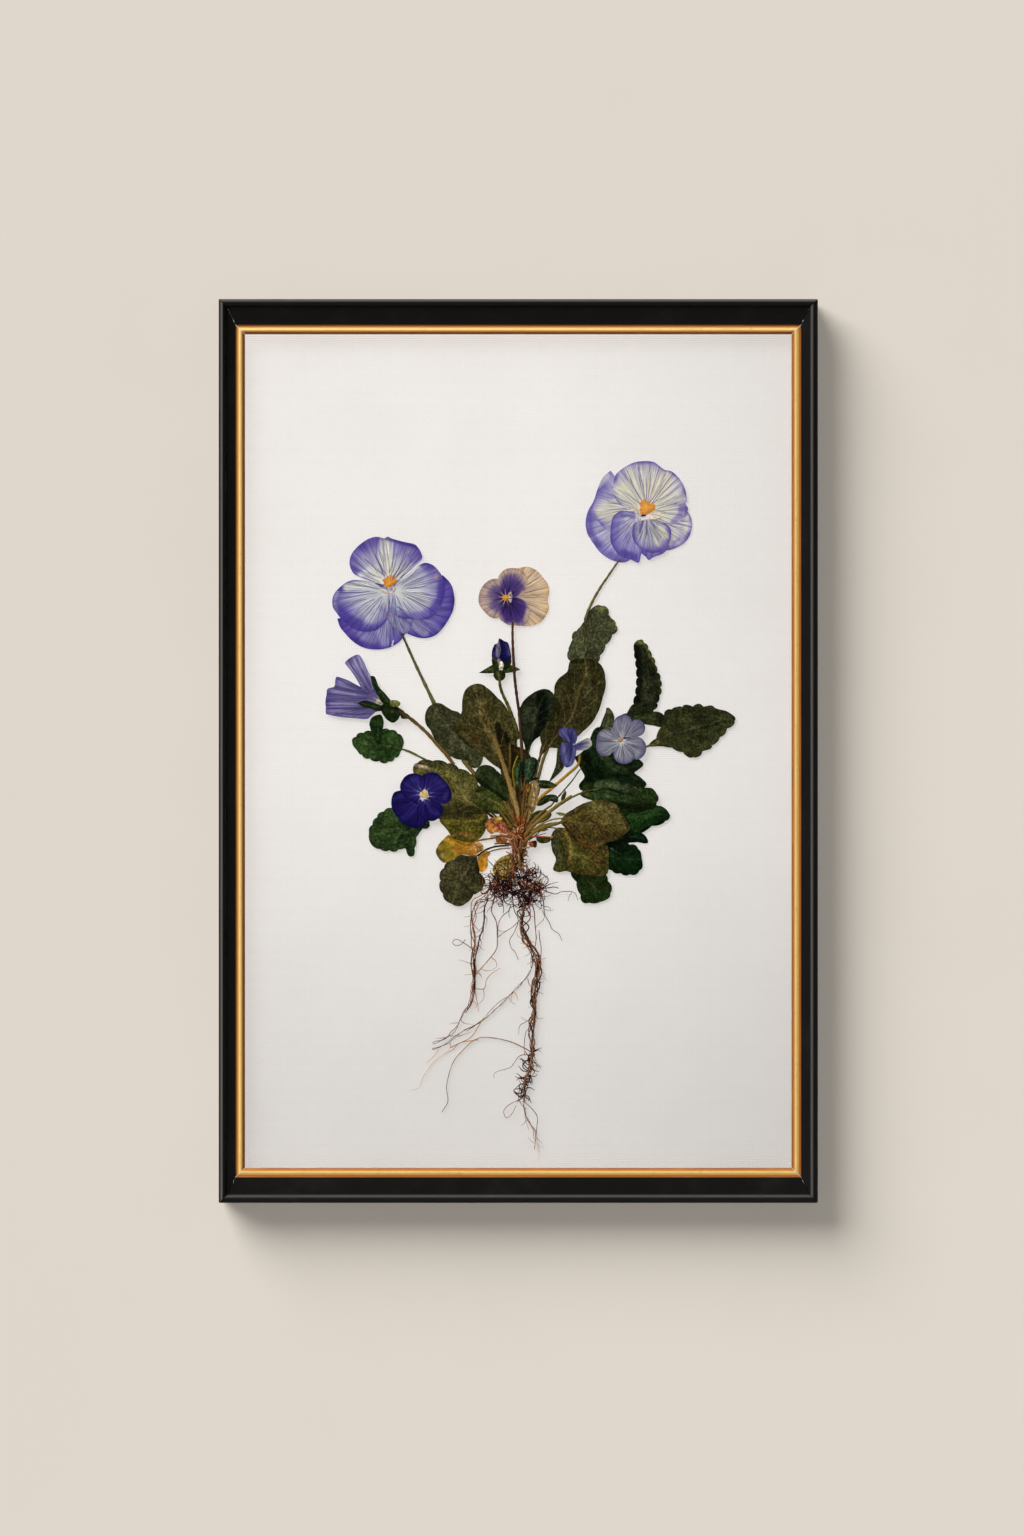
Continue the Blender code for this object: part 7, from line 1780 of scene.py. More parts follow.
# Strands that gather at the crown: path, width, how far out, shades
CROWN_STRANDS = (
    (((-12.4, 8), (-10.4, 2), (-8.4, -4), (-6.4, -10), (-4.6, -16), (-2.8, -22), (-0.6, -29),
      (0.6, -34)), 2.1, 10.75, ((122, 98, 54), (140, 114, 68), (158, 132, 84), (166, 140, 92))),
    (((-0.2, -2.4), (-1.6, -6), (-2.6, -10), (-2.2, -15), (-1.4, -20)), 1.1, 10.1,
      ((150, 126, 30), (132, 106, 20), (120, 90, 24))),
    (((-4.2, 4), (-4, -4), (-4.4, -11)), 1.2, 9.7, ((104, 88, 44), (84, 66, 30))),
    (((6.6, -14.6), (5.8, -22), (4.4, -30), (2.6, -38)), 1, 10.45,
      ((76, 64, 30), (116, 96, 52), (132, 102, 58))),
    (((27, -22.4), (20, -27), (13, -32.6), (7, -38), (3, -43)), 1.7, 10.95,
      ((128, 112, 56), (138, 116, 62), (140, 112, 62), (124, 92, 50))),
    (((25, -34.4), (19, -36.6), (12, -38.6), (6.6, -42), (3, -46.4)), 1.6, 10.95,
      ((96, 82, 36), (118, 100, 48), (134, 108, 58), (118, 86, 46))),
    (((24, -33.6), (17, -34.4), (11, -37), (6, -41.4)), 0.9, 10.8,
      ((110, 106, 48), (150, 142, 96), (126, 104, 56))),
    (((-4.4, -18), (-3, -27), (-0.6, -36), (0.4, -44)), 1.8, 10.3,
      ((120, 96, 56), (132, 104, 60), (112, 78, 40))),
    (((-2, -20), (-1, -29), (0.6, -38), (1, -46)), 1.5, 10.6,
      ((148, 122, 76), (150, 118, 70), (122, 82, 44))),
    (((7.2, -19), (5.4, -28), (3.2, -37), (2, -46)), 1.9, 10.5,
      ((140, 112, 66), (146, 112, 62), (120, 84, 46))),
    (((3.4, -14), (2.8, -24), (2, -34), (1.4, -44)), 1.2, 10.8,
      ((92, 66, 40), (112, 76, 42), (104, 66, 36))),
    (((-20, -25), (-14, -30.4), (-8, -36), (-2.4, -42.6)), 1, 10,
      ((44, 38, 16), (66, 54, 24), (96, 66, 32))),
    (((-10, -29.6), (-6.6, -33.6), (-3.2, -38.6), (-0.6, -44)), 1.2, 10.2,
      ((104, 92, 46), (126, 98, 50), (112, 72, 38))),
    (((-14, -42.6), (-8, -42.8), (-3, -44.6), (0, -48)), 0.9, 10.6,
      ((128, 96, 44), (122, 80, 40), (96, 62, 34))),
    (((-12, -46.6), (-6, -46.2), (-2, -47.6)), 0.8, 10.3, ((92, 70, 30), (80, 54, 26))),
    (((16, -27.6), (11, -31.4), (6.4, -36.6), (3.2, -43)), 1.3, 10.6,
      ((124, 102, 54), (130, 102, 56), (110, 76, 42))),
    (((18, -36.2), (12, -38), (7, -41), (3, -45.6)), 1.2, 10.7,
      ((116, 96, 48), (126, 98, 52), (104, 72, 38))),
    (((17.4, -43.2), (11, -43), (6, -43.4), (2.6, -46.6)), 0.8, 10.8,
      ((196, 120, 60), (168, 76, 62), (128, 62, 46))),
    (((15, -39.4), (9, -40.4), (4.6, -43.6)), 0.8, 10.5, ((90, 72, 34), (106, 76, 42))),
    (((-5.4, -43.4), (-3.4, -46.6), (-1.6, -49.8), (-0.6, -53)), 1.1, 10.6,
      ((188, 124, 96), (172, 104, 80), (110, 60, 44))),
    (((-2.6, -30.8), (-2, -33), (-1.2, -35.6)), 0.7, 11.1, ((150, 52, 34), (120, 44, 30))),
    (((2.6, -43), (2.4, -49), (1.4, -54), (1, -58.6)), 2.3, 10.1,
      ((128, 112, 60), (122, 112, 64), (104, 88, 50))),
    (((0.4, -42), (-0.6, -48), (-1, -54), (-1.2, -60)), 2, 10.4,
      ((110, 62, 40), (74, 38, 30), (58, 28, 26))),
    (((-2.4, -44), (-2.6, -49), (-2.4, -54)), 1.1, 10.2, ((120, 78, 46), (88, 52, 32))),
    (((4.6, -41.6), (4, -46.6), (3.4, -51)), 1, 10.3, ((112, 84, 46), (96, 72, 38))),
    (((-7.6, -23.6), (-5.6, -29), (-2.6, -35.4)), 0.9, 9.9, ((58, 56, 26), (84, 70, 36))),
    (((11.4, -23.6), (8.4, -28), (5.4, -33.6)), 0.8, 10.4, ((106, 92, 48), (120, 94, 52))),
    (((0.6, -22), (0.8, -30), (1, -37)), 0.7, 11, ((60, 44, 26), (74, 48, 28))),
    (((4.6, -30.6), (3, -38.6), (2.2, -44.6)), 0.5, 11.15, ((52, 32, 18), (60, 36, 22))),
    (((-1.4, -38), (-0.2, -44), (0.4, -49)), 0.5, 11.1, ((62, 36, 22), (58, 32, 22))))


CROWN_TONES = (
    (158, 132, 84), (124, 100, 52), (84, 72, 34), (38, 30, 14), (140, 108, 56), (58, 54, 24),
    (112, 66, 40))


# Fans of strands at the crown: middle, angles, lengths, count, widths, how far out
FANS = (
    ((0.6, -40), (1.15, 2.2), (10, 26), 46, (0.4, 1.1), (9.5, 10.7)),
    ((1.6, -43), (0.2, 1), (6, 15), 14, (0.4, 0.9), (9.9, 10.9)),
    ((-0.6, -44), (2.2, 3.3), (5, 13), 14, (0.35, 0.8), (9.9, 10.7)),
    ((0.6, -57), (1.35, 1.8), (8, 15), 14, (0.4, 0.9), (10, 10.8)))


def fan_about(middle, turns, reach, count, widths, depths, seed):
    """Strands that run in to the crown from all across an angle, drawn at random."""
    draw = np.random.default_rng(seed)
    out = []
    for k in range(count):
        angle, size = draw.uniform(*turns), draw.uniform(*reach)
        way = np.array([math.cos(angle), math.sin(angle)])
        stop = np.array(middle) + draw.uniform(-1.3, 1.3, 2) * (1.0, 2.4)
        start = stop + way * size
        half = (start + stop) / 2 + np.array([-way[1], way[0]]) * draw.uniform(-0.08, 0.08) * size
        tone = CROWN_TONES[int(draw.integers(len(CROWN_TONES)))]
        last = CROWN_TONES[int(draw.integers(len(CROWN_TONES)))]
        width = draw.uniform(*widths)
        out.append(stem_shape((start, half, stop), (width * 0.7, width, width), 0.35,
                              draw.uniform(*depths), (tone, last), sides=6, seed=k))
    return out


def hairs_about(middle, count, reach, seed):
    """Short fine hairs about a point, drawn at random: path, width, depth, shades."""
    draw = np.random.default_rng(seed)
    out = []
    for k in range(count):
        angle, size = draw.uniform(0, math.tau), draw.uniform(0.4, 1.0, 2)
        start = np.array(middle) + reach * 0.5 * size[0] * np.array([math.cos(angle), math.sin(angle)])
        bend = draw.uniform(-1.0, 1.0, 2) * reach * 0.5
        stop = start + bend + reach * 0.5 * size[1] * np.array([math.cos(angle), math.sin(angle)])
        half = (start + stop) / 2 + draw.uniform(-0.25, 0.25, 2) * reach
        out.append(hair((start, half, stop), draw.uniform(0.22, 0.4),
                        draw.uniform(10.2, 11.3), (92, 52, 34), (140, 96, 60), seed=k, sides=5))
    return out


class BuildCrown(bpy.types.Operator):
    """Gather the stalks, leaflets and dry scales at the plant's crown"""
    bl_idname = "pressed_flower.build_crown"
    bl_label = "Build Crown"

    def execute(self, context):
        strands = [stem_shape(path, (width * 0.8, width, width), 0.45, depth, shades, seed=k)
                   for k, (path, width, depth, shades) in enumerate(CROWN_STRANDS)]
        strands += tangle(TANGLE, 70, (1.6, 4.0), (0.35, 0.8), (10.5, 11.1), TANGLE_TONES, 0.0, 37)
        for seed, fan in enumerate(FANS, 33):
            strands += fan_about(*fan, seed)
        hairs = hairs_about((1.0, -47.0), 50, 6.0, 31) + hairs_about((1.6, -38.0), 24, 7.0, 32)
        add_piece("pressed_crown", strands + hairs, stem_material("Stalk feet", tint=(0.72, 0.7, 0.56)),
                  "stalk", "crown")
        leaflet = leaf_material("Young leaflet", (110, 100, 60), 0.1, (24, 20, 8), 0.3)
        add_piece("pressed_crown_leaflets", scrap_shapes(CROWN_SCRAPS, 300), leaflet,
                  "leaf_green")
        return {"FINISHED"}


KNOB = (
    (-13, -60), (-12.4, -57.6), (-10.6, -55), (-7.8, -53), (-3.6, -51.7), (-2, -53.6), (-1.4, -57),
    (-1.8, -61), (-4, -63.6), (-7.6, -64.8), (-11.4, -63))
MAT = (
    (-15.8, -66), (-13, -62), (-9, -60.6), (-4, -59.4), (0, -57.4), (4.6, -58), (9, -59.6), (12, -63.4),
    (12.8, -69), (11.4, -74), (8, -78.6), (4, -81), (0.4, -79.6), (-1, -75), (-5, -72.4), (-10, -73.6),
    (-14.6, -74.4))

DARK_ROOT, BROWN_ROOT, PALE_ROOT = (30, 13, 10), (116, 64, 28), (184, 138, 82)
# Roots: path, width at start and end, how far out, shades
ROOTS = (
    (((-13, -70), (-15.4, -74.2), (-20, -76), (-22.3, -80), (-22.8, -86), (-22.2, -95), (-23, -103),
      (-22.6, -112), (-22.8, -120), (-24.5, -127), (-29, -135), (-34, -142), (-43, -147.2)), 1.5, 0.9,
      8.9, ((96, 56, 36), (128, 80, 50), (96, 56, 40), (86, 48, 36), (52, 26, 24))),
    (((-14, -70), (-17, -75.4), (-17.2, -84), (-19.3, -92.5), (-20.2, -99), (-21.8, -107), (-22.6, -114),
      (-23.6, -121)), 0.8, 1.2, 9.2, ((60, 30, 24), (40, 18, 16), (70, 38, 28), (110, 66, 42))),
    (((2.6, -74), (3.2, -80.3), (2.3, -86), (2.8, -92), (5, -98.5), (9, -103), (10.3, -110), (9, -118),
      (8, -128), (7, -138), (7.2, -148), (6.4, -158), (4, -166), (3, -174), (4.2, -184), (8.2, -190.5),
      (8.8, -195), (8, -200)), 2.4, 0.6, 9.2, ((84, 46, 34), (104, 60, 42), (64, 34, 28), (74, 40, 30),
      (86, 50, 34), (60, 30, 26), (140, 92, 58))),
    (((1, -76), (1.4, -84), (3.6, -93), (6.4, -100), (8.8, -108), (9.6, -116), (7.2, -126), (8.6, -134),
      (6.2, -146), (7.4, -154)), 1, 0.6, 9.6, ((44, 20, 18), (60, 30, 24), (48, 22, 20), (96, 58, 40))),
    (((5.4, -98.6), (6.9, -104), (5.6, -111), (0, -118.5), (-10, -128), (-20, -136.6), (-28, -142),
      (-35, -145.8), (-43, -150.2)), 0.9, 0.8, 8.8, ((70, 38, 30), (128, 84, 54), (140, 96, 62),
      (104, 66, 44), (84, 50, 36))),
    (((7, -151.6), (3, -149.2), (-5, -145.7), (-16, -143.8), (-22, -145.2), (-28, -150.5), (-33, -157),
      (-36, -168), (-35.4, -176), (-38.5, -181.5)), 0.5, 0.35, 8.6,
      ((84, 52, 38), (150, 116, 84), (140, 104, 74), (110, 76, 56))),
    (((-15.4, -70), (-19.5, -73), (-22.4, -74.4), (-23.6, -77), (-23.7, -83)), 0.5, 0.4, 8.7,
      (PALE_ROOT, BROWN_ROOT)),
    (((-15, -74), (-17, -79), (-17, -84), (-17.8, -90), (-19.3, -93), (-20.3, -99), (-21.5, -103),
      (-22, -108), (-22, -120)), 0.6, 0.6, 9.4, (DARK_ROOT, (60, 30, 24), DARK_ROOT)),
    (((-22, -119), (-20.5, -127), (-20, -131)), 0.45, 0.25, 9, (BROWN_ROOT, PALE_ROOT)),
    (((-22, -101), (-23.5, -99), (-28, -96), (-31, -94.5), (-33, -96), (-31.5, -97.7), (-28.5, -97),
      (-26.5, -94.5)), 0.4, 0.25, 9, (BROWN_ROOT, DARK_ROOT)),
    (((-22, -113), (-20.3, -111), (-15, -105), (-11, -99.5), (-10.5, -94), (-11, -86), (-13.5, -80.5),
      (-12.5, -76), (-11.5, -71)), 0.5, 0.5, 9, ((150, 110, 76), (130, 88, 60), (90, 54, 38))),
    (((-10.8, -94), (-7, -91), (-3, -88.5), (0.5, -85)), 0.35, 0.35, 8.8, (BROWN_ROOT, (130, 90, 62))),
    (((-4, -77), (-4.6, -80), (-8, -83), (-10, -87), (-10.3, -93)), 0.4, 0.3, 8.9,
      (DARK_ROOT, BROWN_ROOT)),
    (((-3, -73), (-2, -80), (0, -85), (-2, -91), (-4.3, -95), (-3.5, -99), (-1.5, -101), (0, -105)), 0.5,
      0.25, 9, (DARK_ROOT, BROWN_ROOT, (90, 56, 40))),
    (((-22, -119.4), (-17, -119.3), (-16, -115), (-13, -111.5), (-9, -109)), 0.4, 0.25, 9,
      (BROWN_ROOT, PALE_ROOT)),
    (((-17.5, -119.5), (-17.3, -124), (-20, -127.5)), 0.3, 0.2, 8.8, (BROWN_ROOT, PALE_ROOT)),
    (((7, -77), (8, -81), (8.5, -88), (9, -94), (8.5, -98)), 0.5, 0.4, 9, (DARK_ROOT, BROWN_ROOT)),
    (((11, -72), (12.5, -75), (13.3, -82), (15.5, -86), (17, -89.5), (20.5, -92), (22, -95.5)), 0.5, 0.2,
      9, ((70, 38, 30), (84, 50, 38), DARK_ROOT)),
    (((12, -80), (13, -84), (8.8, -88.5)), 0.3, 0.25, 8.8, (BROWN_ROOT, BROWN_ROOT)),
    (((11, -68), (12.6, -69.8), (18.5, -71.8), (22, -70.6), (28, -71), (30, -75)), 0.5, 0.25, 9,
      (DARK_ROOT, (84, 46, 38), DARK_ROOT)),
    (((27, -71), (25.6, -73), (25, -75.5)), 0.3, 0.2, 8.8, (BROWN_ROOT, DARK_ROOT)),
    (((10.4, -90), (10.8, -94.5), (11.5, -99), (11.2, -104), (10.5, -110), (11, -116), (10.5, -119)),
      0.4, 0.3, 9.2, (BROWN_ROOT, DARK_ROOT, BROWN_ROOT)),
    (((4.7, -114), (5.4, -117), (7.5, -119.5)), 0.35, 0.3, 8.8, (BROWN_ROOT, BROWN_ROOT)),
    (((-17, -134), (-18, -135), (-21, -140), (-24, -144), (-30, -147), (-34, -149)), 0.4, 0.4, 8.7,
      (PALE_ROOT, BROWN_ROOT)),
    (((7.3, -133.5), (4, -136), (0.8, -138), (0.2, -142.5)), 0.35, 0.2, 8.9, (DARK_ROOT, BROWN_ROOT)),
    (((7, -139), (4, -141), (3, -148), (3.2, -153)), 0.35, 0.25, 8.9, (DARK_ROOT, BROWN_ROOT)),
    (((7, -151.6), (6, -152.5), (1, -153), (-2, -156.5), (-4, -159), (-9, -160.5), (-12, -162),
      (-12.2, -164.5)), 0.4, 0.2, 8.8, (BROWN_ROOT, BROWN_ROOT)),
    (((-20, -145), (-29, -146.5), (-33, -150), (-37, -152), (-42, -156), (-45, -159.5), (-48, -164),
      (-49.2, -168), (-51, -169.8), (-55, -170.5)), 0.5, 0.2, 8.5,
      (PALE_ROOT, (186, 154, 116), (200, 172, 136))),
    (((-40, -150), (-43, -154), (-46, -156.5)), 0.3, 0.2, 8.5, (PALE_ROOT, PALE_ROOT)),
    (((7, -150), (9, -156), (11.5, -159.5)), 0.35, 0.2, 8.9, (DARK_ROOT, BROWN_ROOT)),
    (((3, -166), (0.5, -171), (0.3, -175), (2, -178), (4, -180)), 0.35, 0.3, 8.9,
      (DARK_ROOT, BROWN_ROOT)),
    (((0.6, -175), (-5, -178), (-7.3, -181), (-6, -184.3), (-3, -182), (-1, -178)), 0.35, 0.25, 8.9,
      (BROWN_ROOT, (136, 96, 66))),
    (((3, -176), (8, -181), (9.6, -184.5), (9.2, -190), (8.8, -195), (8, -200)), 0.35, 0.25, 8.8,
      (BROWN_ROOT, DARK_ROOT, BROWN_ROOT)),
    (((3, -179), (3.8, -186), (5.5, -190.5)), 0.3, 0.2, 8.7, (BROWN_ROOT, PALE_ROOT)),
    (((4.8, -186), (8.5, -190.5), (8.8, -195), (10.5, -198), (13.3, -199.5)), 0.35, 0.15, 8.6,
      (PALE_ROOT, (200, 170, 132))),
    (((9.4, -197), (10.3, -200), (10.3, -206)), 0.3, 0.12, 8.5, (PALE_ROOT, (206, 178, 140))))


def wandering(start, heading, length, turn, seed):
    """A fine root's path: each step turns by a slowly changing random amount."""
    draw = np.random.default_rng(seed)
    steps = max(int(length / 1.2), 4)
    bend = np.convolve(draw.normal(0.0, turn, steps + 4), np.ones(5) / 2.2, "valid")[:steps]
    angle = heading + np.cumsum(bend)
    move = np.stack([np.cos(angle), np.sin(angle)], -1) * 1.2
    return np.concatenate([[start], start + np.cumsum(move, 0)])


def inside(outline, x, z):
    """Whether points lie inside an outline: a ray to the right crosses it an odd
    number of times."""
    ring = np.array(outline)
    after = np.roll(ring, -1, axis=0)
    x, z = np.asarray(x)[..., None], np.asarray(z)[..., None]
    crosses = (ring[:, 1] > z) != (after[:, 1] > z)
    rise = np.where(after[:, 1] == ring[:, 1], 1.0, after[:, 1] - ring[:, 1])
    at = ring[:, 0] + (z - ring[:, 1]) / rise * (after[:, 0] - ring[:, 0])
    return (crosses & (x < at)).sum(-1) % 2 == 1


MAT_TONES = (
    (22, 8, 9), (16, 5, 7), (30, 12, 12), (24, 9, 9), (48, 22, 20), (110, 66, 44), (26, 9, 10), (20, 7, 8))
TANGLE_TONES = ((190, 150, 125), (120, 58, 34), (28, 12, 8), (158, 112, 84), (46, 22, 14), (150, 84, 60))
TANGLE = (
    (-2.6, -37), (4.6, -38), (5.4, -44), (4.2, -52), (2, -57.6), (-2, -57.4), (-2.6, -48), (-3.6, -42))


def bundle(path, start, stop, depth, shades, seed):
    """A thick root is a twist of thin ones: each keeps beside the path by a slow wave
    of its own, as far out as the bundle is thick."""
    draw = np.random.default_rng(seed)
    line = smooth_line(path, 1.0)
    share = np.linspace(0.0, 1.0, len(line))
    size = np.interp(share, (0.0, 1.0), (start, stop))
    run = np.gradient(line, axis=0)
    run /= np.hypot(*run.T)[:, None]
    side = np.stack([-run[:, 1], run[:, 0]], -1)
    out = []
    for k in range(max(int(3.4 * start), 2)):
        first, last = sorted(draw.uniform(0.0, 1.0, 2) * (0.35, 1.0))
        last = max(last, 0.75)
        wave = ripple(line[:, 1], line[:, 0], draw.uniform(9.0, 22.0), seed * 31 + k)
        kink = ripple(line[:, 0], line[:, 1], 4.0, seed * 57 + k) * 0.16
        way = line + side * (wave * size + kink)[:, None]
        keep = (share >= first * 0.6) & (share <= last)
        if k < 2:
            keep[:] = True
        other = (DARK_ROOT, DARK_ROOT, BROWN_ROOT, (150, 102, 62), DARK_ROOT, (186, 148, 106))
        pick = other[int(draw.integers(len(other)))]
        tone = (np.array(shades, float) * 0.35 + np.array(pick) * 0.65) * draw.uniform(0.8, 1.2)
        out.append(stem_shape(way[keep], (0.23 * start, 0.27 * start, 0.34 * stop),
                              0.5, depth + draw.uniform(-0.3, 0.3),
                              tone.clip(0, 235), sides=6, spacing=0.9,
                              seed=seed + k))
    return out


def tangle(outline, count, lengths, widths, depths, tones, pull, seed):
    """Fine looping strands that start at random inside an outline and wander, drawn a
    little to its middle."""
    draw = np.random.default_rng(seed)
    edge = np.array(outline)
    low, high, heart = edge.min(0), edge.max(0), edge.mean(0)
    out = []
    while len(out) < count:
        start = draw.uniform(low, high)
        heading, length = draw.uniform(0, math.tau), draw.uniform(*lengths)
        width, depth = draw.uniform(*widths), draw.uniform(*depths)
        tone = np.array(tones[int(draw.integers(len(tones)))])
        if not inside(outline, *start):
            continue
        path = wandering(start, heading, length, 0.55, int(draw.integers(1 << 30)))
        path += (heart - path.mean(0)) * pull * draw.uniform(0.4, 1.2)
        shades = (tone, (tone * 1.25).clip(0, 255), tone)
        out.append(stem_shape(path, (width, width, width * 0.5), width, depth,
                              shades, sides=5, spacing=0.7, seed=len(out)))
    return out


def rootlets(count, seed):
    """Hair-fine side roots along the long strands, drawn at random."""
    draw = np.random.default_rng(seed)
    out = []
    for k in range(count):
        path = ROOTS[int(draw.choice([0, 0, 1, 2, 2, 2, 3, 4, 7, 10]))]
        line = smooth_line(path[0], 1.0)
        start = line[int(draw.integers(4, len(line) - 2))]
        heading = -math.pi / 2 + draw.choice([-1, 1]) * draw.uniform(0.3, 1.5)
        way = wandering(start, heading, draw.uniform(2.5, 9.0), 0.3, seed + k)
        tone = (DARK_ROOT, BROWN_ROOT, PALE_ROOT)[int(draw.integers(3))]
        out.append(stem_shape(way, (0.35, 0.25, 0.12), 0.3,
                              path[3] + draw.uniform(-0.2, 0.2), (tone, BROWN_ROOT), sides=5,
                              spacing=0.8, seed=k))
    return out


class BuildRoots(bpy.types.Operator):
    """Lay out the knob, the root mat and the long roots"""
    bl_idname = "pressed_flower.build_roots"
    bl_label = "Build Roots"

    def execute(self, context):
        settings = context.scene.flower_plant
        root = stem_material("Dried root", 0.85)
        knob = [scrap_shape(KNOB, 9.0, (168, 144, 70), (
            (((-12.4, -60.0), (-10.6, -56.6), (-8.4, -55.4), (-4.6, -54.6), (-2.6, -52.8)), 0.45,
             (58, 36, 20), 0.9),
            (((-10.6, -60.6), (-9.0, -57.4), (-6.0, -56.0), (-3.0, -57.0)), 0.35,
             (96, 70, 40), 0.8),
            (((-11.4, -62.6), (-8.0, -63.4), (-3.0, -62.0)), 0.5, (64, 42, 24), 0.85),
            (((-3.0, -55.0), (-2.4, -61.0)), 0.6, (70, 46, 26), 0.8),
            (((-8.0, -58.6), (-5.0, -60.6)), 1.3, (172, 162, 106), 0.6)), 400, 0.4)]
        skin = leaf_material("Root knob", (180, 170, 110), 0.1, (96, 70, 30), 0.5)
        add_piece("pressed_root_knob", knob, skin, "root", "root_knob")
        add_piece("pressed_knob_hairs", hairs_about((-7.0, -60.0), 16, 7.0, 41), root, "root")
        add_piece("pressed_root_mat", tangle(
            MAT, settings.fine_roots, (6.0, 15.0), (0.28, 0.68), (8.1, 11.0), MAT_TONES, 0.12, 71),
                  root, "root", "root_mat")
        long = []
        for k, (path, start, stop, depth, shades) in enumerate(ROOTS):
            if start >= 0.8:
                long += bundle(path, start, stop, depth, shades, 700 + k)
            else:
                long.append(stem_shape(path, (start, (start + stop) / 2, stop), start, depth,
                                       shades, sides=6, seed=k))
        knot = [stem_shape(wandering(
                    np.array([6.6 - 0.1 * k, -152.0 - 0.5 * k]), k * 0.9, 7.0, 0.6, 500 + k),
                           (0.5, 0.6, 0.25), 0.5, 8.6 + 0.02 * k, (DARK_ROOT, (84, 44, 30)),
                           sides=5, seed=k) for k in range(46)]
        fine = rootlets(70, 600)
        add_piece("pressed_roots", long + knot + fine, root, "root", "roots_left", "roots_right")
        return {"FINISHED"}


# ---- the stage ---------------------------------------------------------------

FRONT_VIEW = (-0.00315, -0.0085)
VIEW_DISTANCE = 2.56
FLOOR_DROP = 0.32
STAGE_REACH = 4.0
WALL_GAP = 0.0003
SENSOR_WIDTH = 36.0
BACKDROP = 0.75
FLOOR_SHADE = (0.4, 0.385, 0.36)
SKY = (1.0, 0.99, 0.975, 1.0)


class StageSettings(bpy.types.PropertyGroup):
    """Wall, lights and camera"""
    wall: FloatVectorProperty(
        name="Wall", description="Colour of the wall behind the frame", subtype="COLOR",
        default=(0.677, 0.623, 0.548), min=0.0, max=1.0)
    key: FloatProperty(
        name="Key Light", description="Strength of the large light at the upper left",
        default=4.1, min=0.0)
    softness: FloatProperty(
        name="Softness", description="Width of the key light as seen from the frame",
        default=math.radians(42.0), subtype="ANGLE", unit="ROTATION")
    front: FloatProperty(
        name="Front Light", description="Strength of the shadowless light from the front",
        default=1.75, min=0.0)
    behind: FloatProperty(
        name="Back Light", description="Strength of the light that falls on the frame's back",
        default=2.0, min=0.0)
    around: FloatProperty(
        name="Around", description="Strength of the even light from all round",
        default=0.11, min=0.0)
    lens: FloatProperty(
        name="Lens", description="Focal length of the camera in millimetres",
        default=120.0, min=1.0)


# Where each light comes from: right, out from the wall, up
KEY_FROM, FRONT_FROM, BACK_FROM = (-1.15, -1.0, 1.3), (-0.6, -1.0, 1.2), (0.4, 1.0, 0.7)
PLANT_SHADOW = 0.32


def sun(name, source, strength, softness):
    """A wide even light from one side."""
    light = bpy.data.lights.new(name, "SUN")
    light.energy, light.angle = strength, softness
    lamp = bpy.data.objects.new(name, light)
    lamp.rotation_mode = "QUATERNION"
    lamp.rotation_quaternion = (-Vector(source)).to_track_quat("-Z", "Y")
    bpy.context.scene.collection.objects.link(lamp)
    return lamp


def linked(lamp, use, things, state):
    """Light or shadow only some things, or all but them. The plant lies close under
    its glass, so the mouldings throw no shadow on it."""
    group = bpy.data.collections.new(lamp.name + " " + use)
    for thing in things:
        group.objects.link(thing)
    for member in group.collection_objects:
        member.light_linking.link_state = state
    setattr(lamp.light_linking, use, group)


def stage_plane(name, corners, material):
    """A flat four-cornered surface of the stage."""
    mesh = bpy.data.meshes.new(name)
    mesh.from_pydata(corners, [], [(0, 1, 2, 3)])
    mesh.materials.append(material)
    plane = bpy.data.objects.new(name, mesh)
    bpy.context.scene.collection.objects.link(plane)
    return plane


def stage_material(name, shade, one_sided):
    """Plain matt paint with a little unevenness; a one-sided wall can't be seen, and
    stops no light, from behind."""
    material, tree, shader = new_material(name, 0.95, specular=0.1)
    blotches = use(tree, "Dry blotches", Size=6.0, Spread=0.5)
    deep = tuple(0.985 * value for value in shade)
    tree.links.new(blend(tree, blotches["Patches"], (*shade, 1.0), (*deep, 1.0)),
                   shader.inputs["Base Color"])
    if one_sided:
        behind = tree.nodes.new("ShaderNodeNewGeometry").outputs["Backfacing"]
        clear = tree.nodes.new("ShaderNodeBsdfTransparent")
        both = put(tree, "ShaderNodeMixShader", behind, shader.outputs[0], clear.outputs[0])
        tree.links.new(both.outputs[0], tree.nodes["Material Output"].inputs["Surface"])
    return material


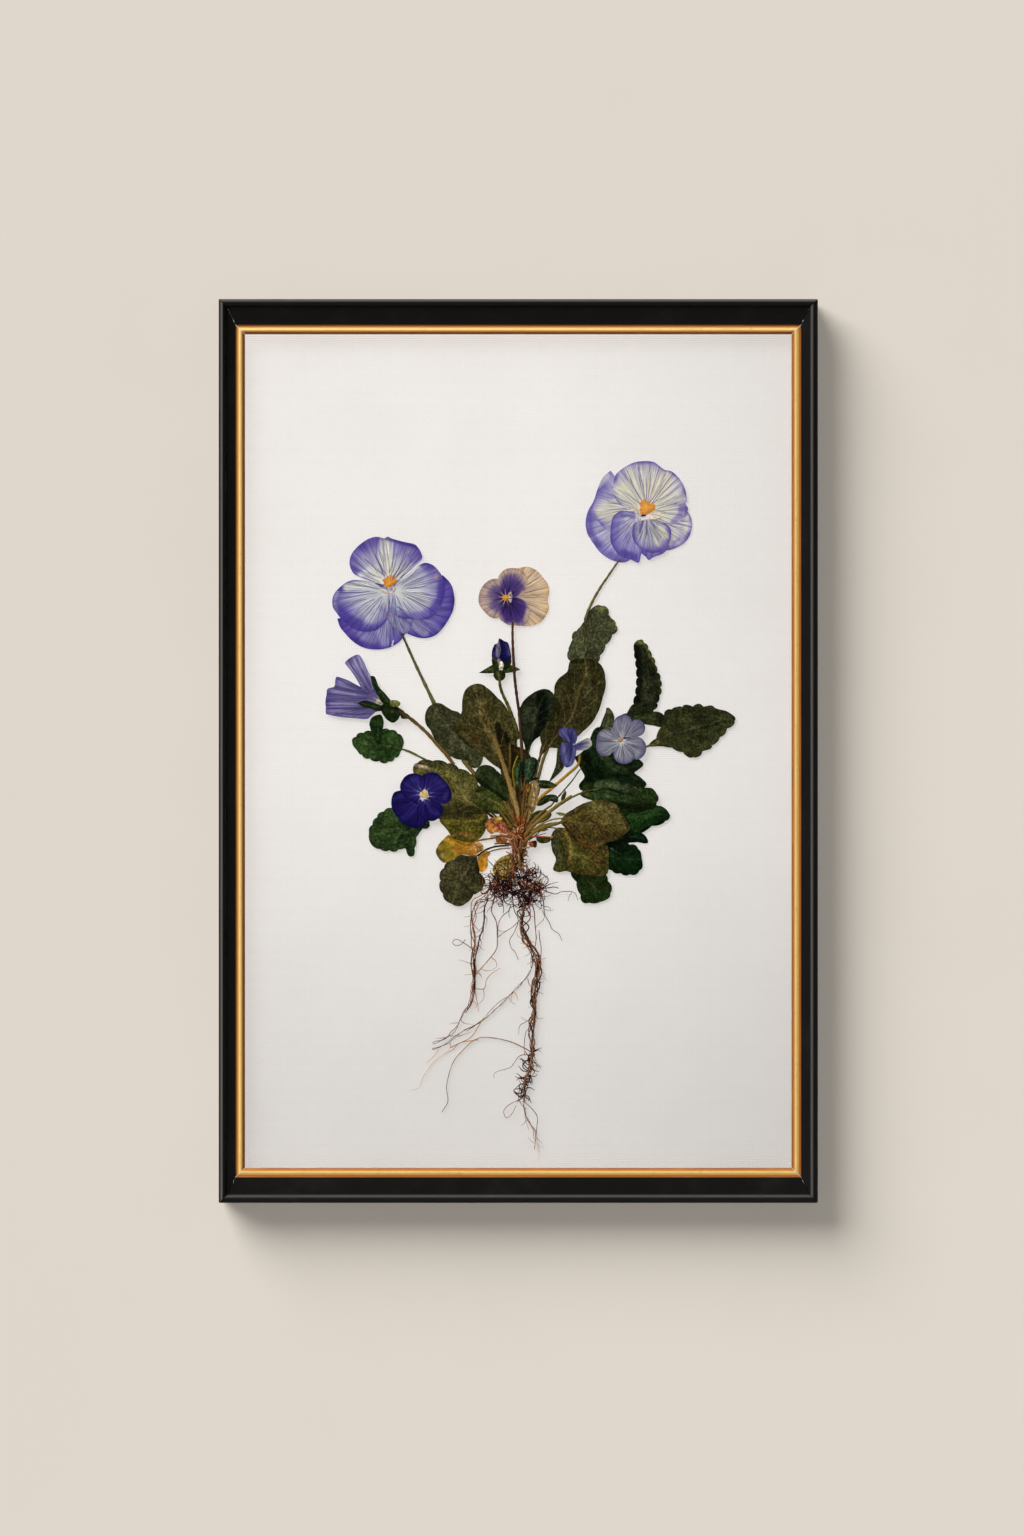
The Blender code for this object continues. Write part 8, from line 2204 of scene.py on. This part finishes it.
class BuildStage(bpy.types.Operator):
    """Set the frame on a plain pale wall over a floor, with soft light and a camera"""
    bl_idname = "pressed_flower.build_stage"
    bl_label = "Build the Stage"

    def execute(self, context):
        scene, settings = context.scene, context.scene.flower_stage
        r, floor, back = STAGE_REACH, CAD_LOW.z - FLOOR_DROP, CAD_HIGH.y + WALL_GAP
        stage_plane("stage_wall", [(-r, back, floor), (r, back, floor), (r, back, r),
                                   (-r, back, r)],
                    stage_material("Wall paint", tuple(settings.wall), True))
        ground = stage_plane("stage_floor", [(-r, -r, floor), (r, -r, floor), (r, r, floor),
                                             (-r, r, floor)],
                             stage_material("Pale floor", FLOOR_SHADE, False))
        ground.visible_diffuse = False
        pressed = [piece for piece in scene.objects if piece.name.startswith("pressed_")]
        slips = [NODES["gilt_slip_" + side] for side in ("top", "bottom", "left", "right")]
        under_glass = [NODES["specimen_sheet"], *slips, *pressed]
        key = sun("key_light", KEY_FROM, settings.key, settings.softness)
        linked(key, "receiver_collection", under_glass, "EXCLUDE")
        inner = sun("key_light_under_glass", KEY_FROM, settings.key * PLANT_SHADOW,
                    settings.softness)
        linked(inner, "receiver_collection", under_glass, "INCLUDE")
        linked(inner, "blocker_collection", pressed, "INCLUDE")
        even_key = sun("even_key_under_glass", KEY_FROM, settings.key * (1 - PLANT_SHADOW),
                       settings.softness)
        even_key.data.use_shadow = False
        linked(even_key, "receiver_collection", under_glass, "INCLUDE")
        front = sun("front_light", FRONT_FROM, settings.front, settings.softness)
        front.data.use_shadow = False
        sun("back_light", BACK_FROM, settings.behind, settings.softness)
        world = bpy.data.worlds.new("Even light")
        scene.world = world
        world.use_nodes = True
        sky = world.node_tree.nodes["Background"].inputs
        sky["Color"].default_value = SKY
        path = world.node_tree.nodes.new("ShaderNodeLightPath").outputs["Is Camera Ray"]
        level = calc(world.node_tree, "ADD", calc(
            world.node_tree, "MULTIPLY", path, BACKDROP - settings.around), settings.around)
        world.node_tree.links.new(level, sky["Strength"])
        lens = bpy.data.cameras.new("view")
        lens.lens, lens.sensor_width, lens.dof.use_dof = settings.lens, SENSOR_WIDTH, False
        camera = bpy.data.objects.new("view", lens)
        camera.location = (MIDDLE_X + FRONT_VIEW[0], CAD_LOW.y - VIEW_DISTANCE,
                           MIDDLE_Z + FRONT_VIEW[1])
        camera.rotation_euler = (math.radians(90.0), 0.0, 0.0)
        scene.collection.objects.link(camera)
        scene.camera = camera
        scene.view_settings.view_transform = "Standard"
        return {"FINISHED"}


class FlowerPanel(bpy.types.Panel):
    """Lists the settings and the builders"""
    bl_idname = "VIEW3D_PT_pressed_flower"
    bl_label = "Pressed Flower Frame"
    bl_space_type = "VIEW_3D"
    bl_region_type = "UI"
    bl_category = "Pressed Flower"

    def draw(self, context):
        layout = self.layout
        for name, group in SETTINGS.items():
            box = layout.box()
            settings = getattr(context.scene, name)
            for prop in group.__annotations__:
                box.prop(settings, prop)
        for builder in BUILDERS:
            layout.operator(builder.bl_idname)


SETTINGS = {"flower_finish": FinishSettings, "flower_plant": PlantSettings, "flower_stage": StageSettings}
BUILDERS = (
    FinishFrame, FinishSheets, FinishFittings, BuildLeaves, BuildStalks, BuildOpenFlowers,
    BuildSideFlowers, BuildCrown, BuildRoots, BuildStage)


def register():
    for kind in (*SETTINGS.values(), *BUILDERS, FlowerPanel):
        bpy.utils.register_class(kind)
    for name, group in SETTINGS.items():
        setattr(bpy.types.Scene, name, PointerProperty(type=group))


def unregister():
    for name in SETTINGS:
        delattr(bpy.types.Scene, name)
    for kind in reversed((*SETTINGS.values(), *BUILDERS, FlowerPanel)):
        bpy.utils.unregister_class(kind)


def main():
    """Build everything in order."""
    register()
    for builder in BUILDERS:
        area, call = builder.bl_idname.split(".")
        getattr(getattr(bpy.ops, area), call)()


if __name__ == "__main__":
    main()
